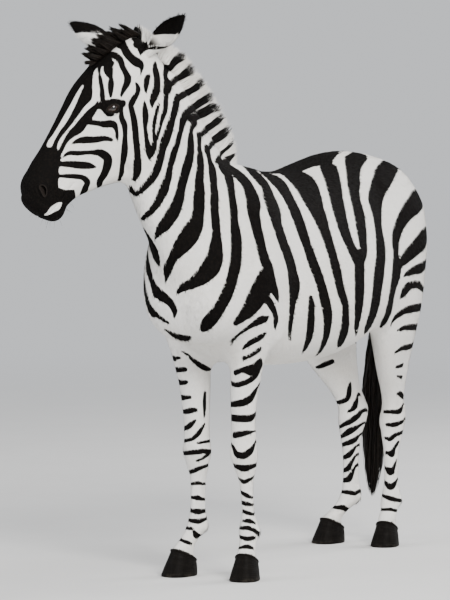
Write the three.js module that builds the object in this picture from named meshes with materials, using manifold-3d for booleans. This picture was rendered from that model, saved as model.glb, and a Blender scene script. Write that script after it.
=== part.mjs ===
// A standing plains zebra at life size, its head turned to its right.
// X runs forward, Y to the animal's left, Z up; all four hooves stand on Z = 0.
// The tables are in metres, the exported group is in millimetres.
import * as THREE from 'three';
import { mergeVertices } from 'three/addons/utils/BufferGeometryUtils.js';
import Module from 'manifold-3d';

// ---------------------------------------------------------------- dimensions
const SCALE = 1000;              // metres in the tables to millimetres outside
const ORIGIN = [0.1580, -0.0542]; // middle of the whole outline, in the frame of the tables
const GAP = 0.0004;              // free air between neighbouring pieces
const CELL = 0.012;              // edge of the sampling cell of the flesh
const FLESH_TRIANGLES = 4700;    // faces left on the flesh before it is parted
const CORONET_Z = 0.057;         // height of the coronet over the foot's point; it slopes down to the heel
const CORONET_SLOPE = 0.45;      // rise of the coronet for each metre forward
const FORELEG_Z = 0.630;         // where the free foreleg meets the trunk
const HINDLEG_Z = 0.615;         // where the free hind leg meets the trunk
const HEAD_POLL = [0.828, -0.173, 1.708];
const HEAD_YAW = -34;            // degrees, to the animal's right
const HEAD_PITCH = 56;           // degrees that the nose points down
const NECK_ROOT = [0.44, 0, 1.08];
const NECK_DIRECTION = [0.26, -0.095, 0.42];
const EYE_RADIUS = 0.0205;
const EYE_AT = [0.230, 0.0865, -0.100];  // along the head, outward, up from the nose line
const EAR_LENGTH = 0.158;
const EAR_ROOT = { left: [0.002, 0.056, -0.114], right: [0.043, 0.062, -0.067] };
const EAR_AIM = { left: [-0.76, 0.64, -0.06], right: [-0.10, 0.45, 0.89] };
const EAR_OPENS = { left: [0.45, 0.40, 0.80], right: [0.19, 0.89, -0.42] };
const TAIL_SPLIT_Z = 0.700;

// --------------------------------------------------- cross-sections by station
// trunk: x, offset, half width, top z, bottom z, z of the widest point, roundness, egg
const TRUNK = [
  [-0.63, 0, 0.110, 1.205, 0.960, 1.090, 2.0, 0.02],
  [-0.56, 0, 0.176, 1.279, 0.860, 1.060, 2.15, 0.03],
  [-0.42, 0, 0.230, 1.316, 0.760, 1.020, 2.25, 0.07],
  [-0.28, 0, 0.252, 1.314, 0.690, 0.960, 2.1, 0.12],
  [-0.12, 0, 0.262, 1.288, 0.650, 0.930, 2.1, 0.14],
  [0.05, 0, 0.256, 1.262, 0.640, 0.930, 2.1, 0.14],
  [0.20, 0, 0.235, 1.262, 0.645, 0.940, 2.1, 0.16],
  [0.34, 0, 0.205, 1.272, 0.660, 0.950, 2.1, 0.18],
  [0.48, 0, 0.185, 1.235, 0.680, 0.950, 2.1, 0.16],
  [0.60, 0, 0.160, 1.130, 0.735, 0.930, 2.1, 0.10],
];
// neck: along, offset, half width, crest, throat, widest, roundness, egg
const NECK = [
  [-0.12, -0.02, 0.150, 0.20, -0.26, -0.02, 2.0, 0.10],
  [0.03, -0.005, 0.128, 0.190, -0.297, -0.03, 2.0, 0.15],
  [0.12, 0.005, 0.108, 0.148, -0.312, -0.04, 2.0, 0.18],
  [0.22, 0.012, 0.090, 0.104, -0.305, -0.06, 2.0, 0.20],
  [0.32, 0.012, 0.080, 0.086, -0.276, -0.06, 2.0, 0.20],
  [0.42, 0.008, 0.076, 0.078, -0.236, -0.055, 2.0, 0.18],
  [0.52, 0.0, 0.070, 0.076, -0.190, -0.04, 2.0, 0.12],
];
const NECK_TWIST = [[-0.12, 0], [0.12, -3], [0.35, -16], [0.52, -27]];
// head: along, offset, half width, nose line, jaw line, widest, roundness, egg
const HEAD = [
  [0.03, 0, 0.062, -0.040, -0.215, -0.105, 2.1, -0.10],
  [0.09, 0, 0.080, -0.016, -0.262, -0.105, 2.2, -0.05],
  [0.16, 0, 0.092, -0.002, -0.290, -0.105, 2.3, 0.02],
  [0.23, 0, 0.093, 0.006, -0.302, -0.105, 2.4, 0.06],
  [0.30, 0, 0.080, 0.003, -0.303, -0.120, 2.4, 0.10],
  [0.37, 0, 0.064, -0.001, -0.282, -0.125, 2.3, 0.08],
  [0.44, 0, 0.055, -0.004, -0.226, -0.110, 2.2, 0.02],
  [0.50, 0, 0.054, -0.004, -0.184, -0.095, 2.2, -0.06],
  [0.55, 0, 0.055, -0.012, -0.168, -0.090, 2.2, -0.05],
  [0.585, 0, 0.048, -0.030, -0.160, -0.095, 2.2, 0.0],
];
// legs: z, outward, half width, front, back, roundness
const FORELEG = [
  [0.94, 0.020, 0.078, 0.130, -0.105, 2.0],
  [0.84, 0.022, 0.070, 0.100, -0.105, 2.0],
  [0.76, 0.018, 0.060, 0.080, -0.090, 2.0],
  [0.68, 0.010, 0.053, 0.066, -0.071, 2.0],
  [0.60, 0.004, 0.0475, 0.056, -0.056, 2.0],
  [0.52, 0, 0.0415, 0.047, -0.045, 2.1],
  [0.46, 0, 0.0390, 0.042, -0.040, 2.2],
  [0.425, 0, 0.0395, 0.042, -0.040, 2.3],
  [0.385, 0, 0.0425, 0.042, -0.041, 2.4],
  [0.35, 0, 0.0360, 0.034, -0.038, 2.3],
  [0.31, 0, 0.0250, 0.025, -0.034, 2.1],
  [0.25, 0, 0.0205, 0.022, -0.032, 2.1],
  [0.20, 0, 0.0215, 0.023, -0.034, 2.1],
  [0.17, 0, 0.0285, 0.027, -0.039, 2.1],
  [0.145, 0, 0.0330, 0.031, -0.043, 2.1],
  [0.118, 0, 0.0268, 0.033, -0.031, 2.1],
  [0.100, 0, 0.0272, 0.040, -0.026, 2.1],
  [0.085, 0, 0.0292, 0.048, -0.026, 2.1],
  [0.065, 0, 0.0310, 0.055, -0.029, 2.1],
  [0.045, 0, 0.0318, 0.058, -0.031, 2.1],
];
const HINDLEG = [
  [1.10, 0.010, 0.085, 0.20, -0.100, 2.0],
  [1.00, 0.020, 0.096, 0.25, -0.122, 2.0],
  [0.90, 0.027, 0.096, 0.28, -0.120, 2.0],
  [0.81, 0.030, 0.084, 0.275, -0.104, 2.0],
  [0.73, 0.027, 0.070, 0.242, -0.084, 2.0],
  [0.65, 0.020, 0.058, 0.192, -0.064, 2.0],
  [0.58, 0.012, 0.048, 0.138, -0.055, 2.0],
  [0.52, 0.006, 0.040, 0.084, -0.056, 2.0],
  [0.48, 0.002, 0.037, 0.058, -0.069, 2.0],
  [0.45, 0, 0.039, 0.047, -0.076, 2.1],
  [0.41, 0, 0.0410, 0.043, -0.064, 2.2],
  [0.37, 0, 0.036, 0.038, -0.044, 2.2],
  [0.32, 0, 0.0280, 0.032, -0.035, 2.1],
  [0.26, 0, 0.0245, 0.029, -0.032, 2.1],
  [0.20, 0, 0.0255, 0.030, -0.034, 2.1],
  [0.165, 0, 0.0320, 0.034, -0.040, 2.1],
  [0.14, 0, 0.0345, 0.035, -0.044, 2.1],
  [0.115, 0, 0.0285, 0.036, -0.034, 2.1],
  [0.100, 0, 0.0278, 0.041, -0.026, 2.1],
  [0.085, 0, 0.0294, 0.048, -0.026, 2.1],
  [0.065, 0, 0.0310, 0.055, -0.029, 2.1],
  [0.045, 0, 0.0318, 0.058, -0.031, 2.1],
];
// each leg: foot position, side, toe-out in degrees, and how the column leans
// over the foot: z, forward, outward
const LEGS = {
  foreleg_left: { foot: [0.475, 0.102], side: 1, toe: 12, rows: FORELEG,
    lean: [[0.08, 0, 0], [0.10, -0.004, 0], [0.15, -0.020, -0.001], [0.30, -0.020, -0.010], [0.40, -0.020, -0.017], [0.60, -0.018, -0.017], [0.94, 0, -0.005]] },
  foreleg_right: { foot: [0.470, -0.120], side: -1, toe: 16, rows: FORELEG,
    lean: [[0.08, 0, 0], [0.10, -0.010, -0.001], [0.15, -0.045, -0.004], [0.30, -0.045, -0.008], [0.40, -0.045, -0.010], [0.60, -0.040, -0.006], [0.72, -0.034, 0.004], [0.94, -0.010, 0.004]] },
  hindleg_left: { foot: [-0.542, 0.097], side: 1, toe: 10, rows: HINDLEG,
    lean: [[0.08, 0, 0], [0.10, -0.010, 0], [0.15, -0.045, 0], [0.30, -0.052, -0.002], [0.45, -0.054, 0.001], [0.70, -0.038, 0.003], [1.10, -0.020, 0.006]] },
  hindleg_right: { foot: [-0.535, -0.100], side: -1, toe: 16, rows: HINDLEG,
    lean: [[0.08, 0, 0], [0.10, -0.016, -0.006], [0.15, -0.060, -0.022], [0.30, -0.056, -0.026], [0.45, -0.053, -0.026], [0.70, -0.036, -0.014], [1.10, -0.020, 0]] },
};
// hoof: z, half width, toe, heel
const HOOF = [
  [0.000, 0.0450, 0.0870, -0.0350],
  [0.006, 0.0455, 0.0875, -0.0360],
  [0.030, 0.0412, 0.0765, -0.0350],
  [0.055, 0.0355, 0.0645, -0.0330],
  [0.080, 0.0315, 0.0525, -0.0300],
  [0.095, 0.0305, 0.0470, -0.0280],
];
// tail: z, offset to the right, half width, front x, back x
const TAIL = [
  [1.175, 0, 0.030, -0.590, -0.640],
  [1.150, 0, 0.033, -0.610, -0.674],
  [1.110, -0.003, 0.031, -0.640, -0.704],
  [1.050, -0.007, 0.028, -0.672, -0.728],
  [0.960, -0.013, 0.026, -0.694, -0.742],
  [0.850, -0.021, 0.025, -0.704, -0.750],
  [0.760, -0.027, 0.026, -0.706, -0.756],
  [0.700, -0.031, 0.033, -0.700, -0.761],
  [0.620, -0.036, 0.043, -0.694, -0.770],
  [0.520, -0.041, 0.049, -0.690, -0.776],
  [0.420, -0.045, 0.049, -0.692, -0.778],
  [0.320, -0.049, 0.042, -0.699, -0.776],
  [0.230, -0.052, 0.030, -0.711, -0.769],
  [0.160, -0.055, 0.015, -0.724, -0.757],
  [0.128, -0.056, 0.004, -0.734, -0.744],
];
// mane: along the neck, height above the crest, half width at the root
const MANE = [
  [0.105, 0.016, 0.010], [0.130, 0.046, 0.014], [0.165, 0.078, 0.017], [0.21, 0.097, 0.019],
  [0.26, 0.103, 0.020], [0.31, 0.101, 0.021], [0.36, 0.096, 0.021], [0.41, 0.089, 0.021],
  [0.46, 0.083, 0.021], [0.505, 0.072, 0.022],
];
// the mane goes on over the poll: along, up on the head, height, half width, lean
const MANE_POLL = [[-0.008, -0.235, 0.068, 0.022, 0.12], [-0.018, -0.196, 0.052, 0.022, 0.35], [-0.021, -0.151, 0.033, 0.023, 0.65], [-0.020, -0.109, 0.043, 0.025, 0.92], [-0.015, -0.081, 0.045, 0.028, 1.0]];
// forelock: along the head, root level, top level, half width (head frame)
const FORELOCK = [
  [-0.062, -0.150, -0.056, 0.022],
  [-0.040, -0.120, -0.027, 0.027],
  [-0.012, -0.095, 0.000, 0.032],
  [0.020, -0.070, 0.021, 0.036],
  [0.052, -0.055, 0.033, 0.037],
  [0.084, -0.045, 0.042, 0.034],
  [0.112, -0.035, 0.036, 0.028],
  [0.134, -0.028, 0.018, 0.018],
];
// ear: share of the length, radius, half angle of the shell in degrees, wall
const EAR = [
  [-0.14, 0.0235, 172, 0.0075], [0.02, 0.0245, 166, 0.0075], [0.14, 0.0290, 150, 0.007], [0.28, 0.0345, 128, 0.0065],
  [0.42, 0.0370, 112, 0.006], [0.56, 0.0355, 104, 0.006], [0.70, 0.0300, 98, 0.0055], [0.83, 0.0215, 94, 0.005],
  [0.93, 0.0130, 90, 0.0045], [1.00, 0.0060, 86, 0.0035],
];

// ------------------------------------------------------------------- helpers
const rad = (d) => (d * Math.PI) / 180;
const vec = (a) => new THREE.Vector3(a[0], a[1], a[2]);

function curveTable(xs, ys, n = 128) {
  const k = xs.length, d = [], m = [];
  for (let i = 0; i < k - 1; i++) d.push((ys[i + 1] - ys[i]) / (xs[i + 1] - xs[i]));
  m[0] = d[0];
  m[k - 1] = d[k - 2];
  for (let i = 1; i < k - 1; i++) {
    const h0 = xs[i] - xs[i - 1], h1 = xs[i + 1] - xs[i];
    m[i] = (h1 * d[i - 1] + h0 * d[i]) / (h0 + h1);
  }
  const out = new Float64Array(n);
  for (let j = 0, i = 0; j < n; j++) {
    const t = xs[0] + ((xs[k - 1] - xs[0]) * j) / (n - 1);
    while (i < k - 2 && t > xs[i + 1]) i++;
    const h = xs[i + 1] - xs[i], u = (t - xs[i]) / h, u2 = u * u, u3 = u2 * u;
    out[j] = (2 * u3 - 3 * u2 + 1) * ys[i] + (u3 - 2 * u2 + u) * h * m[i] +
      (-2 * u3 + 3 * u2) * ys[i + 1] + (u3 - u2) * h * m[i + 1];
  }
  return out;
}
function lerpTable(rows, x, column) {
  if (x <= rows[0][0]) return rows[0][column];
  for (let i = 1; i < rows.length; i++) {
    if (x <= rows[i][0]) {
      const f = (x - rows[i - 1][0]) / (rows[i][0] - rows[i - 1][0]);
      return rows[i - 1][column] * (1 - f) + rows[i][column] * f;
    }
  }
  return rows[rows.length - 1][column];
}

// ------------------------------------------- rounded volumes with a soft join
// A limb is a run of egg-shaped cross-sections along a straight axis.
class Limb {
  constructor({ at, along, across, up, rows, cap0, cap1, twist, join }) {
    this.at = vec(at);
    this.T = vec(along).normalize();
    const B = vec(across);
    this.B = B.addScaledVector(this.T, -B.dot(this.T)).normalize();
    this.N = up ? vec(up) : new THREE.Vector3().crossVectors(this.T, this.B);
    this.cap0 = cap0;
    this.cap1 = cap1;
    this.join = join;
    const s = rows.map((r) => r[0]);
    this.s0 = s[0];
    this.s1 = s[s.length - 1];
    this.tables = [
      rows.map((r) => r[1]), rows.map((r) => r[5]), rows.map((r) => r[2]),
      rows.map((r) => r[3] - r[5]), rows.map((r) => r[5] - r[4]), rows.map((r) => r[6]), rows.map((r) => r[7]),
    ].map((y) => curveTable(s, y));
    this.twist = twist ? curveTable(twist.map((t) => t[0]), twist.map((t) => rad(t[1]))) : null;
  }
  values(s) {
    const x = ((Math.min(Math.max(s, this.s0), this.s1) - this.s0) / (this.s1 - this.s0)) * 127;
    const i = Math.min(Math.floor(x), 126), f = x - i;
    const w = this.tables.map((t) => t[i] * (1 - f) + t[i + 1] * f);
    w.push(this.twist ? this.twist[i] * (1 - f) + this.twist[i + 1] * f : 0);
    return w;
  }
  distance(x, y, z) {
    const qx = x - this.at.x, qy = y - this.at.y, qz = z - this.at.z;
    const s = qx * this.T.x + qy * this.T.y + qz * this.T.z;
    let u = qx * this.B.x + qy * this.B.y + qz * this.B.z;
    let v = qx * this.N.x + qy * this.N.y + qz * this.N.z;
    const sc = Math.min(Math.max(s, this.s0), this.s1);
    const xx = ((sc - this.s0) / (this.s1 - this.s0)) * 127;
    const i = Math.min(Math.floor(xx), 126), f = xx - i, t = this.tables;
    const u0 = t[0][i] * (1 - f) + t[0][i + 1] * f, v0 = t[1][i] * (1 - f) + t[1][i + 1] * f;
    let a = t[2][i] * (1 - f) + t[2][i + 1] * f;
    const top = t[3][i] * (1 - f) + t[3][i + 1] * f, low = t[4][i] * (1 - f) + t[4][i + 1] * f;
    const n = t[5][i] * (1 - f) + t[5][i + 1] * f, egg = t[6][i] * (1 - f) + t[6][i + 1] * f;
    u -= u0;
    v -= v0;
    if (this.twist) {
      const th = this.twist[i] * (1 - f) + this.twist[i + 1] * f, c = Math.cos(th), sn = Math.sin(th);
      const uu = u * c + v * sn;
      v = -u * sn + v * c;
      u = uu;
    }
    const b = v > 0 ? top : low;
    a *= Math.min(Math.max(1 - (egg * v) / b, 0.3), 1.7);
    let w = 0, aw = 0;
    if (s < this.s0) { aw = this.s0 - s; w = aw / this.cap0; }
    else if (s > this.s1) { aw = s - this.s1; w = aw / this.cap1; }
    const rho = Math.max(Math.pow(Math.pow(Math.abs(u) / a, n) + Math.pow(Math.abs(v) / b, n) + (w > 0 ? Math.pow(w, n) : 0), 1 / n), 1e-6);
    const L = Math.sqrt(u * u + v * v + aw * aw);
    return L > 1e-6 ? L * (1 - 1 / rho) : -Math.min(a, b);
  }
  // point on the surface in the middle of the upper side, with its directions
  ridge(s) {
    const [u0, v0, , top, , , , th] = this.values(s);
    const c = Math.cos(th), sn = Math.sin(th);
    const side = this.B.clone().multiplyScalar(c).addScaledVector(this.N, sn);
    const upward = this.N.clone().multiplyScalar(c).addScaledVector(this.B, -sn);
    const p = this.at.clone().addScaledVector(this.T, s).addScaledVector(this.B, u0).addScaledVector(this.N, v0);
    return { p: p.addScaledVector(upward, top), side, upward };
  }
  box() {
    const b = new THREE.Box3(), e = Math.max(this.cap0, this.cap1) + 0.05 + this.join;
    for (let k = 0; k < 128; k++) {
      const s = this.s0 + ((this.s1 - this.s0) * k) / 127, t = this.tables;
      const r = Math.max(t[2][k] * 1.25, t[3][k], t[4][k]) + e;
      const c = this.at.clone().addScaledVector(this.T, s).addScaledVector(this.B, t[0][k]).addScaledVector(this.N, t[1][k]);
      b.expandByPoint(c.clone().addScalar(-r));
      b.expandByPoint(c.addScalar(r));
    }
    return b;
  }
}
// A muscle or bony mound is an ellipsoid.
class Mound {
  constructor({ at, radii, along = [1, 0, 0], across = [0, 1, 0], join }) {
    this.at = vec(at);
    this.T = vec(along).normalize();
    const B = vec(across);
    this.B = B.addScaledVector(this.T, -B.dot(this.T)).normalize();
    this.N = new THREE.Vector3().crossVectors(this.T, this.B);
    this.r = radii;
    this.join = join;
  }
  distance(x, y, z) {
    const qx = x - this.at.x, qy = y - this.at.y, qz = z - this.at.z;
    const a = (qx * this.T.x + qy * this.T.y + qz * this.T.z) / this.r[0];
    const b = (qx * this.B.x + qy * this.B.y + qz * this.B.z) / this.r[1];
    const c = (qx * this.N.x + qy * this.N.y + qz * this.N.z) / this.r[2];
    const rho = Math.max(Math.sqrt(a * a + b * b + c * c), 1e-6), L = Math.sqrt(qx * qx + qy * qy + qz * qz);
    return L > 1e-6 ? L * (1 - 1 / rho) : -Math.min(...this.r);
  }
  box() {
    const e = Math.max(...this.r) + 0.05 + this.join;
    return new THREE.Box3(this.at.clone().addScalar(-e), this.at.clone().addScalar(e));
  }
}

// ------------------------------------------------------------ the body itself
function legFrame({ side, toe }) {
  const y = rad(toe) * side;
  return { out: [-Math.sin(y) * side, Math.cos(y) * side, 0], front: [Math.cos(y), Math.sin(y), 0] };
}
function legLimb(leg) {
  const { out, front } = legFrame(leg);
  const rows = leg.rows.map(([z, lateral, half, f, b, n]) => {
    const dn = lerpTable(leg.lean, z, 1), db = lerpTable(leg.lean, z, 2);
    return [-z, lateral + db, half, f + dn, b + dn, (f + b) / 2 + dn, n, 0];
  });
  return new Limb({ at: [leg.foot[0], leg.foot[1], 0], along: [0, 0, -1], across: out, up: front, rows, cap0: 0.08, cap1: 0.01, join: 0.06 });
}
const yaw = rad(HEAD_YAW), pitch = rad(HEAD_PITCH);
const HEAD_T = new THREE.Vector3(Math.cos(yaw) * Math.cos(pitch), Math.sin(yaw) * Math.cos(pitch), -Math.sin(pitch));
const HEAD_B = new THREE.Vector3(-Math.sin(yaw), Math.cos(yaw), 0);
const HEAD_N = new THREE.Vector3().crossVectors(HEAD_T, HEAD_B);
const onHead = (s, u, v) => vec(HEAD_POLL).addScaledVector(HEAD_T, s).addScaledVector(HEAD_B, u).addScaledVector(HEAD_N, v);
const inHead = (s, u, v) => new THREE.Vector3().addScaledVector(HEAD_T, s).addScaledVector(HEAD_B, u).addScaledVector(HEAD_N, v);

const neck = new Limb({ at: NECK_ROOT, along: NECK_DIRECTION, across: [0, 1, 0], rows: NECK, cap0: 0.08, cap1: 0.06, twist: NECK_TWIST, join: 0.10 });
const volumes = [
  new Limb({ at: [0, 0, 0], along: [1, 0, 0], across: [0, 1, 0], rows: TRUNK, cap0: 0.07, cap1: 0.12, join: 0.02 }),
];
for (const side of [1, -1]) {
  volumes.push(new Mound({ at: [0.50, 0.110 * side, 1.00], radii: [0.20, 0.085, 0.12], along: [0.55, 0, -0.75], join: 0.08 })); // shoulder
  volumes.push(new Mound({ at: [0.60, 0.075 * side, 0.87], radii: [0.11, 0.075, 0.10], join: 0.06 })); // breast
  volumes.push(new Mound({ at: [-0.495, 0.118 * side, 1.055], radii: [0.195, 0.101, 0.190], along: [0.2, 0, 1], join: 0.08 })); // haunch
}
volumes.push(neck);
for (const leg of Object.values(LEGS)) volumes.push(legLimb(leg));
const headAxes = { along: HEAD_T.toArray(), across: HEAD_B.toArray() };
volumes.push(new Limb({ at: HEAD_POLL, ...headAxes, rows: HEAD, cap0: 0.05, cap1: 0.032, join: 0.05 }));
volumes.push(new Mound({ at: onHead(0.572, 0, -0.150).toArray(), radii: [0.030, 0.030, 0.026], ...headAxes, join: 0.02 })); // chin
for (const side of [1, -1]) {
  volumes.push(new Mound({ at: onHead(0.205, 0.066 * side, -0.078).toArray(), radii: [0.055, 0.032, 0.042], ...headAxes, join: 0.03 })); // brow
  volumes.push(new Mound({ at: onHead(0.22, 0.055 * side, -0.195).toArray(), radii: [0.12, 0.034, 0.088], ...headAxes, join: 0.04 })); // cheek
  volumes.push(new Mound({ at: onHead(0.540, 0.033 * side, -0.060).toArray(), radii: [0.042, 0.026, 0.038], ...headAxes, join: 0.025 })); // nostril
}

// ------------------------------------------------------- sampling the surface
function sample(solids, low, high, h) {
  const n = [0, 1, 2].map((i) => Math.ceil((high[i] - low[i]) / h) + 1);
  const f = new Float64Array(n[0] * n[1] * n[2]).fill(0.5);
  for (const s of solids) {
    const b = s.box(), lo = b.min.toArray(), hi = b.max.toArray();
    const i0 = [0, 1, 2].map((i) => Math.max(0, Math.floor((lo[i] - low[i]) / h)));
    const i1 = [0, 1, 2].map((i) => Math.min(n[i] - 1, Math.ceil((hi[i] - low[i]) / h)));
    for (let i = i0[0]; i <= i1[0]; i++) for (let j = i0[1]; j <= i1[1]; j++) for (let k = i0[2]; k <= i1[2]; k++) {
      const id = (i * n[1] + j) * n[2] + k;
      const d = s.distance(low[0] + i * h, low[1] + j * h, low[2] + k * h), a = f[id];
      const q = Math.max(s.join - Math.abs(a - d), 0) / s.join;
      f[id] = Math.min(a, d) - q * q * s.join * 0.25;
    }
  }
  for (let i = 0; i < f.length; i++) if (Math.abs(f[i]) < 1e-5) f[i] = f[i] < 0 ? -1e-5 : 1e-5;
  return { f, n, low, h };
}
// One point for each cell that the surface passes, and a four-sided face for
// each cell edge that it cuts.
function surface({ f, n, low, h }) {
  const at = (i, j, k) => (i * n[1] + j) * n[2] + k;
  const corner = [[0, 0, 0], [1, 0, 0], [0, 1, 0], [1, 1, 0], [0, 0, 1], [1, 0, 1], [0, 1, 1], [1, 1, 1]];
  const edges = [];
  for (let p = 0; p < 8; p++) for (let q = p + 1; q < 8; q++) {
    if (corner[p].reduce((t, v, i) => t + Math.abs(v - corner[q][i]), 0) === 1) edges.push([p, q]);
  }
  const offset = corner.map(([a, b, c]) => at(a, b, c));
  const point = new Map(), vertices = [], triangles = [];
  for (let i = 0; i < n[0] - 1; i++) for (let j = 0; j < n[1] - 1; j++) for (let k = 0; k < n[2] - 1; k++) {
    const base = at(i, j, k), first = f[base] < 0;
    if (offset.every((o) => f[base + o] < 0 === first)) continue;
    const sum = [0, 0, 0];
    let count = 0;
    for (const [p, q] of edges) {
      const a = f[base + offset[p]], b = f[base + offset[q]];
      if (a < 0 === b < 0) continue;
      const t = a / (a - b);
      for (let m = 0; m < 3; m++) sum[m] += corner[p][m] + t * (corner[q][m] - corner[p][m]);
      count++;
    }
    point.set(base, vertices.length / 3);
    vertices.push(low[0] + h * (i + sum[0] / count), low[1] + h * (j + sum[1] / count), low[2] + h * (k + sum[2] / count));
  }
  const apart = (a, b) => Math.hypot(vertices[a * 3] - vertices[b * 3], vertices[a * 3 + 1] - vertices[b * 3 + 1], vertices[a * 3 + 2] - vertices[b * 3 + 2]);
  for (let i = 1; i < n[0] - 1; i++) for (let j = 1; j < n[1] - 1; j++) for (let k = 1; k < n[2] - 1; k++) {
    const inside = f[at(i, j, k)] < 0;
    for (let axis = 0; axis < 3; axis++) {
      const e = [0, 0, 0];
      e[axis] = 1;
      if (f[at(i + e[0], j + e[1], k + e[2])] < 0 === inside) continue;
      const u = [0, 0, 0], w = [0, 0, 0];
      u[(axis + 1) % 3] = 1;
      w[(axis + 2) % 3] = 1;
      const q = [[1, 1], [0, 1], [0, 0], [1, 0]].map(([a, b]) => point.get(at(i - a * u[0] - b * w[0], j - a * u[1] - b * w[1], k - a * u[2] - b * w[2])));
      if (!inside) q.reverse();
      if (apart(q[0], q[2]) < apart(q[1], q[3])) triangles.push(q[0], q[1], q[2], q[0], q[2], q[3]);
      else triangles.push(q[1], q[2], q[3], q[1], q[3], q[0]);
    }
  }
  return { vertices, triangles };
}

// ---------------------------------------- larger faces where the form is calm
function reduce({ vertices, triangles }, target, detail) {
  const nv = vertices.length / 3, nt = triangles.length / 3;
  const P = Float64Array.from(vertices), F = Int32Array.from(triangles);
  const Q = new Float64Array(nv * 10), stamp = new Int32Array(nv), live = new Uint8Array(nt).fill(1), gone = new Uint8Array(nv);
  const around = Array.from({ length: nv }, () => []);
  const normal = (a, b, c, o) => {
    const ux = b[0] - a[0], uy = b[1] - a[1], uz = b[2] - a[2], vx = c[0] - a[0], vy = c[1] - a[1], vz = c[2] - a[2];
    o[0] = uy * vz - uz * vy; o[1] = uz * vx - ux * vz; o[2] = ux * vy - uy * vx;
    return Math.hypot(o[0], o[1], o[2]);
  };
  const pt = (v) => [P[v * 3], P[v * 3 + 1], P[v * 3 + 2]];
  const o = [0, 0, 0];
  for (let t = 0; t < nt; t++) {
    const a = pt(F[t * 3]), b = pt(F[t * 3 + 1]), c = pt(F[t * 3 + 2]);
    const l = normal(a, b, c, o) || 1e-12, x = o[0] / l, y = o[1] / l, z = o[2] / l, d = -(x * a[0] + y * a[1] + z * a[2]);
    const w = (l / 2) * detail((a[0] + b[0] + c[0]) / 3, (a[1] + b[1] + c[1]) / 3, (a[2] + b[2] + c[2]) / 3);
    const q = [x * x, x * y, x * z, x * d, y * y, y * z, y * d, z * z, z * d, d * d];
    for (let k = 0; k < 3; k++) {
      const v = F[t * 3 + k];
      around[v].push(t);
      for (let m = 0; m < 10; m++) Q[v * 10 + m] += q[m] * w;
    }
  }
  const heap = [];
  const push = (e) => {
    let i = heap.push(e) - 1;
    while (i > 0) { const p = (i - 1) >> 1; if (heap[p].c <= e.c) break; heap[i] = heap[p]; i = p; }
    heap[i] = e;
  };
  const pop = () => {
    const top = heap[0], e = heap.pop();
    if (heap.length) {
      let i = 0;
      for (;;) {
        let k = 2 * i + 1;
        if (k >= heap.length) break;
        if (k + 1 < heap.length && heap[k + 1].c < heap[k].c) k++;
        if (heap[k].c >= e.c) break;
        heap[i] = heap[k];
        i = k;
      }
      heap[i] = e;
    }
    return top;
  };
  const q = new Float64Array(10);
  const cost = (a, b) => {
    for (let m = 0; m < 10; m++) q[m] = Q[a * 10 + m] + Q[b * 10 + m];
    const A = pt(a), B = pt(b), mid = [(A[0] + B[0]) / 2, (A[1] + B[1]) / 2, (A[2] + B[2]) / 2];
    const len2 = (A[0] - B[0]) ** 2 + (A[1] - B[1]) ** 2 + (A[2] - B[2]) ** 2;
    // least squares about the middle, held to it a little
    const k = 1e-3 * (q[0] + q[4] + q[7]) + 1e-14;
    const a00 = q[0] + k, a01 = q[1], a02 = q[2], a11 = q[4] + k, a12 = q[5], a22 = q[7] + k;
    const r0 = -(q[3] + q[0] * mid[0] + q[1] * mid[1] + q[2] * mid[2]);
    const r1 = -(q[6] + q[1] * mid[0] + q[4] * mid[1] + q[5] * mid[2]);
    const r2 = -(q[8] + q[2] * mid[0] + q[5] * mid[1] + q[7] * mid[2]);
    const c00 = a11 * a22 - a12 * a12, c01 = a02 * a12 - a01 * a22, c02 = a01 * a12 - a02 * a11;
    const det = a00 * c00 + a01 * c01 + a02 * c02;
    let x = [0, 0, 0];
    if (Math.abs(det) > 1e-40) {
      const c11 = a00 * a22 - a02 * a02, c12 = a01 * a02 - a00 * a12, c22 = a00 * a11 - a01 * a01;
      x = [(c00 * r0 + c01 * r1 + c02 * r2) / det, (c01 * r0 + c11 * r1 + c12 * r2) / det, (c02 * r0 + c12 * r1 + c22 * r2) / det];
    }
    const far = Math.hypot(...x);
    if (far * far > len2 * 1.5) x = [0, 0, 0];
    const p = [mid[0] + x[0], mid[1] + x[1], mid[2] + x[2]];
    const e = q[0] * p[0] * p[0] + 2 * q[1] * p[0] * p[1] + 2 * q[2] * p[0] * p[2] + 2 * q[3] * p[0] + q[4] * p[1] * p[1] +
      2 * q[5] * p[1] * p[2] + 2 * q[6] * p[1] + q[7] * p[2] * p[2] + 2 * q[8] * p[2] + q[9];
    return { c: Math.max(e, 0) + len2 * len2 * 2e-5, p };
  };
  const offer = (a, b) => { const { c, p } = cost(a, b); push({ c, a, b, sa: stamp[a], sb: stamp[b], p }); };
  for (let t = 0; t < nt; t++) for (let k = 0; k < 3; k++) { const a = F[t * 3 + k], b = F[t * 3 + ((k + 1) % 3)]; if (a < b) offer(a, b); }
  const ring = (v) => {
    const s = new Set();
    for (const t of around[v]) if (live[t]) for (let k = 0; k < 3; k++) if (F[t * 3 + k] !== v) s.add(F[t * 3 + k]);
    return s;
  };
  const o2 = [0, 0, 0];
  const longest = (m) => Math.max(...[0, 1, 2].map((i) => (m[i][0] - m[(i + 1) % 3][0]) ** 2 + (m[i][1] - m[(i + 1) % 3][1]) ** 2 + (m[i][2] - m[(i + 1) % 3][2]) ** 2)) + 1e-14;
  let count = nt;
  for (let round = 0, before = nt + 1; count > target;) {
    if (!heap.length) {
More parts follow.
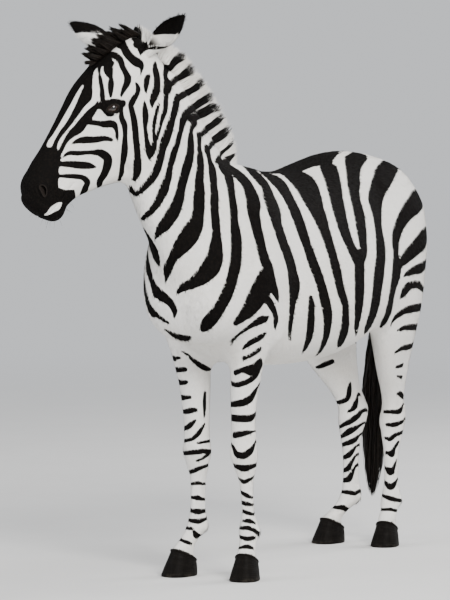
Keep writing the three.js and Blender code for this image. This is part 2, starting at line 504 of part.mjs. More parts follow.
      // edges that could not go before may be free now
      if (count === before || ++round > 12) break;
      before = count;
      for (let t = 0; t < nt; t++) if (live[t]) for (let k = 0; k < 3; k++) { const a = F[t * 3 + k], b = F[t * 3 + ((k + 1) % 3)]; if (a < b) offer(a, b); }
    }
    const e = pop(), { a, b, p } = e;
    if (gone[a] || gone[b] || e.sa !== stamp[a] || e.sb !== stamp[b]) continue;
    const ra = ring(a), rb = ring(b);
    let shared = 0;
    for (const v of ra) if (rb.has(v)) shared++;
    if (shared !== 2 || ra.size + rb.size > 22) continue;
    let bad = false;
    const mean = [0, 0, 0];
    for (const v of [a, b]) for (const t of around[v]) if (live[t]) { normal(pt(F[t * 3]), pt(F[t * 3 + 1]), pt(F[t * 3 + 2]), o); for (let k = 0; k < 3; k++) mean[k] += o[k]; }
    const size = Math.hypot(...mean);
    for (const [v, w] of [[a, b], [b, a]]) {
      for (const t of around[v]) {
        if (!live[t] || bad) continue;
        const c = [F[t * 3], F[t * 3 + 1], F[t * 3 + 2]];
        if (c.includes(w)) continue;
        const k = c.map(pt), m = c.map((x) => (x === v ? p : pt(x)));
        const l1 = normal(...k, o), l2 = normal(...m, o2);
        const f1 = l1 / longest(k), f2 = l2 / longest(m);
        if (f1 > 0.2 && o[0] * o2[0] + o[1] * o2[1] + o[2] * o2[2] < 0.3 * l1 * l2) bad = true;
        if (f2 > 0.02 && mean[0] * o2[0] + mean[1] * o2[1] + mean[2] * o2[2] < 0.2 * size * l2) bad = true;
        if (f2 < 0.1 && f2 < f1) bad = true;
      }
    }
    if (bad) continue;
    P[a * 3] = p[0]; P[a * 3 + 1] = p[1]; P[a * 3 + 2] = p[2];
    for (let m = 0; m < 10; m++) Q[a * 10 + m] += Q[b * 10 + m];
    gone[b] = 1;
    const kept = [];
    for (const t of around[a]) if (live[t]) { if (F[t * 3] === b || F[t * 3 + 1] === b || F[t * 3 + 2] === b) { live[t] = 0; count--; } else kept.push(t); }
    for (const t of around[b]) if (live[t]) { for (let k = 0; k < 3; k++) if (F[t * 3 + k] === b) F[t * 3 + k] = a; kept.push(t); }
    around[a] = kept;
    around[b] = [];
    stamp[a]++;
    for (const v of ring(a)) offer(Math.min(a, v), Math.max(a, v));
  }
  const index = new Int32Array(nv).fill(-1), outV = [], outF = [];
  for (let t = 0; t < nt; t++) if (live[t]) for (let k = 0; k < 3; k++) {
    const v = F[t * 3 + k];
    if (index[v] < 0) { index[v] = outV.length / 3; outV.push(P[v * 3], P[v * 3 + 1], P[v * 3 + 2]); }
    outF.push(index[v]);
  }
  return { vertices: outV, triangles: outF };
}

// ------------------------------------- edges too short to keep, drawn together
const SHORT_EDGE = { flesh: 0.0010, cut: 0.00006 };
function tidy({ vertices: P, triangles }, shortest) {
  let F = [];
  for (let t = 0; t < triangles.length; t += 3) F.push([triangles[t], triangles[t + 1], triangles[t + 2]]);
  const short = (a, b) => Math.hypot(P[a * 3] - P[b * 3], P[a * 3 + 1] - P[b * 3 + 1], P[a * 3 + 2] - P[b * 3 + 2]) < shortest;
  const next = (v) => new Set(F.filter((f) => f.includes(v)).flat().filter((w) => w !== v));
  const stuck = new Set();
  for (;;) {
    let pair = null;
    for (const f of F) {
      for (let k = 0; k < 3 && !pair; k++) {
        const a = Math.min(f[k], f[(k + 1) % 3]), b = Math.max(f[k], f[(k + 1) % 3]);
        if (short(a, b) && !stuck.has(a + '-' + b)) pair = [a, b];
      }
      if (pair) break;
    }
    if (!pair) break;
    const [a, b] = pair, nb = next(b);
    if ([...next(a)].filter((v) => nb.has(v)).length !== 2) { stuck.add(a + '-' + b); continue; }
    F = F.map((f) => f.map((v) => (v === b ? a : v))).filter((f) => new Set(f).size === 3);
  }
  return { vertices: P, triangles: F.flat() };
}
const meshOf = (shape) => {
  const { vertProperties, triVerts } = shape.getMesh();
  return { vertices: Array.from(vertProperties), triangles: Array.from(triVerts) };
};

// ------------------------------------------------------------- solid geometry
const wasm = await Module();
wasm.setup();
const solid = ({ vertices, triangles }) => new wasm.Manifold(new wasm.Mesh({ numProp: 3, vertProperties: Float32Array.from(vertices), triVerts: Uint32Array.from(triangles) }));
function fromGeometry(geometry, matrix) {
  const g = geometry.clone();
  g.deleteAttribute('normal');
  g.deleteAttribute('uv');
  if (matrix) g.applyMatrix4(matrix);
  const m = mergeVertices(g, 1e-5);
  return solid({ vertices: m.attributes.position.array, triangles: m.index.array });
}
// everything more than a little way beyond a plane, on the side that it faces
function halfSpace(point, facing, gap = GAP / 2) {
  const n = vec(facing).normalize(), size = 3;
  const turn = new THREE.Quaternion().setFromUnitVectors(new THREE.Vector3(0, 0, 1), n);
  const centre = vec(point).addScaledVector(n, gap + size / 2);
  return fromGeometry(new THREE.BoxGeometry(size, size, size), new THREE.Matrix4().compose(centre, turn, new THREE.Vector3(1, 1, 1)));
}
function block(low, high) {
  const size = high.map((v, i) => v - low[i]);
  const centre = high.map((v, i) => (v + low[i]) / 2);
  return fromGeometry(new THREE.BoxGeometry(...size), new THREE.Matrix4().makeTranslation(...centre));
}
function largest(m) {
  const pieces = m.decompose();
  pieces.sort((a, b) => b.volume() - a.volume());
  return pieces[0];
}
// the same skin a little further out, used to keep air around the flesh
function swollen({ vertices, triangles }, by) {
  const n = new Float64Array(vertices.length);
  for (let t = 0; t < triangles.length; t += 3) {
    const [a, b, c] = [triangles[t], triangles[t + 1], triangles[t + 2]].map((v) => new THREE.Vector3(vertices[v * 3], vertices[v * 3 + 1], vertices[v * 3 + 2]));
    const f = b.clone().sub(a).cross(c.clone().sub(a)).normalize();
    for (let k = 0; k < 3; k++) { const v = triangles[t + k] * 3; n[v] += f.x; n[v + 1] += f.y; n[v + 2] += f.z; }
  }
  const out = vertices.slice();
  for (let v = 0; v < vertices.length; v += 3) {
    const l = Math.hypot(n[v], n[v + 1], n[v + 2]) || 1;
    for (let k = 0; k < 3; k++) out[v + k] += (n[v + k] / l) * by;
  }
  return { vertices: out, triangles };
}
// A closed skin over a row of loops with the same number of points.
// pairs: the loop is an outer run and an inner run back, closed across at the ends
function skinOver(loops, pairs = false) {
  const k = loops[0].length, vertices = [], triangles = [];
  for (const loop of loops) for (const p of loop) vertices.push(p.x, p.y, p.z);
  for (let i = 0; i < loops.length - 1; i++) for (let j = 0; j < k; j++) {
    const a = i * k + j, b = i * k + ((j + 1) % k), c = a + k, d = b + k;
    triangles.push(a, b, d, a, d, c);
  }
  const last = (loops.length - 1) * k;
  if (pairs) {
    for (let j = 0; j < k / 2 - 1; j++) {
      const p = j, q = j + 1, r = k - 1 - j, s = k - 2 - j;
      triangles.push(p, s, q, p, r, s, last + p, last + q, last + s, last + p, last + s, last + r);
    }
  } else {
    for (const [base, flip] of [[0, true], [last, false]]) {
      const c = new THREE.Vector3();
      for (let j = 0; j < k; j++) c.add(new THREE.Vector3(vertices[(base + j) * 3], vertices[(base + j) * 3 + 1], vertices[(base + j) * 3 + 2]));
      c.divideScalar(k);
      const m = vertices.length / 3;
      vertices.push(c.x, c.y, c.z);
      for (let j = 0; j < k; j++) flip ? triangles.push(m, base + ((j + 1) % k), base + j) : triangles.push(m, base + j, base + ((j + 1) % k));
    }
  }
  const made = { vertices, triangles };
  let s = solid(made);
  if (s.volume() < 0) {
    for (let t = 0; t < triangles.length; t += 3) [triangles[t + 1], triangles[t + 2]] = [triangles[t + 2], triangles[t + 1]];
    s = solid(made);
  }
  return s;
}

// ---------------------------------------------------------------- the pieces
// finer faces on the head and on the lower legs
const detail = (x, y, z) => (z > 1.15 && x > 0.62 ? 6 : z < 0.6 ? 5 : 1);
const whole = solid(reduce(surface(sample(volumes, [-0.95, -0.50, 0.02], [1.22, 0.42, 1.84], CELL)), FLESH_TRIANGLES, detail));
const flesh = tidy(meshOf(whole), SHORT_EDGE.flesh);
const body = solid(flesh), around = solid(swollen(flesh, GAP * 1.6));

const HEAD_CUT = { at: [0.715, -0.105, 1.42], facing: [0.372, -0.140, 0.122] };
const NECK_CUT = { at: [0.36, 0, 1.28], facing: [0.30, 0, 0.34] };
const front = body.intersect(halfSpace(NECK_CUT.at, NECK_CUT.facing));
const rear = body.intersect(halfSpace(NECK_CUT.at, NECK_CUT.facing.map((v) => -v)));
const nodes = {};
nodes.neck = largest(front.intersect(halfSpace(HEAD_CUT.at, HEAD_CUT.facing.map((v) => -v))));
let head = largest(front.intersect(halfSpace(HEAD_CUT.at, HEAD_CUT.facing)));

const legSpace = (z, x0, x1, gap) => block([x0 - gap, -0.6, -0.1], [x1 + gap, 0.6, z + gap]);
nodes.trunk = largest(rear.subtract(legSpace(FORELEG_Z, 0.28, 0.90, GAP)).subtract(legSpace(HINDLEG_Z, -0.90, -0.30, GAP)));
const fore = rear.intersect(legSpace(FORELEG_Z, 0.28, 0.90, 0));
const hind = rear.intersect(legSpace(HINDLEG_Z, -0.90, -0.30, 0));
const leftSide = block([-2, 0, -1], [2, 2, 3]), rightSide = block([-2, -2, -1], [2, 0, 3]);
for (const [name, leg] of Object.entries(LEGS)) {
  const { out, front: ahead } = legFrame(leg), loops = [];
  // the coronet: a plane through the foot that slopes down to the heel
  const coronet = [leg.foot[0], leg.foot[1], CORONET_Z];
  const upward = [-ahead[0] * CORONET_SLOPE, -ahead[1] * CORONET_SLOPE, 1];
  const limb = (name.startsWith('fore') ? fore : hind).intersect(leg.side > 0 ? leftSide : rightSide);
  nodes[name] = largest(limb.intersect(halfSpace(coronet, upward)));
  for (const [z, half, toe, heel] of HOOF) {
    const loop = [], mid = toe - 0.052, points = 20;
    for (let j = 0; j < points; j++) {
      const t = (j / points) * 2 * Math.PI, c = Math.cos(t), s = Math.sin(t), n = 2.3;
      const r = (w) => Math.sign(w) * Math.pow(Math.abs(w), 2 / n);
      const f = mid + r(c) * (c > 0 ? toe - mid : mid - heel), u = r(s) * half;
      loop.push(new THREE.Vector3(leg.foot[0], leg.foot[1], z).addScaledVector(vec(ahead), f).addScaledVector(vec(out), u));
    }
    loops.push(loop);
  }
  nodes[name.replace('foreleg', 'hoof_fore').replace('hindleg', 'hoof_hind')] = largest(skinOver(loops).intersect(halfSpace(coronet, upward.map((v) => -v))));
}

for (const [name, side] of [['left', 1], ['right', -1]]) {
  const centre = onHead(EYE_AT[0], EYE_AT[1] * side, EYE_AT[2]);
  const ball = (r) => fromGeometry(new THREE.SphereGeometry(r, 14, 10), new THREE.Matrix4().makeTranslation(...centre.toArray()));
  head = head.subtract(ball(EYE_RADIUS + GAP * 1.5));
  nodes['eye_' + name] = ball(EYE_RADIUS);

  // the ear is a rolled leaf, open along its front
  const fix = ([s, u, v]) => inHead(s, u * side, v).normalize();
  const axis = fix(EAR_AIM[name]), open = fix(EAR_OPENS[name]);
  open.addScaledVector(axis, -open.dot(axis)).normalize();
  const across = new THREE.Vector3().crossVectors(axis, open);
  const [rs, ru, rv] = EAR_ROOT[name];
  const root = onHead(rs, ru * side, rv);
  const loops = EAR.map(([t, radius, angle, wall]) => {
    const c = root.clone().addScaledVector(axis, EAR_LENGTH * t).addScaledVector(open, -0.006 + 0.020 * t * t);
    const run = (r) => Array.from({ length: 7 }, (_, j) => {
      const w = rad(angle) * (j / 3 - 1);
      return c.clone().addScaledVector(across, r * Math.sin(w)).addScaledVector(open, -r * Math.cos(w) * 0.85);
    });
    return [...run(radius), ...run(radius - wall).reverse()];
  });
  nodes['ear_' + name] = largest(skinOver(loops, true).subtract(around));
}
nodes.head = largest(head);

// a standing ridge of hair: rows give a root point, a direction, a side, a height and a half width
function ridge(rows, depth) {
  const shape = [[1, -depth], [1, 0], [0.94, 0.35], [0.78, 0.7], [0.42, 0.94], [0, 1], [-0.42, 0.94], [-0.78, 0.7], [-0.94, 0.35], [-1, 0], [-1, -depth]];
  return skinOver(rows.map(({ p, upward, side, height, half }) => shape.map(([a, h]) =>
    p.clone().addScaledVector(side, a * half).addScaledVector(upward, h < 0 ? h : h * height))));
}
const maneRows = MANE.map(([s, height, half]) => ({ ...neck.ridge(s), height, half }));
const lastRow = maneRows[maneRows.length - 1];
for (const [s, v, height, half, lean] of MANE_POLL) {
  const mix = (a, b) => a.clone().lerp(b, lean).normalize();
  maneRows.push({ p: onHead(s, 0, v), upward: mix(lastRow.upward, inHead(-0.75, 0, 0.5).normalize()), side: mix(lastRow.side, HEAD_B), height, half });
}
const maneSolid = ridge(maneRows, 0.030);
const lockRows = FORELOCK.map(([s, low, top, half]) => ({ p: onHead(s, 0, low + 0.03), upward: inHead(0, 0, 1), side: inHead(0, 1, 0), height: top - low - 0.03, half }));
const lockSolid = ridge(lockRows, 0.030);
// the forelock begins where the mane ends, at a plane across the poll
const MANE_END = { at: onHead(-0.042, 0, -0.06).toArray(), facing: inHead(1, 0, 0.75).toArray() };
nodes.mane = largest(maneSolid.subtract(around).subtract(halfSpace(MANE_END.at, MANE_END.facing, -GAP / 2)));
nodes.forelock = largest(lockSolid.subtract(around).intersect(halfSpace(MANE_END.at, MANE_END.facing, GAP / 2)));
for (const name of ['left', 'right']) {
  const shell = solid(swollen(meshOf(nodes['ear_' + name]), GAP * 1.2));
  nodes.mane = largest(nodes.mane.subtract(shell));
  nodes.forelock = largest(nodes.forelock.subtract(shell));
}

const tail = skinOver(TAIL.map(([z, off, half, f, b]) => Array.from({ length: 14 }, (_, j) => {
  const w = (j / 14) * 2 * Math.PI;
  return new THREE.Vector3((f + b) / 2 + ((f - b) / 2) * Math.cos(w), off + half * Math.sin(w), z);
}))).subtract(around);
nodes.tail_dock = largest(tail.intersect(halfSpace([0, 0, TAIL_SPLIT_Z], [0, 0, 1])));
nodes.tail_tuft = largest(tail.intersect(halfSpace([0, 0, TAIL_SPLIT_Z], [0, 0, -1])));

// ----------------------------------------------------------------- the scene
const COAT = { color: 0xd9d6cf, roughness: 0.85, metalness: 0 };
const DARK = { color: 0x14120f, roughness: 0.85, metalness: 0 };
const HOOF_HORN = { color: 0x17130f, roughness: 0.5, metalness: 0 };
const EYE = { color: 0x0e0906, roughness: 0.08, metalness: 0 };
const look = (name) => (name.startsWith('eye') ? EYE : name.startsWith('hoof') ? HOOF_HORN : /tuft|forelock/.test(name) ? DARK : COAT);

const zebra = new THREE.Group();
for (const [name, shape] of Object.entries(nodes)) {
  const { vertices, triangles } = tidy(meshOf(shape), SHORT_EDGE.cut);
  const geometry = new THREE.BufferGeometry();
  geometry.setAttribute('position', new THREE.BufferAttribute(Float32Array.from(vertices, (v, i) => (v - (ORIGIN[i % 3] ?? 0)) * SCALE), 3));
  geometry.setIndex(new THREE.BufferAttribute(Uint32Array.from(triangles), 1));
  geometry.computeVertexNormals();
  const mesh = new THREE.Mesh(geometry, new THREE.MeshStandardMaterial(look(name)));
  mesh.name = name;
  zebra.add(mesh);
}
export default zebra;
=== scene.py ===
# A standing plains zebra at life size, its head turned to its right.
# One skin with its coat of tufts covers the flesh of the frame; eyes, hooves,
# mane, forelock and tail hair are pieces of their own.
# X runs forward, Y to the animal's left, Z up, in metres.
import bpy
import math
import numpy as np
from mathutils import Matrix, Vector


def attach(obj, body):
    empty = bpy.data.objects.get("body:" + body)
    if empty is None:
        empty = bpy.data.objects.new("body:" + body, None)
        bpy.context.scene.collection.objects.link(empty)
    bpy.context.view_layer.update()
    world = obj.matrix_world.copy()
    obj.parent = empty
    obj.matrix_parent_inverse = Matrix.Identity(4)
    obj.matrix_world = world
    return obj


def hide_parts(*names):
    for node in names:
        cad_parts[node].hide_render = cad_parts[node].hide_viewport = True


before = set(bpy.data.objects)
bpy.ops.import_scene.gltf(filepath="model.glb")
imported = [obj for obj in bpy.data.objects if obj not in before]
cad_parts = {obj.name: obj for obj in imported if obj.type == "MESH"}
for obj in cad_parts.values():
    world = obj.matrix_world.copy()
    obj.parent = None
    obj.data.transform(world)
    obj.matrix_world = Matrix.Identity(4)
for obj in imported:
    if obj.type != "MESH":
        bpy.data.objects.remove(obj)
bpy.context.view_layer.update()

# ---------------------------------------------------------------- dimensions
ORIGIN = [0.1580, -0.0542] # middle of the whole outline, in the frame of the tables
CORONET_Z = 0.057         # height of the coronet over the foot's point; it slopes down to the heel
CORONET_SLOPE = 0.45      # rise of the coronet for each metre forward
FORELEG_Z = 0.630         # where the free foreleg meets the trunk
HINDLEG_Z = 0.615         # where the free hind leg meets the trunk
HEAD_POLL = [0.828, -0.173, 1.708]
HEAD_YAW = -34            # degrees, to the animal's right
HEAD_PITCH = 56           # degrees that the nose points down
NECK_ROOT = [0.44, 0, 1.08]
NECK_DIRECTION = [0.26, -0.095, 0.42]
EYE_RADIUS = 0.0205
EYE_AT = [0.230, 0.0865, -0.100]  # along the head, outward, up from the nose line
EAR_LENGTH = 0.158
EAR_ROOT = { "left": [0.002, 0.056, -0.114], "right": [0.043, 0.062, -0.067] }
EAR_AIM = { "left": [-0.76, 0.64, -0.06], "right": [-0.10, 0.45, 0.89] }
EAR_OPENS = { "left": [0.45, 0.40, 0.80], "right": [0.19, 0.89, -0.42] }

# --------------------------------------------------- cross-sections by station
# trunk: x, offset, half width, top z, bottom z, z of the widest point, roundness, egg
TRUNK = [
  [-0.63, 0, 0.110, 1.205, 0.960, 1.090, 2.0, 0.02],
  [-0.56, 0, 0.176, 1.279, 0.860, 1.060, 2.15, 0.03],
  [-0.42, 0, 0.230, 1.316, 0.760, 1.020, 2.25, 0.07],
  [-0.28, 0, 0.252, 1.314, 0.690, 0.960, 2.1, 0.12],
  [-0.12, 0, 0.262, 1.288, 0.650, 0.930, 2.1, 0.14],
  [0.05, 0, 0.256, 1.262, 0.640, 0.930, 2.1, 0.14],
  [0.20, 0, 0.235, 1.262, 0.645, 0.940, 2.1, 0.16],
  [0.34, 0, 0.205, 1.272, 0.660, 0.950, 2.1, 0.18],
  [0.48, 0, 0.185, 1.235, 0.680, 0.950, 2.1, 0.16],
  [0.60, 0, 0.160, 1.130, 0.735, 0.930, 2.1, 0.10],
]
# neck: along, offset, half width, crest, throat, widest, roundness, egg
NECK = [
  [-0.12, -0.02, 0.150, 0.20, -0.26, -0.02, 2.0, 0.10],
  [0.03, -0.005, 0.128, 0.190, -0.297, -0.03, 2.0, 0.15],
  [0.12, 0.005, 0.108, 0.148, -0.312, -0.04, 2.0, 0.18],
  [0.22, 0.012, 0.090, 0.104, -0.305, -0.06, 2.0, 0.20],
  [0.32, 0.012, 0.080, 0.086, -0.276, -0.06, 2.0, 0.20],
  [0.42, 0.008, 0.076, 0.078, -0.236, -0.055, 2.0, 0.18],
  [0.52, 0.0, 0.070, 0.076, -0.190, -0.04, 2.0, 0.12],
]
NECK_TWIST = [[-0.12, 0], [0.12, -3], [0.35, -16], [0.52, -27]]
# head: along, offset, half width, nose line, jaw line, widest, roundness, egg
HEAD = [
  [0.03, 0, 0.062, -0.040, -0.215, -0.105, 2.1, -0.10],
  [0.09, 0, 0.080, -0.016, -0.262, -0.105, 2.2, -0.05],
  [0.16, 0, 0.092, -0.002, -0.290, -0.105, 2.3, 0.02],
  [0.23, 0, 0.093, 0.006, -0.302, -0.105, 2.4, 0.06],
  [0.30, 0, 0.080, 0.003, -0.303, -0.120, 2.4, 0.10],
  [0.37, 0, 0.064, -0.001, -0.282, -0.125, 2.3, 0.08],
  [0.44, 0, 0.055, -0.004, -0.226, -0.110, 2.2, 0.02],
  [0.50, 0, 0.054, -0.004, -0.184, -0.095, 2.2, -0.06],
  [0.55, 0, 0.055, -0.012, -0.168, -0.090, 2.2, -0.05],
  [0.585, 0, 0.048, -0.030, -0.160, -0.095, 2.2, 0.0],
]
# legs: z, outward, half width, front, back, roundness
FORELEG = [
  [0.94, 0.020, 0.078, 0.130, -0.105, 2.0],
  [0.84, 0.022, 0.070, 0.100, -0.105, 2.0],
  [0.76, 0.018, 0.060, 0.080, -0.090, 2.0],
  [0.68, 0.010, 0.053, 0.066, -0.071, 2.0],
  [0.60, 0.004, 0.0475, 0.056, -0.056, 2.0],
  [0.52, 0, 0.0415, 0.047, -0.045, 2.1],
  [0.46, 0, 0.0390, 0.042, -0.040, 2.2],
  [0.425, 0, 0.0395, 0.042, -0.040, 2.3],
  [0.385, 0, 0.0425, 0.042, -0.041, 2.4],
  [0.35, 0, 0.0360, 0.034, -0.038, 2.3],
  [0.31, 0, 0.0250, 0.025, -0.034, 2.1],
  [0.25, 0, 0.0205, 0.022, -0.032, 2.1],
  [0.20, 0, 0.0215, 0.023, -0.034, 2.1],
  [0.17, 0, 0.0285, 0.027, -0.039, 2.1],
  [0.145, 0, 0.0330, 0.031, -0.043, 2.1],
  [0.118, 0, 0.0268, 0.033, -0.031, 2.1],
  [0.100, 0, 0.0272, 0.040, -0.026, 2.1],
  [0.085, 0, 0.0292, 0.048, -0.026, 2.1],
  [0.065, 0, 0.0310, 0.055, -0.029, 2.1],
  [0.045, 0, 0.0318, 0.058, -0.031, 2.1],
]
HINDLEG = [
  [1.10, 0.010, 0.085, 0.20, -0.100, 2.0],
  [1.00, 0.020, 0.096, 0.25, -0.122, 2.0],
  [0.90, 0.027, 0.096, 0.28, -0.120, 2.0],
  [0.81, 0.030, 0.084, 0.275, -0.104, 2.0],
  [0.73, 0.027, 0.070, 0.242, -0.084, 2.0],
  [0.65, 0.020, 0.058, 0.192, -0.064, 2.0],
  [0.58, 0.012, 0.048, 0.138, -0.055, 2.0],
  [0.52, 0.006, 0.040, 0.084, -0.056, 2.0],
  [0.48, 0.002, 0.037, 0.058, -0.069, 2.0],
  [0.45, 0, 0.039, 0.047, -0.076, 2.1],
  [0.41, 0, 0.0410, 0.043, -0.064, 2.2],
  [0.37, 0, 0.036, 0.038, -0.044, 2.2],
  [0.32, 0, 0.0280, 0.032, -0.035, 2.1],
  [0.26, 0, 0.0245, 0.029, -0.032, 2.1],
  [0.20, 0, 0.0255, 0.030, -0.034, 2.1],
  [0.165, 0, 0.0320, 0.034, -0.040, 2.1],
  [0.14, 0, 0.0345, 0.035, -0.044, 2.1],
  [0.115, 0, 0.0285, 0.036, -0.034, 2.1],
  [0.100, 0, 0.0278, 0.041, -0.026, 2.1],
  [0.085, 0, 0.0294, 0.048, -0.026, 2.1],
  [0.065, 0, 0.0310, 0.055, -0.029, 2.1],
  [0.045, 0, 0.0318, 0.058, -0.031, 2.1],
]
# each leg: foot position, side, toe-out in degrees, and how the column leans
# over the "foot": z, forward, outward
LEGS = {
  "foreleg_left": { "foot": [0.475, 0.102], "side": 1, "toe": 12, "rows": FORELEG,
    "lean": [[0.08, 0, 0], [0.10, -0.004, 0], [0.15, -0.020, -0.001], [0.30, -0.020, -0.010], [0.40, -0.020, -0.017], [0.60, -0.018, -0.017], [0.94, 0, -0.005]] },
  "foreleg_right": { "foot": [0.470, -0.120], "side": -1, "toe": 16, "rows": FORELEG,
    "lean": [[0.08, 0, 0], [0.10, -0.010, -0.001], [0.15, -0.045, -0.004], [0.30, -0.045, -0.008], [0.40, -0.045, -0.010], [0.60, -0.040, -0.006], [0.72, -0.034, 0.004], [0.94, -0.010, 0.004]] },
  "hindleg_left": { "foot": [-0.542, 0.097], "side": 1, "toe": 10, "rows": HINDLEG,
    "lean": [[0.08, 0, 0], [0.10, -0.010, 0], [0.15, -0.045, 0], [0.30, -0.052, -0.002], [0.45, -0.054, 0.001], [0.70, -0.038, 0.003], [1.10, -0.020, 0.006]] },
  "hindleg_right": { "foot": [-0.535, -0.100], "side": -1, "toe": 16, "rows": HINDLEG,
    "lean": [[0.08, 0, 0], [0.10, -0.016, -0.006], [0.15, -0.060, -0.022], [0.30, -0.056, -0.026], [0.45, -0.053, -0.026], [0.70, -0.036, -0.014], [1.10, -0.020, 0]] },
}
# hoof: z, half width, toe, heel
HOOF = [
  [0.000, 0.0450, 0.0870, -0.0350],
  [0.006, 0.0455, 0.0875, -0.0360],
  [0.030, 0.0412, 0.0765, -0.0350],
  [0.055, 0.0355, 0.0645, -0.0330],
  [0.080, 0.0315, 0.0525, -0.0300],
  [0.095, 0.0305, 0.0470, -0.0280],
]
# tail: z, offset to the right, half width, front x, back x
TAIL = [
  [1.175, 0, 0.030, -0.590, -0.640],
  [1.150, 0, 0.033, -0.610, -0.674],
  [1.110, -0.003, 0.031, -0.640, -0.704],
  [1.050, -0.007, 0.028, -0.672, -0.728],
  [0.960, -0.013, 0.026, -0.694, -0.742],
  [0.850, -0.021, 0.025, -0.704, -0.750],
  [0.760, -0.027, 0.026, -0.706, -0.756],
  [0.700, -0.031, 0.033, -0.700, -0.761],
  [0.620, -0.036, 0.043, -0.694, -0.770],
  [0.520, -0.041, 0.049, -0.690, -0.776],
  [0.420, -0.045, 0.049, -0.692, -0.778],
  [0.320, -0.049, 0.042, -0.699, -0.776],
  [0.230, -0.052, 0.030, -0.711, -0.769],
  [0.160, -0.055, 0.015, -0.724, -0.757],
  [0.128, -0.056, 0.004, -0.734, -0.744],
]
# mane: along the neck, height above the crest, half width at the root
MANE = [
  [0.105, 0.016, 0.010], [0.130, 0.046, 0.014], [0.165, 0.078, 0.017], [0.21, 0.097, 0.019],
  [0.26, 0.103, 0.020], [0.31, 0.101, 0.021], [0.36, 0.096, 0.021], [0.41, 0.089, 0.021],
  [0.46, 0.083, 0.021], [0.505, 0.072, 0.022],
]
# the mane goes on over the poll: along, up on the head, height, half width, lean
MANE_POLL = [[-0.008, -0.235, 0.068, 0.022, 0.12], [-0.018, -0.196, 0.052, 0.022, 0.35], [-0.021, -0.151, 0.033, 0.023, 0.65], [-0.020, -0.109, 0.043, 0.025, 0.92], [-0.015, -0.081, 0.045, 0.028, 1.0]]
# forelock: along the head, root level, top level, half width (head frame)
FORELOCK = [
  [-0.062, -0.150, -0.056, 0.022],
  [-0.040, -0.120, -0.027, 0.027],
  [-0.012, -0.095, 0.000, 0.032],
  [0.020, -0.070, 0.021, 0.036],
  [0.052, -0.055, 0.033, 0.037],
  [0.084, -0.045, 0.042, 0.034],
  [0.112, -0.035, 0.036, 0.028],
  [0.134, -0.028, 0.018, 0.018],
]
# ear: share of the length, radius, half angle of the shell in degrees, wall
EAR = [
  [-0.14, 0.0235, 172, 0.0075], [0.02, 0.0245, 166, 0.0075], [0.14, 0.0290, 150, 0.007], [0.28, 0.0345, 128, 0.0065],
  [0.42, 0.0370, 112, 0.006], [0.56, 0.0355, 104, 0.006], [0.70, 0.0300, 98, 0.0055], [0.83, 0.0215, 94, 0.005],
  [0.93, 0.0130, 90, 0.0045], [1.00, 0.0060, 86, 0.0035],
]
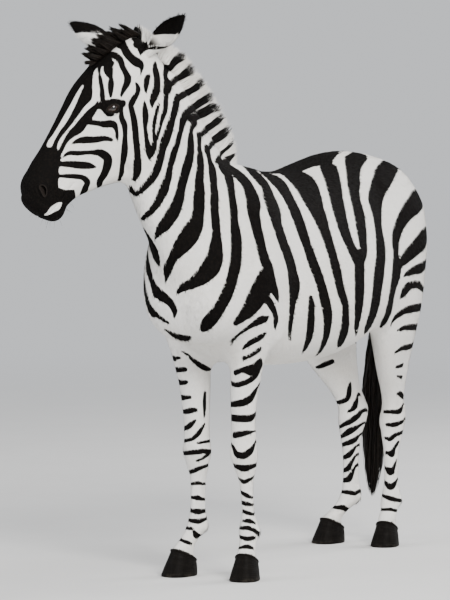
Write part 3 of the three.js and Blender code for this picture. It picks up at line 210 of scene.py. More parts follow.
# ------------------------------------------------------------- the stripes
# name, black (1) or a white gap (0), and its course with half widths, in mm;
# in the frame, for the head along it, outward and up from the nose line
STRIPES = {}
STRIPES['flank'] = [
    ('f1', 1, [(369, 98, 1292, 23), (321, 111, 1269, 30), (304, 130, 1248, 35), (309, 155, 1221, 28), (334, 184, 1184, 28), (368, 207, 1142, 23), (388, 227, 1093, 21), (392, 241, 1051, 22), (394, 255, 1006, 23), (383, 265, 966, 26), (397, 262, 930, 41), (421, 247, 885, 44), (444, 231, 849, 36), (477, 208, 812, 17)]),
    ('f1b', 1, [(380, 267, 960, 23), (361, 269, 920, 20), (328, 265, 889, 14), (301, 260, 864, 4)]),
    ('f1c', 1, [(373, 257, 873, 14), (338, 255, 850, 13), (307, 250, 823, 13), (293, 245, 802, 15), (285, 239, 779, 5)]),
    ('f2', 1, [(179, 93, 1273, 29), (198, 123, 1255, 37), (206, 149, 1230, 37), (219, 180, 1200, 32), (251, 212, 1163, 45), (278, 238, 1115, 38), (269, 253, 1060, 37), (244, 260, 1009, 36), (213, 259, 958, 38), (195, 261, 902, 33), (200, 258, 859, 22), (199, 251, 815, 14), (185, 238, 771, 10), (146, 218, 727, 3)]),
    ('f3', 1, [(96, 131, 1244, 57), (102, 166, 1213, 41), (107, 196, 1175, 32), (109, 219, 1134, 32), (111, 241, 1085, 28), (106, 258, 1034, 23), (94, 274, 978, 25), (73, 285, 922, 24), (49, 291, 865, 24), (21, 287, 813, 23), (-8, 272, 761, 19), (-44, 240, 710, 14), (-98, 188, 670, 6)]),
    ('f4', 1, [(-80, 122, 1243, 73), (-43, 177, 1207, 65), (-18, 214, 1164, 52), (-12, 242, 1120, 41), (-8, 267, 1063, 30), (-12, 286, 1006, 26), (-22, 297, 949, 26), (-34, 304, 892, 22), (-66, 305, 841, 18), (-90, 295, 789, 20), (-128, 268, 736, 24), (-173, 233, 697, 11)]),
    ('f5', 1, [(-327, 106, 1281, 33), (-241, 167, 1234, 35), (-182, 212, 1185, 34), (-140, 248, 1128, 37), (-122, 278, 1065, 32), (-136, 297, 1009, 28), (-160, 307, 970, 32), (-152, 314, 920, 32), (-150, 315, 863, 31), (-160, 308, 811, 24), (-183, 290, 765, 14), (-222, 268, 733, 6)]),
    ('f6', 1, [(-580, 92, 1314, 34), (-515, 128, 1298, 32), (-440, 148, 1279, 30), (-354, 190, 1232, 29), (-286, 229, 1176, 28), (-257, 260, 1120, 32), (-224, 286, 1057, 30), (-207, 301, 1007, 24), (-172, 308, 970, 20)]),
    ('r1', 1, [(-639, 190, 1273, 30), (-512, 222, 1230, 36), (-441, 236, 1186, 33), (-390, 257, 1142, 40), (-364, 278, 1090, 30), (-344, 296, 1034, 34), (-323, 308, 983, 35), (-294, 315, 933, 36), (-274, 319, 883, 37), (-271, 313, 831, 38), (-278, 295, 778, 35), (-318, 257, 733, 10)]),
    ('r2', 1, [(-642, 280, 1146, 36), (-570, 285, 1118, 30), (-502, 288, 1074, 24), (-465, 296, 1030, 24), (-446, 304, 979, 24), (-444, 308, 933, 42), (-420, 308, 882, 38), (-420, 298, 836, 36), (-457, 266, 787, 22), (-490, 224, 740, 3)]),
    ('r3', 1, [(-640, 300, 1014, 33), (-566, 302, 987, 27), (-498, 302, 960, 20), (-457, 306, 939, 14)]),
    ('r4', 1, [(-641, 296, 930, 19), (-560, 301, 922, 13), (-506, 302, 911, 5)]),
    ('r5', 1, [(-508, 288, 839, 5), (-531, 293, 859, 22), (-572, 296, 875, 16), (-636, 291, 876, 14), (-719, 270, 858, 11)]),
    ('r6', 1, [(-511, 247, 749, 3), (-521, 266, 775, 12), (-565, 278, 793, 14), (-632, 278, 798, 14)]),
    ('r7', 1, [(-557, 254, 727, 7), (-587, 264, 736, 10), (-645, 262, 734, 11)]),
    ('r8', 1, [(-589, 232, 655, 5), (-616, 242, 665, 10), (-667, 242, 666, 11), (-731, 229, 670, 11)]),
    ('r9', 1, [(-630, 218, 604, 6), (-666, 223, 605, 9)]),
    ('r10', 1, [(-655, 206, 571, 3), (-691, 208, 563, 7)]),
    ('dorsal', 1, [(193, 90, 1276, 10), (-390, 71, 1299, 46), (-449, 89, 1305, 34)]),
    ('saddle', 1, [(-214, 78, 1273, 14), (-258, 92, 1270, 14), (-290, 96, 1271, 12)]),
    ('notch', 0, [(-340, 132, 1276, 9), (-399, 114, 1294, 10), (-468, 100, 1307, 12), (-520, 92, 1312, 9), (-563, 84, 1313, 4)]),
    ('f3b', 1, [(120, 275, 871, 7), (112, 276, 852, 15), (105, 272, 817, 18), (90, 262, 779, 17), (67, 245, 739, 17), (43, 220, 705, 11), (21, 199, 684, 4)]),
]
STRIPES['neck'] = [
    ('n1', 1, [(544, -3, 1583, 12), (576, 12, 1558, 10), (584, 25, 1528, 17), (601, 26, 1504, 13), (606, 28, 1480, 12), (612, 28, 1456, 11), (626, 25, 1425, 7), (634, 23, 1396, 6), (643, 18, 1371, 8)]),
    ('n2', 1, [(553, 41, 1495, 12), (567, 42, 1474, 14), (578, 43, 1450, 13), (591, 42, 1425, 13), (605, 39, 1395, 15), (618, 35, 1365, 16), (629, 31, 1335, 14), (638, 26, 1305, 13), (648, 19, 1274, 13), (659, 6, 1245, 12), (666, -10, 1225, 11), (666, -35, 1206, 9), (662, -60, 1218, 15)]),
    ('n3', 1, [(504, 56, 1458, 12), (540, 58, 1434, 15), (565, 57, 1395, 10), (579, 56, 1365, 10), (591, 53, 1335, 11), (603, 50, 1305, 12), (614, 47, 1274, 12), (624, 42, 1244, 14), (634, 36, 1214, 16), (644, 25, 1185, 13), (651, 5, 1154, 11), (641, -22, 1131, 7)]),
    ('n4', 1, [(491, 66, 1422, 16), (519, 69, 1395, 10), (528, 73, 1364, 15), (537, 75, 1334, 17), (549, 75, 1303, 17), (563, 75, 1273, 17), (576, 74, 1244, 16), (589, 72, 1213, 17), (601, 68, 1183, 19), (613, 60, 1153, 21), (625, 46, 1123, 20), (630, 23, 1094, 14), (623, 10, 1075, 5)]),
    ('n5', 1, [(482, 77, 1376, 14), (492, 83, 1345, 11), (498, 89, 1315, 16), (507, 93, 1285, 17), (522, 97, 1242, 18), (529, 103, 1200, 21), (542, 108, 1152, 22), (557, 108, 1115, 25), (577, 95, 1080, 31), (594, 74, 1043, 26), (596, 49, 1010, 15), (583, 24, 969, 15), (574, 14, 938, 5)]),
    ('n6', 1, [(452, 90, 1333, 19), (452, 98, 1302, 14), (451, 106, 1272, 22), (459, 113, 1241, 20), (471, 123, 1199, 19), (486, 131, 1163, 16), (501, 142, 1120, 15), (517, 154, 1073, 16), (531, 159, 1031, 23), (542, 156, 991, 29), (558, 134, 955, 26), (569, 101, 930, 18), (570, 64, 914, 12), (569, 49, 900, 6)]),
    ('n7', 1, [(382, 102, 1289, 30), (368, 111, 1264, 27), (379, 127, 1234, 20), (401, 147, 1198, 15), (419, 161, 1161, 15), (443, 177, 1119, 15), (465, 195, 1072, 19), (482, 205, 1030, 20), (495, 208, 988, 20), (513, 206, 940, 19), (530, 194, 892, 20), (541, 170, 843, 20), (539, 135, 806, 21), (528, 114, 787, 11)]),
    ('throat', 1, [(627, -33, 1086, 13), (616, -25, 1062, 22), (592, -16, 1026, 30), (584, -6, 996, 13)]),
    ('chest1', 1, [(536, -70, 990, 11), (536, -72, 959, 26), (546, -60, 929, 28), (561, -35, 906, 21), (567, -4, 887, 17), (564, 22, 864, 13), (557, 30, 843, 10), (550, 27, 824, 4)]),
    ('chest2', 1, [(523, -91, 878, 5), (550, -53, 844, 11), (548, -25, 820, 9), (542, 1, 804, 5)]),
    ('chest3', 1, [(523, -22, 784, 4), (512, -4, 770, 13), (500, 18, 758, 20), (499, 34, 757, 17), (505, 54, 763, 6)]),
    ('chest4', 1, [(346, -57, 708, 4), (337, -42, 693, 7), (324, -32, 678, 8), (305, -21, 662, 9), (283, -11, 648, 9), (263, -8, 644, 6), (238, -11, 641, 3)]),
    ('ear_root', 1, [(635, -67, 1677, 8), (641, -57, 1668, 11), (634, -46, 1661, 13), (624, -38, 1654, 13)]),
    ('ear_band', 1, [(651, -47, 1655, 12), (643, -41, 1652, 16), (621, -32, 1649, 13), (590, -28, 1646, 9), (569, -12, 1641, 7), (552, 8, 1639, 4)]),
    ('link0', 1, [(548, 0, 1574, 7), (531, -4, 1581, 9), (529, 1, 1588, 10), (526, 6, 1594, 11), (519, 8, 1600, 12)]),
    ('link1', 1, [(584, 24, 1527, 9), (574, 26, 1532, 9), (561, 25, 1537, 10), (551, 26, 1542, 10), (538, 25, 1547, 10), (514, 19, 1551, 10), (507, 23, 1556, 10), (502, 27, 1560, 10)]),
    ('link2', 1, [(557, 39, 1490, 11), (544, 40, 1494, 11), (533, 42, 1498, 11), (516, 40, 1502, 11), (495, 36, 1506, 11), (478, 34, 1510, 11), (476, 41, 1513, 11)]),
    ('link3', 1, [(541, 53, 1441, 11), (531, 55, 1446, 11), (517, 54, 1451, 12), (504, 54, 1456, 12), (490, 54, 1460, 12), (466, 48, 1465, 12), (449, 46, 1469, 12), (443, 51, 1473, 13)]),
    ('link4', 1, [(515, 59, 1432, 15), (501, 61, 1434, 15), (483, 60, 1436, 15), (461, 57, 1438, 15), (433, 50, 1442, 15), (426, 55, 1445, 15), (416, 57, 1449, 15)]),
    ('link5', 1, [(475, 75, 1378, 9), (462, 74, 1383, 10), (445, 72, 1389, 10), (421, 66, 1393, 11), (397, 60, 1398, 11), (386, 61, 1403, 11)]),
    ('link6', 1, [(446, 87, 1336, 9), (430, 84, 1342, 10), (410, 79, 1349, 10), (379, 68, 1355, 11), (366, 68, 1361, 13), (348, 65, 1367, 15)]),
    ('link7', 1, [(419, 97, 1297, 6), (402, 94, 1303, 6), (382, 89, 1309, 6), (351, 79, 1314, 6), (320, 69, 1320, 7), (304, 66, 1326, 7)]),
    ('link8', 1, [(378, 98, 1287, 10), (350, 90, 1291, 11), (322, 83, 1295, 11), (272, 64, 1300, 11)]),
]
STRIPES['leg'] = [
    ('fl', 1, [(393, 132, 719, 2), (420, 159, 747, 8), (422, 191, 771, 10), (407, 215, 792, 12), (383, 232, 807, 17), (350, 243, 814, 11)]),
    ('fl', 1, [(383, 166, 711, 3), (380, 189, 732, 9), (364, 211, 749, 12), (338, 228, 765, 10)]),
    ('fl', 1, [(372, 160, 686, 6), (362, 189, 698, 8), (336, 211, 718, 10)]),
    ('fl', 1, [(359, 135, 645, 9), (363, 165, 656, 9), (340, 188, 655, 20), (318, 202, 678, 14)]),
    ('fl', 1, [(309, 199, 665, 17), (326, 191, 634, 12), (348, 174, 617, 10), (358, 144, 607, 9), (347, 114, 612, 8)]),
    ('hr', 1, [(-590, -58, 594, 7), (-598, -36, 603, 10), (-621, -15, 612, 9)]),
]
STRIPES['head'] = [
    ('nose_inner', 1, [(165, 11, -2, 25), (212, 50, -8, 17), (235, 60, -16, 22), (262, 56, -18, 18), (290, 51, -20, 13), (318, 47, -21, 11), (347, 41, -21, 9), (377, 36, -21, 8), (405, 34, -22, 7), (427, 37, -27, 9)]),
    ('eye_muzzle', 1, [(248, 85, -51, 9), (280, 73, -52, 14), (309, 65, -52, 15), (334, 59, -52, 16), (362, 51, -44, 12), (388, 47, -42, 8), (415, 46, -45, 8), (437, 44, -45, 9)]),
    ('eye_patch', 1, [(259, 78, -46, 8), (242, 96, -68, 15), (222, 101, -95, 20), (203, 100, -116, 12)]),
    ('eye_patch_low', 1, [(250, 93, -76, 9), (248, 94, -94, 14), (225, 71, -112, 9)]),
    ('cheek0', 1, [(320, 60, -46, 9), (300, 73, -73, 8), (285, 83, -105, 11), (269, 90, -130, 11), (278, 90, -147, 6), (296, 87, -164, 6), (311, 84, -179, 2)]),
    ('cheek1', 1, [(396, 51, -58, 2), (373, 56, -67, 7), (356, 63, -84, 11), (335, 71, -113, 10), (315, 79, -136, 8), (309, 83, -154, 6)]),
    ('cheek2', 1, [(438, 49, -59, 3), (416, 52, -67, 7), (398, 58, -92, 8), (376, 63, -122, 7), (358, 68, -155, 13), (360, 67, -181, 14), (374, 61, -193, 15), (390, 56, -200, 14), (405, 50, -204, 14), (422, 43, -207, 13), (434, 21, -224, 8)]),
    ('cheek3', 1, [(460, 50, -58, 8), (443, 54, -84, 10), (424, 56, -118, 12), (408, 58, -147, 10), (401, 58, -164, 4)]),
    ('cheek4', 1, [(495, 54, -70, 6), (477, 54, -98, 7), (461, 53, -124, 8), (449, 52, -153, 9), (452, 45, -174, 11), (465, 38, -180, 12), (477, 24, -188, 15)]),
    ('brow1', 1, [(122, 28, -12, 11), (155, 53, -17, 5), (175, 68, -25, 7), (192, 81, -32, 8), (210, 90, -43, 8), (230, 95, -56, 8)]),
    ('brow2', 1, [(95, 27, -19, 16), (117, 54, -26, 15), (140, 69, -35, 14), (154, 81, -46, 9), (171, 91, -53, 10), (191, 98, -60, 9), (207, 101, -69, 5)]),
    ('brow3', 1, [(80, 44, -31, 11), (87, 65, -48, 10), (104, 77, -62, 10), (115, 83, -78, 10), (126, 87, -93, 13), (144, 90, -98, 11), (161, 95, -97, 9), (184, 99, -98, 5)]),
    ('brow4', 1, [(15, -3, -44, 12), (40, 40, -47, 12), (54, 59, -58, 13), (62, 68, -74, 14), (65, 72, -93, 16), (62, 71, -112, 14), (73, 75, -122, 7), (92, 80, -126, 2)]),
    ('top_band', 1, [(120, 15, -10, 24), (114, 58, -30, 13)]),
    ('jaw1', 1, [(124, 87, -122, 4), (130, 88, -136, 9), (146, 92, -142, 8), (169, 96, -141, 10), (190, 98, -142, 10), (206, 99, -157, 10), (223, 100, -175, 11), (245, 99, -196, 11), (272, 94, -221, 11), (298, 88, -248, 11), (327, 83, -269, 13), (346, 77, -283, 12), (361, 68, -289, 8)]),
    ('jaw0', 1, [(205, 99, -115, 7), (223, 97, -126, 7), (240, 96, -139, 9), (252, 96, -158, 10), (275, 93, -178, 8), (311, 84, -206, 11), (340, 72, -227, 10), (363, 55, -247, 9), (382, 36, -263, 8)]),
    ('ear0', 1, [(66, 70, -157, 2), (88, 78, -153, 10), (104, 84, -156, 10), (119, 88, -161, 7), (133, 92, -168, 2)]),
    ('ear1', 1, [(27, 52, -162, 8), (43, 58, -171, 14), (65, 70, -183, 13), (88, 81, -191, 13), (115, 90, -194, 13), (139, 95, -197, 11), (157, 97, -208, 3)]),
    ('v1', 1, [(152, 97, -172, 2), (172, 99, -186, 9), (191, 101, -201, 12), (217, 101, -216, 8), (244, 98, -241, 8), (267, 96, -266, 10), (296, 96, -288, 2)]),
    ('v2', 1, [(122, 91, -217, 2), (146, 94, -224, 6), (171, 97, -230, 7), (194, 99, -239, 8), (215, 98, -251, 6), (233, 98, -268, 9), (262, 98, -280, 11), (287, 97, -285, 5)]),
    ('line1', 0, [(219, 36, 0, 5), (243, 37, -1, 7), (274, 37, -4, 8), (305, 35, -8, 8), (339, 31, -10, 8), (374, 26, -11, 6), (413, 22, -10, 10)]),
    ('line2', 0, [(167, 53, -16, 2), (196, 67, -21, 10), (218, 79, -31, 11), (242, 80, -39, 9), (274, 67, -35, 7), (303, 58, -35, 5), (333, 51, -33, 4), (367, 43, -30, 3), (402, 40, -32, 5), (421, 42, -36, 4)]),
    # the pale mark along the lips is a painted highlight: a white gap cut into the black muzzle, in place of light on
    # the lips
    ('lip', 0, [(604, 34, -115, 5), (584, 44, -120, 10), (564, 45, -130, 11), (552, 45, -134, 4)]),
]
STRIPES['mane'] = [
    ('bar0', 1, [(526, 6, 1594, 12), (519, 8, 1600, 13), (513, 12, 1605, 14), (505, 15, 1611, 15), (498, 18, 1615, 15), (488, 21, 1620, 17), (474, 26, 1625, 17)]),
    ('bar1', 1, [(507, 23, 1556, 10), (502, 27, 1560, 10), (495, 31, 1564, 12), (489, 34, 1569, 13), (481, 38, 1573, 14), (473, 41, 1576, 15), (465, 44, 1580, 17), (451, 48, 1587, 17)]),
    ('bar2', 1, [(478, 34, 1510, 12), (476, 41, 1513, 12), (469, 44, 1518, 12), (461, 48, 1522, 13), (453, 51, 1526, 14), (445, 54, 1532, 14), (437, 57, 1535, 14), (423, 61, 1542, 14)]),
    ('bar3', 1, [(449, 46, 1469, 13), (443, 51, 1473, 14), (436, 54, 1478, 14), (426, 57, 1481, 14), (418, 60, 1485, 15), (409, 62, 1490, 15), (398, 65, 1493, 15), (386, 67, 1496, 15), (370, 69, 1498, 15)]),
    ('bar4', 1, [(426, 55, 1445, 15), (416, 57, 1449, 15), (406, 60, 1452, 15), (395, 64, 1456, 15), (384, 66, 1460, 14), (372, 68, 1461, 14), (356, 72, 1461, 14)]),
    ('bar5', 1, [(397, 60, 1398, 12), (386, 61, 1403, 12), (377, 63, 1407, 12), (369, 66, 1412, 13), (361, 68, 1418, 13), (351, 69, 1422, 13), (337, 73, 1429, 13)]),
    ('bar6', 1, [(366, 68, 1361, 14), (348, 65, 1367, 15), (340, 67, 1373, 18), (327, 69, 1377, 17), (315, 70, 1382, 17), (302, 71, 1386, 15), (287, 73, 1391, 15)]),
    ('bar7', 1, [(320, 69, 1320, 8), (304, 66, 1326, 8), (292, 67, 1332, 8), (283, 68, 1337, 9), (271, 69, 1343, 9), (259, 69, 1349, 9), (245, 69, 1356, 9)]),
    ('bar8', 1, [(322, 83, 1295, 12), (272, 64, 1300, 12), (258, 64, 1305, 11), (245, 65, 1310, 9), (228, 64, 1314, 6), (212, 64, 1318, 6)]),
]
# bands of the lower legs: leg, then height (mm), place across the leg as seen from its
# left front (-100 to 100) and half width (mm)
BANDS = [
    ('fl', [(544, -91, 6.8), (551, -19, 10.2), (565, 43, 11.2), (599, 92, 6.2)]),
    ('fl', [(503, -94, 8.7), (502, -16, 9.9), (502, 54, 10.5), (514, 98, 5.6)]),
    ('fl', [(450, -72, 9.6), (456, 4, 8.1), (460, 80, 1.2)]),
    ('fl', [(418, -88, 3.1), (389, -59, 8.7), (386, -4, 10.2), (396, 39, 9.3), (427, 94, 3.1)]),
    ('fl', [(354, -90, 5.9), (345, -11, 10.9), (354, 81, 5.6)]),
    ('fl', [(312, -83, 3.1), (302, -34, 6.2), (315, 78, 3.1)]),
    ('fl', [(271, -92, 4.3), (263, -7, 5.6), (254, 76, 2.5)]),
    ('fl', [(239, -86, 4.7), (237, -10, 6.2), (231, 80, 1.9)]),
    ('fl', [(213, -71, 4.0), (208, 0, 5.2), (202, 74, 3.2)]),
    ('fl', [(182, -64, 2.8), (184, 8, 6.2), (174, 72, 2.8)]),
    ('fl', [(159, -83, 3.8), (162, -8, 5.6), (153, 51, 5.6), (141, 91, 6.2)]),
    ('fl', [(132, -77, 3.8), (128, -7, 6.4), (132, 64, 3.8)]),
    ('fl', [(101, -90, 2.8), (108, -4, 7.2), (101, 68, 3.0)]),
    ('fr', [(688, -98, 8.5), (680, -82, 10.0), (685, -58, 3.0)]),
    ('fr', [(643, -98, 8.5), (646, -52, 6.5)]),
    ('fr', [(604, -97, 9.0), (606, -52, 5.5)]),
    ('fr', [(556, -95, 7.5), (560, -40, 5.0)]),
    ('fr', [(513, -89, 5.6), (519, -40, 7.8), (521, -5, 4.4)]),
    ('fr', [(461, -89, 5.6), (472, -49, 7.8), (488, -12, 2.5)]),
    ('fr', [(571, 76, 5.0), (544, 70, 7.5), (519, 72, 6.3), (497, 67, 2.2)]),
    ('fr', [(422, -89, 4.4), (429, -35, 5.0), (447, 15, 6.3), (475, 68, 2.5)]),
    ('fr', [(417, 3, 2.8), (420, 83, 3.1)]),
    ('fr', [(382, -90, 5.6), (386, -27, 6.9), (392, 31, 6.9), (387, 91, 5.6)]),
    ('fr', [(381, 87, 5.6), (370, 49, 4.7), (360, -4, 2.5)]),
    ('fr', [(322, -85, 5.0), (332, -12, 6.6), (343, 86, 4.4)]),
    ('fr', [(284, -82, 3.1), (289, 2, 5.0), (283, 91, 2.5)]),
    ('fr', [(243, -80, 3.1), (243, 5, 6.9), (235, 97, 3.1)]),
    ('fr', [(202, -81, 4.4), (199, 9, 8.8), (198, 95, 4.7)]),
    ('fr', [(171, -91, 3.1), (167, 10, 7.8), (174, 92, 3.1)]),
    ('fr', [(146, -92, 3.8), (146, -42, 3.8)]),
    ('fr', [(138, -17, 3.1), (124, 46, 9.4), (121, 94, 4.4)]),
    ('fr', [(112, -73, 4.1), (106, -2, 5.3), (99, 65, 3.1)]),
    ('hl', [(511, -24, 2.7), (508, 32, 8.7), (495, 83, 7.4)]),
    ('hl', [(445, -48, 4.0), (446, 17, 8.0), (454, 57, 7.4), (467, 87, 4.0)]),
    ('hl', [(402, -46, 3.4), (401, 2, 7.4), (417, 87, 3.4)]),
    ('hl', [(357, -65, 3.3), (353, -16, 6.4), (370, 30, 5.4), (375, 100, 5.4)]),
    ('hl', [(307, -68, 4.0), (306, -27, 6.0), (301, 2, 9.4), (321, 27, 4.0), (342, 70, 5.4)]),
    ('hl', [(256, -85, 3.4), (243, -11, 13.1), (247, 10, 6.0), (283, 70, 3.0)]),
    ('hl', [(210, -100, 4.0), (192, -19, 10.1), (196, 24, 7.7), (213, 80, 4.0)]),
    ('hl', [(163, -90, 3.4), (155, -7, 7.7), (146, 93, 4.0)]),
    ('hl', [(118, -93, 3.3), (122, 3, 5.7), (115, 82, 3.3)]),
    ('hr', [(471, -78, 6.7), (492, -22, 8.7), (518, 29, 9.4), (537, 67, 3.4)]),
    ('hr', [(442, -46, 3.4), (459, 8, 9.1), (476, 56, 6.7), (495, 92, 4.7)]),
    ('hr', [(385, -96, 3.4), (409, -19, 8.4), (433, 41, 8.4), (442, 83, 4.7)]),
    ('hr', [(354, -90, 4.7), (375, -14, 10.8), (397, 79, 3.4)]),
    ('hr', [(325, -97, 4.7), (336, -16, 8.1), (346, 50, 8.7), (362, 89, 3.4)]),
    ('hr', [(283, -95, 5.4), (294, -19, 8.8), (310, 38, 5.7), (325, 82, 3.4)]),
    ('hr', [(240, -93, 5.4), (247, -35, 7.4), (269, 11, 5.0), (293, 83, 3.4)]),
    ('hr', [(206, -100, 5.4), (211, -21, 9.8), (232, 23, 6.4), (259, 86, 3.4)]),
    ('hr', [(169, -100, 3.4), (167, -17, 7.1), (162, 41, 5.1), (170, 82, 4.7)]),
    ('hr', [(118, -86, 5.4), (119, -1, 8.4), (107, 100, 6.7)]),
]

# ------------------------------------------------------------------- helpers
rad = math.radians
SHIFT = np.array([ORIGIN[0], ORIGIN[1], 0.0])   # from the tables to the frame


def unit(v):
    v = np.asarray(v, float)
    return v / np.maximum(np.linalg.norm(v, axis=-1, keepdims=True), 1e-12)


def smoothstep(a, b, x):
    t = np.clip((np.asarray(x, float) - a) / (b - a), 0, 1)
    return t * t * (3 - 2 * t)


def curve_table(xs, ys, n=128):
    xs, ys = np.asarray(xs, float), np.asarray(ys, float)
    d = np.diff(ys) / np.diff(xs)
    m = np.empty_like(ys)
    m[0], m[-1] = d[0], d[-1]
    if len(xs) > 2:
        h = np.diff(xs)
        m[1:-1] = (h[1:] * d[:-1] + h[:-1] * d[1:]) / (h[1:] + h[:-1])
    t = np.linspace(xs[0], xs[-1], n)
    i = np.clip(np.searchsorted(xs, t, side="right") - 1, 0, len(xs) - 2)
    h = xs[i + 1] - xs[i]
    u = (t - xs[i]) / h
    return t, ((2 * u**3 - 3 * u**2 + 1) * ys[i] + (u**3 - 2 * u**2 + u) * h * m[i]
               + (-2 * u**3 + 3 * u**2) * ys[i + 1] + (u**3 - u**2) * h * m[i + 1])


def smooth_min(a, b, k):
    h = np.maximum(k - np.abs(a - b), 0) / k
    return np.minimum(a, b) - h * h * k * 0.25


def smooth_max(a, b, k):
    return -smooth_min(-a, -b, k)


def lattice(ix, iy, iz, seed):
    """repeatable pseudo-random value between -1 and 1 for each lattice point"""
    h = (ix.astype(np.int64) * 374761393 + iy.astype(np.int64) * 668265263
         + iz.astype(np.int64) * 2147483647 + seed * 1274126177) & 0xFFFFFFFF
    h = ((h ^ (h >> 13)) * 1103515245) & 0xFFFFFFFF
    h = ((h ^ (h >> 16)) * 668265263) & 0xFFFFFFFF
    return ((h ^ (h >> 15)) & 0xFFFFFF) / float(0xFFFFFF) * 2 - 1


def noise(P, size, seed=1):
    """smooth noise between -1 and 1 with grains of the given size"""
    q = P / size
    i = np.floor(q).astype(np.int64)
    f = q - i
    f = f * f * (3 - 2 * f)
    out = np.zeros(len(P))
    for a in (0, 1):
        for b in (0, 1):
            for c in (0, 1):
                w = ((f[:, 0] if a else 1 - f[:, 0]) * (f[:, 1] if b else 1 - f[:, 1])
                     * (f[:, 2] if c else 1 - f[:, 2]))
                out += w * lattice(i[:, 0] + a, i[:, 1] + b, i[:, 2] + c, seed)
    return out


# ------------------------------------------- rounded volumes with a soft join
class Limb:
    """a run of egg-shaped cross-sections along a straight axis"""

    def __init__(self, at, along, across, rows, cap0, cap1, join, up=None, twist=None):
        self.at = np.array(at, float)
        self.T = unit(along)
        B = np.array(across, float)
        self.B = unit(B - (B @ self.T) * self.T)
        self.N = np.array(up, float) if up is not None else np.cross(self.T, self.B)
        r = np.array(rows, float)
        self.s0, self.s1 = r[0, 0], r[-1, 0]
        cols = [r[:, 1], r[:, 5], r[:, 2], r[:, 3] - r[:, 5], r[:, 5] - r[:, 4], r[:, 6], r[:, 7]]
        self.tab = np.array([curve_table(r[:, 0], c)[1] for c in cols])
        self.cap0, self.cap1, self.join = cap0, cap1, join
        self.tw = None
        if twist:
            self.tw = curve_table([t[0] for t in twist], [rad(t[1]) for t in twist])[1]

    def values(self, s):
        x = (np.clip(s, self.s0, self.s1) - self.s0) / (self.s1 - self.s0) * 127
        i = np.minimum(x.astype(int), 126)
        f = x - i
        w = [t[i] * (1 - f) + t[i + 1] * f for t in self.tab]
        th = np.zeros_like(f) if self.tw is None else self.tw[i] * (1 - f) + self.tw[i + 1] * f
        return w, th

    def local(self, P):
        q = P - self.at
        return q @ self.T, q @ self.B, q @ self.N

    def distance(self, P):
        s, u, v = self.local(P)
        (u0, v0, a, top, low, n, egg), th = self.values(s)
        u, v = u - u0, v - v0
        if self.tw is not None:
            c, sn = np.cos(th), np.sin(th)
            u, v = u * c + v * sn, -u * sn + v * c
        b = np.where(v > 0, top, low)
        a = a * np.clip(1 - egg * v / b, 0.3, 1.7)
        aw = np.where(s < self.s0, self.s0 - s, np.where(s > self.s1, s - self.s1, 0.0))
        w = aw / np.where(s < self.s0, self.cap0, self.cap1)
        rho = np.maximum(((np.abs(u) / a)**n + (np.abs(v) / b)**n + w**n)**(1 / n), 1e-6)
        L = np.sqrt(u * u + v * v + aw * aw)
        return np.where(L > 1e-6, L * (1 - 1 / rho), -np.minimum(a, b))

    def ridge(self, s):
        """points in the middle of the upper side, with the side and upward directions"""
        s = np.atleast_1d(np.asarray(s, float))
        (u0, v0, a, top, low, n, egg), th = self.values(s)
        c, sn = np.cos(th)[:, None], np.sin(th)[:, None]
        side = self.B * c + self.N * sn
        up = self.N * c - self.B * sn
        p = self.at + self.T * s[:, None] + self.B * u0[:, None] + self.N * v0[:, None]
        return p + up * top[:, None], side, up

    def box(self):
        s = np.linspace(self.s0, self.s1, 128)
        r = np.maximum(np.maximum(self.tab[2] * 1.25, self.tab[3]), self.tab[4])
        e = max(self.cap0, self.cap1) + 0.05 + self.join
        c = self.at + self.T * s[:, None] + self.B * self.tab[0][:, None] + self.N * self.tab[1][:, None]
        return (c - r[:, None]).min(0) - e, (c + r[:, None]).max(0) + e


class Mound:
    """a muscle or bony mound: an ellipsoid"""

    def __init__(self, at, radii, join, along=(1, 0, 0), across=(0, 1, 0)):
        self.at = np.array(at, float)
        self.T = unit(along)
        B = np.array(across, float)
        self.B = unit(B - (B @ self.T) * self.T)
        self.N = np.cross(self.T, self.B)
        self.r = np.array(radii, float)
        self.join = join

    def distance(self, P):
        q = P - self.at
        v = np.stack([q @ self.T, q @ self.B, q @ self.N], -1) / self.r
        rho = np.maximum(np.sqrt((v * v).sum(-1)), 1e-6)
        L = np.sqrt((q * q).sum(-1))
        return np.where(L > 1e-6, L * (1 - 1 / rho), -self.r.min())

    def box(self):
        e = self.r.max() + 0.05 + self.join
        return self.at - e, self.at + e


# ------------------------------------------------------------ the body itself
yaw, pitch = rad(HEAD_YAW), rad(HEAD_PITCH)
HEAD_T = np.array([math.cos(yaw) * math.cos(pitch), math.sin(yaw) * math.cos(pitch), -math.sin(pitch)])
HEAD_B = np.array([-math.sin(yaw), math.cos(yaw), 0.0])
HEAD_N = np.cross(HEAD_T, HEAD_B)
POLL = np.array(HEAD_POLL)


def on_head(s, u, v):
    return POLL + HEAD_T * s + HEAD_B * u + HEAD_N * v


def in_head(s, u, v):
    return HEAD_T * s + HEAD_B * u + HEAD_N * v


def head_local(P):
    q = P - POLL
    return q @ HEAD_T, q @ HEAD_B, q @ HEAD_N


def lerp_table(rows, x, col):
    return np.interp(x, [r[0] for r in rows], [r[col] for r in rows])


def leg_frame(leg):
    y = rad(leg["toe"]) * leg["side"]
    out = np.array([-math.sin(y) * leg["side"], math.cos(y) * leg["side"], 0.0])
    return out, np.array([math.cos(y), math.sin(y), 0.0])


def leg_limb(leg):
    out, front = leg_frame(leg)
    rows = []
    for z, lateral, half, f, b, n in leg["rows"]:
        dn, db = lerp_table(leg["lean"], z, 1), lerp_table(leg["lean"], z, 2)
        rows.append([-z, lateral + db, half, f + dn, b + dn, (f + b) / 2 + dn, n, 0])
    return Limb([*leg["foot"], 0], (0, 0, -1), out, rows, 0.08, 0.01, 0.06, up=front)


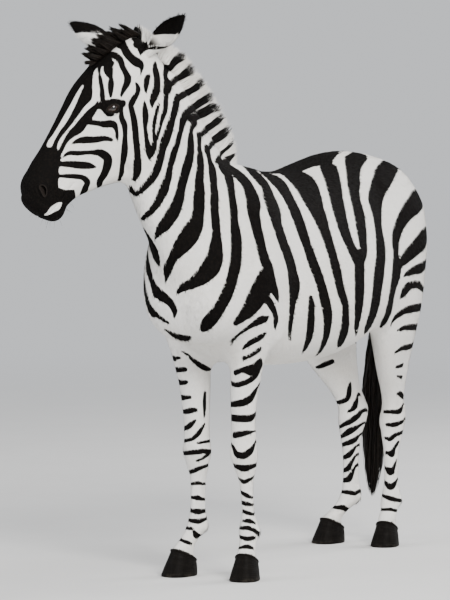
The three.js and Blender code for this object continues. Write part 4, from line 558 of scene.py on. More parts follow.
trunk = Limb((0, 0, 0), (1, 0, 0), (0, 1, 0), TRUNK, 0.07, 0.12, 0.02)
neck = Limb(NECK_ROOT, NECK_DIRECTION, (0, 1, 0), NECK, 0.08, 0.06, 0.10, twist=NECK_TWIST)
head = Limb(POLL, HEAD_T, HEAD_B, HEAD, 0.05, 0.032, 0.05)
legs = {k: leg_limb(v) for k, v in LEGS.items()}
dock_rows = [[-z, off, half, f, b, (f + b) / 2, 2, 0] for z, off, half, f, b in TAIL if z > 0.66]
dock_rows = [[r[0], r[1], r[2] * (0.98 if r[0] < -0.9 else 0.62), r[5] + (r[3] - r[5]) * 0.8, r[5] + (r[4] - r[5]) * 0.8, r[5], 2, 0]
             for r in dock_rows]
dock = Limb((0, 0, 0), (0, 0, -1), (0, 1, 0), dock_rows, 0.03, 0.02, 0.035)

volumes = [trunk]
for side in (1, -1):
    volumes.append(Mound([0.50, 0.110 * side, 1.00], [0.20, 0.085, 0.12], 0.08, (0.55, 0, -0.75)))    # shoulder
    volumes.append(Mound([0.60, 0.075 * side, 0.87], [0.11, 0.075, 0.10], 0.06))                      # breast
    volumes.append(Mound([-0.495, 0.118 * side, 1.055], [0.195, 0.101, 0.190], 0.08, (0.2, 0, 1)))    # haunch
volumes.append(neck)
volumes.extend(legs.values())
volumes.append(head)
volumes.append(Mound(on_head(0.572, 0, -0.150), [0.030, 0.030, 0.026], 0.02, HEAD_T, HEAD_B))         # chin
for side in (1, -1):
    volumes.append(Mound(on_head(0.205, 0.066 * side, -0.078), [0.055, 0.032, 0.042], 0.03, HEAD_T, HEAD_B))   # brow
    volumes.append(Mound(on_head(0.22, 0.055 * side, -0.195), [0.12, 0.034, 0.088], 0.04, HEAD_T, HEAD_B))     # cheek
    volumes.append(Mound(on_head(0.540, 0.033 * side, -0.060), [0.042, 0.026, 0.038], 0.025, HEAD_T, HEAD_B))  # nostril
volumes.append(dock)


def coat_depth(P):
    """how far the skin lies under the tips of the coat"""
    s, u, v = head_local(P)
    d = np.full(len(P), 0.0030)
    on_face = smoothstep(-0.02, 0.12, s) * (P[:, 0] > 0.6)
    d = d * (1 - on_face) + 0.0018 * on_face
    low = smoothstep(0.62, 0.42, P[:, 2])
    return d * (1 - low) + 0.0020 * low


def field(P):
    F = np.full(len(P), 0.5)
    for v in volumes:
        lo, hi = v.box()
        m = ((P > lo) & (P < hi)).all(1)
        if m.any():
            F[m] = smooth_min(F[m], v.distance(P[m]), v.join)
    return F + coat_depth(P) - forms(P)


def slope(P, e=0.0012):
    G = np.empty_like(P)
    for k in range(3):
        d = np.zeros(3)
        d[k] = e
        G[:, k] = (field(P + d) - field(P - d)) / (2 * e)
    return G


def settle(P, rounds=2):
    """moves points onto the skin"""
    P = P.copy()
    for _ in range(rounds):
        F, G = field(P), slope(P)
        step = F / np.maximum((G * G).sum(1), 0.05)
        P -= G * np.clip(step, -0.01, 0.01)[:, None]
    return P


def drop_on(P, axis, reach=0.05, rounds=22):
    """heights along the axis at which lines through P meet the skin from outside"""
    hi = np.full(len(P), reach)
    lo = np.full(len(P), -reach)
    # the first crossing from outside is found on a coarse walk
    walk = np.linspace(reach, -reach, 21)
    found = np.zeros(len(P), bool)
    last = field(P + axis * walk[0])
    for a, b in zip(walk[:-1], walk[1:]):
        now = field(P + axis * b)
        hit = ~found & (last > 0) & (now <= 0)
        hi[hit], lo[hit] = a, b
        found |= hit
        last = now
    for _ in range(rounds - 8):
        mid = (hi + lo) / 2
        f = field(P + axis * mid[:, None])
        hi, lo = np.where(f > 0, mid, hi), np.where(f > 0, lo, mid)
    return (hi + lo) / 2


# ------------------------------- bones, muscles and folds that show in the skin
# each: the course, how far it reaches sideways, how much it rises (or sinks)
FORMS = []


def form(points, reach, rise):
    FORMS.append((np.array(points, float), reach, rise))


for y in (1, -1):
    form([(0.36, 0.085 * y, 1.235), (0.47, 0.160 * y, 1.09), (0.57, 0.170 * y, 0.965)], 0.030, 0.0045)   # blade bone
    form([(0.27, 0.20 * y, 1.15), (0.315, 0.225 * y, 1.00), (0.345, 0.215 * y, 0.86)], 0.032, -0.0060)   # behind the shoulder
    form([(0.53, 0.175 * y, 1.03), (0.44, 0.190 * y, 0.90), (0.41, 0.180 * y, 0.82)], 0.022, -0.0035)    # above the upper arm
    form([(0.645, 0.105 * y, 0.975)], 0.045, 0.0070)                                                     # point of the shoulder
    form([(0.385, 0.165 * y, 0.755)], 0.028, 0.0070)                                                     # elbow
    form([(-0.275, 0.225 * y, 1.13), (-0.26, 0.235 * y, 1.06)], 0.055, -0.0080)                          # hollow of the flank
    form([(-0.325, 0.190 * y, 1.225)], 0.036, 0.0080)                                                    # point of the hip
    form([(-0.255, 0.22 * y, 0.86), (-0.305, 0.21 * y, 0.80), (-0.34, 0.19 * y, 0.745)], 0.020, 0.0060)  # fold of the flank
    form([(-0.355, 0.175 * y, 0.80)], 0.040, 0.0070)                                                     # stifle
    form([(-0.64, 0.10 * y, 1.14), (-0.645, 0.150 * y, 1.00), (-0.60, 0.175 * y, 0.86), (-0.575, 0.15 * y, 0.76)], 0.018, -0.0045)
    form([(-0.645, 0.055 * y, 1.125)], 0.026, 0.0050)                                                    # pin bone
    form([(-0.40, 0.16 * y, 1.27), (-0.50, 0.19 * y, 1.18), (-0.52, 0.215 * y, 1.04)], 0.022, -0.0030)
    for i in range(9):                                                                                    # ribs
        x = 0.20 - 0.045 * i
        form([(x + 0.03, 0.225 * y, 1.12), (x, 0.262 * y, 0.98), (x - 0.01, 0.250 * y, 0.83)], 0.012, 0.0016)
    # neck: the groove of the windpipe and the long muscle above it
    N0 = np.array(NECK_ROOT)
    form([N0 + neck.T * s + neck.B * u * y + neck.N * v for s, u, v in
          ((-0.04, 0.120, -0.185), (0.08, 0.098, -0.185), (0.20, 0.076, -0.180), (0.32, 0.064, -0.165), (0.42, 0.056, -0.140))], 0.020, -0.0060)
    form([N0 + neck.T * s + neck.B * u * y + neck.N * v for s, u, v in
          ((-0.05, 0.125, -0.10), (0.10, 0.106, -0.115), (0.25, 0.086, -0.110), (0.38, 0.074, -0.095))], 0.028, 0.0040)
    form([N0 + neck.T * s + neck.B * u * y + neck.N * v for s, u, v in
          ((0.00, 0.085, 0.100), (0.15, 0.070, 0.070), (0.30, 0.058, 0.040))], 0.022, -0.0035)

    def hd(*rows):
        return [on_head(s, u * y, v) for s, u, v in rows]
    form(hd((0.262, 0.082, -0.130), (0.310, 0.078, -0.132), (0.372, 0.064, -0.128)), 0.011, 0.0045)      # facial crest
    form(hd((0.300, 0.050, -0.018), (0.380, 0.040, -0.016), (0.455, 0.034, -0.018)), 0.009, 0.0025)      # edge of the nose bone
    form(hd((0.315, 0.066, -0.062), (0.390, 0.054, -0.058), (0.460, 0.049, -0.050)), 0.014, -0.0040)
    form(hd((0.300, 0.078, -0.165), (0.345, 0.072, -0.205), (0.350, 0.062, -0.255)), 0.013, -0.0045)     # front of the jaw muscle
    form(hd((0.100, 0.085, -0.205), (0.150, 0.092, -0.262), (0.230, 0.085, -0.290)), 0.012, 0.0030)      # back of the jaw
    form(hd((0.200, 0.100, -0.118), (0.150, 0.095, -0.122), (0.095, 0.082, -0.118)), 0.010, 0.0040)      # cheek bone
    form(hd((0.158, 0.074, -0.045)), 0.015, -0.0055)                                                     # hollow above the eye
    form(hd((0.196, 0.078, -0.052), (0.228, 0.088, -0.058)), 0.010, 0.0035)                              # rim of the socket
    form(hd((0.270, 0.088, -0.086), (0.300, 0.080, -0.098)), 0.011, -0.0040)                             # below the inner corner
    form(hd((0.565, 0.048, -0.098), (0.590, 0.030, -0.095), (0.600, 0.0, -0.092)), 0.013, 0.0035)        # upper lip
    form(hd((0.520, 0.052, -0.112), (0.480, 0.052, -0.118)), 0.010, 0.0025)
    form(hd((0.560, 0.040, -0.148), (0.588, 0.015, -0.142)), 0.011, 0.0030)                              # lower lip
    form(hd((0.520, 0.040, -0.162), (0.470, 0.040, -0.175)), 0.012, -0.0030)                             # behind the chin
    form(hd((0.470, 0.049, -0.080), (0.500, 0.052, -0.100)), 0.012, -0.0025)
    form(hd((0.575, 0.020, -0.035), (0.590, 0.018, -0.055)), 0.010, -0.0030)                             # between the nostrils

for key, leg in LEGS.items():
    out, front = leg_frame(leg)
    base = np.array([*leg["foot"], 0.0])

    def at(z, u, f):
        return base + out * (u + lerp_table(leg["lean"], z, 2)) + front * (f + lerp_table(leg["lean"], z, 1)) + np.array([0, 0, z])
    for u in (1, -1):
        if key.startswith("fore"):
            form([at(0.310, 0.026 * u, -0.010), at(0.250, 0.022 * u, -0.009), at(0.195, 0.022 * u, -0.010)], 0.0075, -0.0035)  # tendon groove
            form([at(0.405, 0.034 * u, 0.030), at(0.375, 0.036 * u, 0.028)], 0.010, 0.0030)                                     # knee bones
            form([at(0.150, 0.032 * u, -0.008)], 0.011, 0.0030)                                                                 # fetlock
            form([at(0.350, 0.028 * u, -0.030)], 0.010, -0.0030)
            form([at(0.600, 0.044 * u, -0.004), at(0.480, 0.038 * u, -0.010)], 0.014, -0.0030)                                  # between the muscles
        else:
            form([at(0.320, 0.028 * u, -0.006), at(0.250, 0.025 * u, -0.004), at(0.195, 0.026 * u, -0.008)], 0.0080, -0.0035)
            form([at(0.560, 0.040 * u, -0.018), at(0.505, 0.034 * u, -0.026), at(0.470, 0.032 * u, -0.030)], 0.015, -0.0070)    # hollow before the heel tendon
            form([at(0.430, 0.039 * u, 0.012), at(0.400, 0.040 * u, 0.010)], 0.015, 0.0035)                                     # hock bones
            form([at(0.150, 0.033 * u, -0.008)], 0.011, 0.0030)
            form([at(0.700, 0.064 * u, 0.100), at(0.600, 0.046 * u, 0.050)], 0.022, -0.0030)
    if key.startswith("fore"):
        form([at(0.395, 0, 0.042)], 0.016, 0.0020)
        form([at(0.365, 0, -0.040)], 0.012, 0.0040)
    else:
        form([at(0.455, 0, -0.072)], 0.014, 0.0035)                                                                             # point of the hock
    form([at(0.142, 0, -0.040)], 0.010, 0.0035)                                                                                  # ergot

FORM_BOXES = [(p.min(0) - 2.6 * r, p.max(0) + 2.6 * r) for p, r, a in FORMS]


def forms(P):
    out = np.zeros(len(P))
    for (pts, reach, rise), (lo, hi) in zip(FORMS, FORM_BOXES):
        m = ((P > lo) & (P < hi)).all(1)
        if not m.any():
            continue
        Q = P[m]
        if len(pts) == 1:
            d = np.linalg.norm(Q - pts[0], axis=1)
        else:
            d = near_line(Q, pts)
        out[m] += rise * np.exp(-(d / reach)**2)
    return out


def near_line(P, pts):
    """distance from points to a polyline"""
    best = np.full(len(P), 81.0)
    for a, b in zip(pts[:-1], pts[1:]):
        ab = b - a
        t = np.clip(((P - a) @ ab) / (ab @ ab), 0, 1)
        d = P - a - t[:, None] * ab
        best = np.minimum(best, (d * d).sum(1))
    return np.sqrt(best)


# ------------------------------------------------------------------- the skin
def sample_grid(low, high, h):
    n = np.ceil((np.array(high) - low) / h).astype(int) + 1
    ax = [low[i] + h * np.arange(n[i]) for i in range(3)]
    F = np.full(n, 0.5, np.float32)
    for v in volumes:
        lo, hi = v.box()
        i0 = np.clip(np.floor((lo - low) / h).astype(int), 0, n)
        i1 = np.clip(np.ceil((hi - low) / h).astype(int) + 1, 0, n)
        if (i1 <= i0).any():
            continue
        X, Y, Z = np.meshgrid(*[ax[k][i0[k]:i1[k]] for k in range(3)], indexing="ij")
        f = v.distance(np.stack([X, Y, Z], -1).reshape(-1, 3)).reshape(X.shape)
        part = (slice(i0[0], i1[0]), slice(i0[1], i1[1]), slice(i0[2], i1[2]))
        F[part] = smooth_min(F[part], f, v.join)
    return F + 0.0026, ax


def surface_nets(F, ax):
    inside = F < 0
    nx, ny, nz = F.shape
    c = np.zeros((nx - 1, ny - 1, nz - 1), np.uint8)
    for a in (0, 1):
        for b in (0, 1):
            for d in (0, 1):
                c += inside[a:nx - 1 + a, b:ny - 1 + b, d:nz - 1 + d]
    active = (c > 0) & (c < 8)
    idx = -np.ones(c.shape, np.int64)
    cells = np.argwhere(active)
    idx[active] = np.arange(len(cells))
    total, count = np.zeros((len(cells), 3)), np.zeros(len(cells))
    corners = [(a, b, d) for d in (0, 1) for b in (0, 1) for a in (0, 1)]
    vals = [F[cells[:, 0] + a, cells[:, 1] + b, cells[:, 2] + d] for a, b, d in corners]
    for p in range(8):
        for q in range(p + 1, 8):
            d = np.array(corners[q]) - corners[p]
            if np.abs(d).sum() != 1:
                continue
            fa, fb = vals[p], vals[q]
            m = (fa < 0) != (fb < 0)
            t = np.where(m, fa / np.where(m, fa - fb, 1), 0)
            pos = np.array(corners[p])[None] + t[:, None] * d[None]
            total[m] += pos[m]
            count[m] += 1
    h = ax[0][1] - ax[0][0]
    V = np.array([ax[0][0], ax[1][0], ax[2][0]]) + h * (cells + total / count[:, None])
    quads = []
    for axis in range(3):
        a = F[tuple(slice(0, -1) if k == axis else slice(1, -1) for k in range(3))] < 0
        b = F[tuple(slice(1, None) if k == axis else slice(1, -1) for k in range(3))] < 0
        o1, o2 = [k for k in range(3) if k != axis]
        for flip, m in ((False, a & ~b), (True, ~a & b)):
            e = np.argwhere(m)
            if len(e) == 0:
                continue

            def cell(d1, d2):
                g = e.copy()
                g[:, o1] += d1
                g[:, o2] += d2
                return idx[g[:, 0], g[:, 1], g[:, 2]]
            q = np.stack([cell(0, 0), cell(1, 0), cell(1, 1), cell(0, 1)], 1)
            if flip != (axis == 1):
                q = q[:, ::-1]
            quads.append(q)
    Q = np.concatenate(quads)
    d02 = np.linalg.norm(V[Q[:, 0]] - V[Q[:, 2]], axis=1)
    d13 = np.linalg.norm(V[Q[:, 1]] - V[Q[:, 3]], axis=1)
    s = d02 < d13
    T = np.concatenate([Q[s][:, [0, 1, 2]], Q[s][:, [0, 2, 3]], Q[~s][:, [1, 2, 3]], Q[~s][:, [1, 3, 0]]])
    return V, T


def split(V, T, marked):
    """halves every edge of the marked triangles, and parts their neighbours to match"""
    E = np.concatenate([T[:, [0, 1]], T[:, [1, 2]], T[:, [2, 0]]])
    E.sort(1)
    key = E[:, 0] * len(V) + E[:, 1]
    uniq, first, inv = np.unique(key, return_index=True, return_inverse=True)
    inv = inv.reshape(3, -1).T
    cut = np.zeros(len(uniq), bool)
    cut[inv[marked].ravel()] = True
    new = np.full(len(uniq), -1)
    new[cut] = len(V) + np.arange(cut.sum())
    ends = E[first[cut]]
    mid = (V[ends[:, 0]] + V[ends[:, 1]]) / 2
    V2 = np.concatenate([V, mid])
    m = new[inv]                       # midpoints of edges 01, 12, 20
    k = (m >= 0).sum(1)
    out = [T[k == 0]]
    t, q = T[k == 3], m[k == 3]
    out += [np.stack(c, 1) for c in ((t[:, 0], q[:, 0], q[:, 2]), (q[:, 0], t[:, 1], q[:, 1]),
                                     (q[:, 2], q[:, 1], t[:, 2]), (q[:, 0], q[:, 1], q[:, 2]))]
    for j in range(3):                 # one edge halved
        s = (k == 1) & (m[:, j] >= 0)
        a, b, c, x = T[s][:, j], T[s][:, (j + 1) % 3], T[s][:, (j + 2) % 3], m[s][:, j]
        out += [np.stack((a, x, c), 1), np.stack((x, b, c), 1)]
        s = (k == 2) & (m[:, j] < 0)   # all but this edge halved
        a, b, c = T[s][:, j], T[s][:, (j + 1) % 3], T[s][:, (j + 2) % 3]
        y, x = m[s][:, (j + 1) % 3], m[s][:, (j + 2) % 3]
        out += [np.stack((y, c, x), 1), np.stack((a, b, y), 1), np.stack((a, y, x), 1)]
    T2 = np.concatenate(out)
    return V2, T2, np.arange(len(V), len(V2))


MOUTH = [(0.604, 0.000, -0.112), (0.600, 0.016, -0.114), (0.588, 0.032, -0.119), (0.566, 0.046, -0.126),
         (0.538, 0.052, -0.131), (0.508, 0.053, -0.134), (0.480, 0.052, -0.136)]
EYES = {}
NOSTRILS = {}
EARS = {}
for name, side in (("left", 1), ("right", -1)):
    EYES[name] = (on_head(EYE_AT[0], EYE_AT[1] * side, EYE_AT[2]), unit(in_head(0.16, 1.0 * side, 0.22)), side)
    NOSTRILS[name] = (on_head(0.548, 0.044 * side, -0.062), unit(in_head(0.42, 0.86 * side, 0.22)), side)
    EARS[name] = (on_head(EAR_ROOT[name][0], EAR_ROOT[name][1] * side, EAR_ROOT[name][2]),
                  unit(in_head(EAR_AIM[name][0], EAR_AIM[name][1] * side, EAR_AIM[name][2])),
                  in_head(EAR_OPENS[name][0], EAR_OPENS[name][1] * side, EAR_OPENS[name][2]), side)
mouth_line = [settle(np.array([on_head(s, u * side, v) for s, u, v in MOUTH])) for side in (1, -1)]

for line in mouth_line:
    form(line, 0.0030, -0.0042)
FORM_BOXES.extend((p.min(0) - 2.6 * r, p.max(0) + 2.6 * r) for p, r, a in FORMS[-2:])

low, high = np.array([-0.95, -0.50, 0.02]), np.array([1.22, 0.42, 1.84])
F, axes = sample_grid(low, high, 0.0126)
V, T = surface_nets(F, axes)
V = settle(V, 2)


def finer(V, T, where):
    c = V[T].mean(1)
    V2, T2, new = split(V, T, where(c))
    V2[new] = settle(V2[new], 1)
    return V2, T2


def want_5mm(c):
    s, u, v = head_local(c)
    n = neck.local(c)[0]
    return (c[:, 2] < 0.66) | (s > -0.10) & (c[:, 0] > 0.60) | (n > 0.10) & (c[:, 0] > 0.5)


def want_25mm(c):
    m = np.zeros(len(c), bool)
    for at, ax, side in EYES.values():
        m |= np.linalg.norm(c - at, axis=1) < 0.050
    for at, ax, side in NOSTRILS.values():
        m |= np.linalg.norm(c - at, axis=1) < 0.036
    for at, ax, opens, side in EARS.values():
        m |= np.linalg.norm(c - at - ax * 0.01, axis=1) < 0.052
    for line in mouth_line:
        m |= near_line(c, line) < 0.016
    return m


V, T = finer(V, T, want_5mm)
V, T = finer(V, T, want_25mm)
V, T = finer(V, T, lambda c: np.minimum(*[near_line(c, line) for line in mouth_line]) < 0.0050)
print("skin", len(V), len(T))


# --------------------------------- eyelids, nostrils and ears grow from the skin
bare = np.zeros(len(V))      # 1 on naked skin: lids, nostrils, inside of the ears


def open_skin(V, T, at, axis, radius, depth):
    """takes the skin away around an axis and returns the edge of the hole in order"""
    q = V - at
    h = q @ axis
    r = np.linalg.norm(q - h[:, None] * axis, axis=1)
    inside = (r < radius) & (h > depth[0]) & (h < depth[1])
    dead = inside[T].any(1)
    keep = T[~dead]
    n = len(V)
    half = np.concatenate([keep[:, [0, 1]], keep[:, [1, 2]], keep[:, [2, 0]]])
    key = half[:, 0] * n + half[:, 1]
    back = half[:, 1] * n + half[:, 0]
    rim = half[~np.isin(back, key)]
    near = r[rim[:, 0]] < radius * 2.2
    nxt = {int(a): int(b) for a, b in rim[near]}
    best = []
    while nxt:
        start = next(iter(nxt))
        loop = [start]
        cur = nxt.pop(start)
        while cur != start and cur in nxt:
            loop.append(cur)
            cur = nxt.pop(cur)
        if len(loop) > len(best):
            best = loop
    return keep, np.array(best)


def polar_patch(V, T, at, axis, ex, radius, depth, rings_of):
    keep, loop = open_skin(V, T, at, axis, radius, depth)
    ex = unit(ex - (ex @ axis) * axis)
    ey = np.cross(axis, ex)
    P = V[loop]
    for _ in range(6):
        P = 0.5 * P + 0.25 * (np.roll(P, 1, 0) + np.roll(P, -1, 0))
    P = settle(P, 1)
    V = V.copy()
    V[loop] = P
    q = P - at
    theta = np.unwrap(np.arctan2(q @ ey, q @ ex))
    way = 1 if theta[-1] > theta[0] else -1
    gaps = np.diff(np.append(theta, theta[0] + way * 2 * math.pi)) * way
    gaps = np.maximum(gaps, 0.2 * 2 * math.pi / len(loop))
    gaps *= 2 * math.pi / gaps.sum()
    theta = theta[0] + way * np.append(0, np.cumsum(gaps)[:-1])
    rings, tags, centre, centre_tag = rings_of(theta, P, ex, ey)
    n = len(loop)
    last = loop
    new_v, new_t, new_tag = [], [], []
    count = len(V)
    for ring, tag in zip(rings, tags):
        ids = count + np.arange(n)
        count += n
        new_v.append(ring)
        new_tag.append(np.broadcast_to(tag, (n,)))
        a, b = last, np.roll(last, -1)
        a1, b1 = ids, np.roll(ids, -1)
        new_t.append(np.stack([b, a, a1], 1))
        new_t.append(np.stack([b, a1, b1], 1))
        last = ids
    new_v.append(np.asarray(centre)[None])
    new_tag.append(np.array([centre_tag]))
    new_t.append(np.stack([np.roll(last, -1), last, np.full(n, count)], 1))
    return (np.concatenate([V] + new_v), np.concatenate([keep] + new_t),
            np.concatenate(new_tag), ex, ey)


# eyes: the almond between the lids, and the lids drawn over the ball
LID = 0.0032
EYE_LONG = in_head(math.cos(rad(30)), 0, math.sin(rad(30)))


def almond(theta):
    c, s = np.cos(theta), np.sin(theta)
    x = 0.0172 * c + 0.0012
    y = np.where(s > 0, 0.0108, 0.0082) * s * (1 - 0.30 * c * c) - 0.0012 * c
    return x, y


for name, (at, axis, side) in EYES.items():
    def eye_rings(theta, P, ex, ey):
        t = theta * side                       # runs alike on both sides of the head
        up = ey * side
        q = P - at
        lx, ly = q @ ex, q @ up
        ax_, ay_ = almond(t)
        rings, tags = [], []
        fr = np.concatenate([np.linspace(0, 0.62, 9)[1:], np.linspace(0.62, 1, 12)[1:]])
        X = lx + (ax_ - lx) * fr[:, None]
        Y = ly + (ay_ - ly) * fr[:, None]
        flat = at + X.reshape(-1, 1) * ex + Y.reshape(-1, 1) * up
        base = drop_on(flat, axis, 0.045).reshape(X.shape)
        r2 = X * X + Y * Y
        lid = np.sqrt(np.maximum((EYE_RADIUS + LID)**2 - r2, 0)) - 0.004 * smoothstep(0.0, 0.06, r2 * 100)
        z = smooth_max(base, np.where(r2 < (EYE_RADIUS + LID)**2, lid, -0.02), 0.010)
        d = np.hypot(X - ax_, Y - ay_)        # distance from the lid's edge
        upper = smoothstep(-0.1, 0.5, np.sin(t))[None, :]
        lower = smoothstep(-0.1, 0.5, -np.sin(t))[None, :]
        z = z - upper * (0.0016 * np.exp(-((d - 0.0060) / 0.0012)**2) + 0.0011 * np.exp(-((d - 0.0100) / 0.0014)**2))
        z = z + upper * 0.0012 * np.exp(-((d - 0.0080) / 0.0014)**2)
        z = z - lower * (0.0011 * np.exp(-((d - 0.0052) / 0.0011)**2) + 0.0007 * np.exp(-((d - 0.0090) / 0.0013)**2))
        for j in range(len(fr)):
            rings.append(at + X[j][:, None] * ex + Y[j][:, None] * up + z[j][:, None] * axis)
            tags.append(smoothstep(0.0075, 0.0030, d[j]))
        for scale, depth in ((0.985, 0.0022), (0.955, 0.0008), (0.90, -0.0020), (0.6, -0.0060), (0.3, -0.0080)):
            x, y = ax_ * scale, ay_ * scale
            zz = np.sqrt((EYE_RADIUS + depth)**2 - x * x - y * y)
            rings.append(at + x[:, None] * ex + y[:, None] * up + zz[:, None] * axis)
            tags.append(np.ones(len(t)))
        return rings, tags, at + axis * (EYE_RADIUS - 0.0090), 1.0
    V, T, tag, ex, ey = polar_patch(V, T, at, axis, EYE_LONG, 0.0305, (-0.03, 0.03), eye_rings)
    bare = np.concatenate([bare, tag])


# nostrils: a long slanting opening with a raised wing above and behind it
def slit(theta):
    c, s = np.cos(theta), np.sin(theta)
    x = 0.0168 * np.sign(c) * np.abs(c)**0.9
    y = 0.0062 * s * (1 + 0.35 * c) + 0.0036 * (c * c - 0.5)
    return x, y


for name, (at, axis, side) in NOSTRILS.items():
    long_way = unit(in_head(-0.52, 0.10 * side, 0.85))

    def nostril_rings(theta, P, ex, ey):
        t = theta * side
        up = ey * side
        q = P - at
        lx, ly = q @ ex, q @ up
        ax_, ay_ = slit(t)
        fr = np.array([0.12, 0.26, 0.40, 0.53, 0.65, 0.76, 0.85, 0.92, 0.97, 1.0])
        X = lx + (ax_ - lx) * fr[:, None]
        Y = ly + (ay_ - ly) * fr[:, None]
        flat = at + X.reshape(-1, 1) * ex + Y.reshape(-1, 1) * up
        base = drop_on(flat, axis, 0.045).reshape(X.shape)
        d = np.hypot(X - ax_, Y - ay_)
        wing = 0.0034 * np.exp(-((d - 0.0035) / 0.0032)**2)
        wing = wing * (0.75 + 0.35 * np.sin(t))[None, :] - 0.0022 * np.exp(-((d - 0.0105) / 0.0035)**2)
        z = base + wing * smoothstep(0.0, 0.35, fr)[:, None]
        z[-1] -= 0.0004
        rings = [at + X[j][:, None] * ex + Y[j][:, None] * up + z[j][:, None] * axis for j in range(len(fr))]
        tags = [smoothstep(0.006, 0.0015, d[j]) for j in range(len(fr))]
        inward = unit(-axis * 0.75 - HEAD_T * 0.5 - HEAD_N * 0.1)
        edge = rings[-1]
        mid = edge.mean(0)
        for scale, depth in ((0.93, 0.0016), (0.86, 0.0042), (0.80, 0.0080), (0.72, 0.0130), (0.55, 0.0180), (0.3, 0.0205)):
            rings.append(mid + (edge - mid) * scale + inward * depth)
            tags.append(np.ones(len(t)))
        return rings, tags, mid + inward * 0.0215, 1.0
    V, T, tag, ex, ey = polar_patch(V, T, at, axis, long_way, 0.0225, (-0.03, 0.03), nostril_rings)
    bare = np.concatenate([bare, tag])

# ears: a rolled leaf on a round base, open along its front
EAR_ROWS = np.array(EAR)
ear_lines, ear_rows = {}, {}    # frames and rows of the ears, kept for the hair
for name, (root, axis, opens, side) in EARS.items():
    opens = unit(opens - (opens @ axis) * axis)
    across = np.cross(axis, opens)

    def leaf(t, w, inside):
        """a point of the leaf: share of the length, angle from its back"""
        r = np.interp(t, EAR_ROWS[:, 0], EAR_ROWS[:, 1])
        wall = np.interp(t, EAR_ROWS[:, 0], EAR_ROWS[:, 3])
        r = r - 0.0016 - inside * wall * 0.62
        r = np.maximum(r, 0.0012)
        c = root + axis * (EAR_LENGTH * t)[:, None] + opens * (-0.006 + 0.020 * t * t)[:, None]
        return c + across * (r * np.sin(w))[:, None] - opens * (r * np.cos(w) * 0.85)[:, None]

    def ear_rings(theta, P, ex, ey):
        # theta is measured from the back of the ear
        phi = (theta + math.pi) % (2 * math.pi) - math.pi
        a = np.abs(np.degrees(phi))
        warped = np.interp(a, [0, 38, 62, 105, 130, 180], [0, 60, 86, 108, 130, 180])
        w_full = np.radians(warped) * np.sign(phi)
        top = np.interp(warped, EAR_ROWS[::-1, 2], EAR_ROWS[::-1, 0])
        n = len(theta)
        foot_r = 0.0262
        foot = root + foot_r * (across * np.sin(phi)[:, None] - opens * np.cos(phi)[:, None])
        h0 = drop_on(foot, axis, 0.06)
        for _ in range(4):
            h0 = 0.5 * h0 + 0.25 * (np.roll(h0, 1) + np.roll(h0, -1))
        t0 = h0 / EAR_LENGTH + 0.02
        top = np.maximum(top, t0 + 0.05)
        for _ in range(3):
            k = np.abs(warped) > 118
            sm = 0.5 * top + 0.25 * (np.roll(top, 1) + np.roll(top, -1))
            top = np.where(k, sm, top)
        rings, tags = [], []
        on_skin = foot + axis * (h0 + 0.0012)[:, None]
        for f in (0.3, 0.58, 0.82):
            X = P + (on_skin - P) * f
            q = X - axis * ((X - root) @ axis)[:, None]
            h = drop_on(q, axis, 0.06)
            mixed = q + axis * (h * (1 - f) + ((X - root) @ axis + 0) * f)[:, None]
            rings.append(mixed + axis * (0.002 * f * f))
            tags.append(np.zeros(n))
        share = np.linspace(0, 1, 19)**0.92
        for f in share:
            t = t0 + (top - t0) * f
            w = phi + (w_full - phi) * smoothstep(0.0, 0.45, f)
            rings.append(leaf(t, w, 0.0))
            tags.append(np.zeros(n))
        rim = 0.5 * (leaf(top, w_full, 0.0) + leaf(top, w_full, 1.0)) + axis * 0.0012
        rings.append(rim)
        tags.append(np.full(n, 0.15))
        floor = float(np.mean(t0)) + 0.03
        for f in (1.0, 0.9, 0.78, 0.64, 0.5, 0.36, 0.24, 0.13, 0.05, 0.0):
            t = floor + (np.maximum(top, floor + 0.02) - floor) * f
            w = phi + (w_full - phi) * smoothstep(0.0, 0.45, f)
            rings.append(leaf(t, w, 1.0))
            tags.append(np.full(n, 0.10 + 0.75 * smoothstep(0.35, 0.0, f)))
        low_ring = rings[-1]
        mid = low_ring.mean(0)
        for s_, d_ in ((0.72, 0.004), (0.42, 0.009), (0.2, 0.014)):
            rings.append(mid + (low_ring - mid) * s_ - axis * d_)
            tags.append(np.ones(n))
        ear_lines[name] = (root, axis, opens, across, float(np.mean(t0)))
        return rings, tags, mid - axis * 0.016, 1.0
    V, T, tag, ex, ey = polar_patch(V, T, root, axis, -opens, 0.0335, (-0.06, 0.075), ear_rings)
    ear_rows[name] = (len(V) - len(tag), (len(tag) - 1) // 36)
    bare = np.concatenate([bare, tag])
print("skin with patches", len(V), len(T))


# ------------------------------------------------------------------- stripes
# Every stripe is a course of points with half widths; 1 is black, 0 is a white
# gap cut into black. Below zero the result is black, in metres from the edge.
def mirrored(P):
    """the place on the animal's left that answers to each point"""
    Q = P.copy()
    Q[:, 1] = np.abs(Q[:, 1])
    s, u, v = neck.local(P)
    (u0, v0, *_), th = neck.values(s)
    c, sn = np.cos(th), np.sin(th)
    a, b = (u - u0) * c + (v - v0) * sn, -(u - u0) * sn + (v - v0) * c
    a = np.abs(a)
    u2, v2 = a * c - b * sn + u0, a * sn + b * c + v0
    R = neck.at + neck.T * s[:, None] + neck.B * u2[:, None] + neck.N * v2[:, None]
    w = (smoothstep(-0.02, 0.16, s) * smoothstep(0.45, 0.60, P[:, 0]))[:, None]
    return Q * (1 - w) + R * w


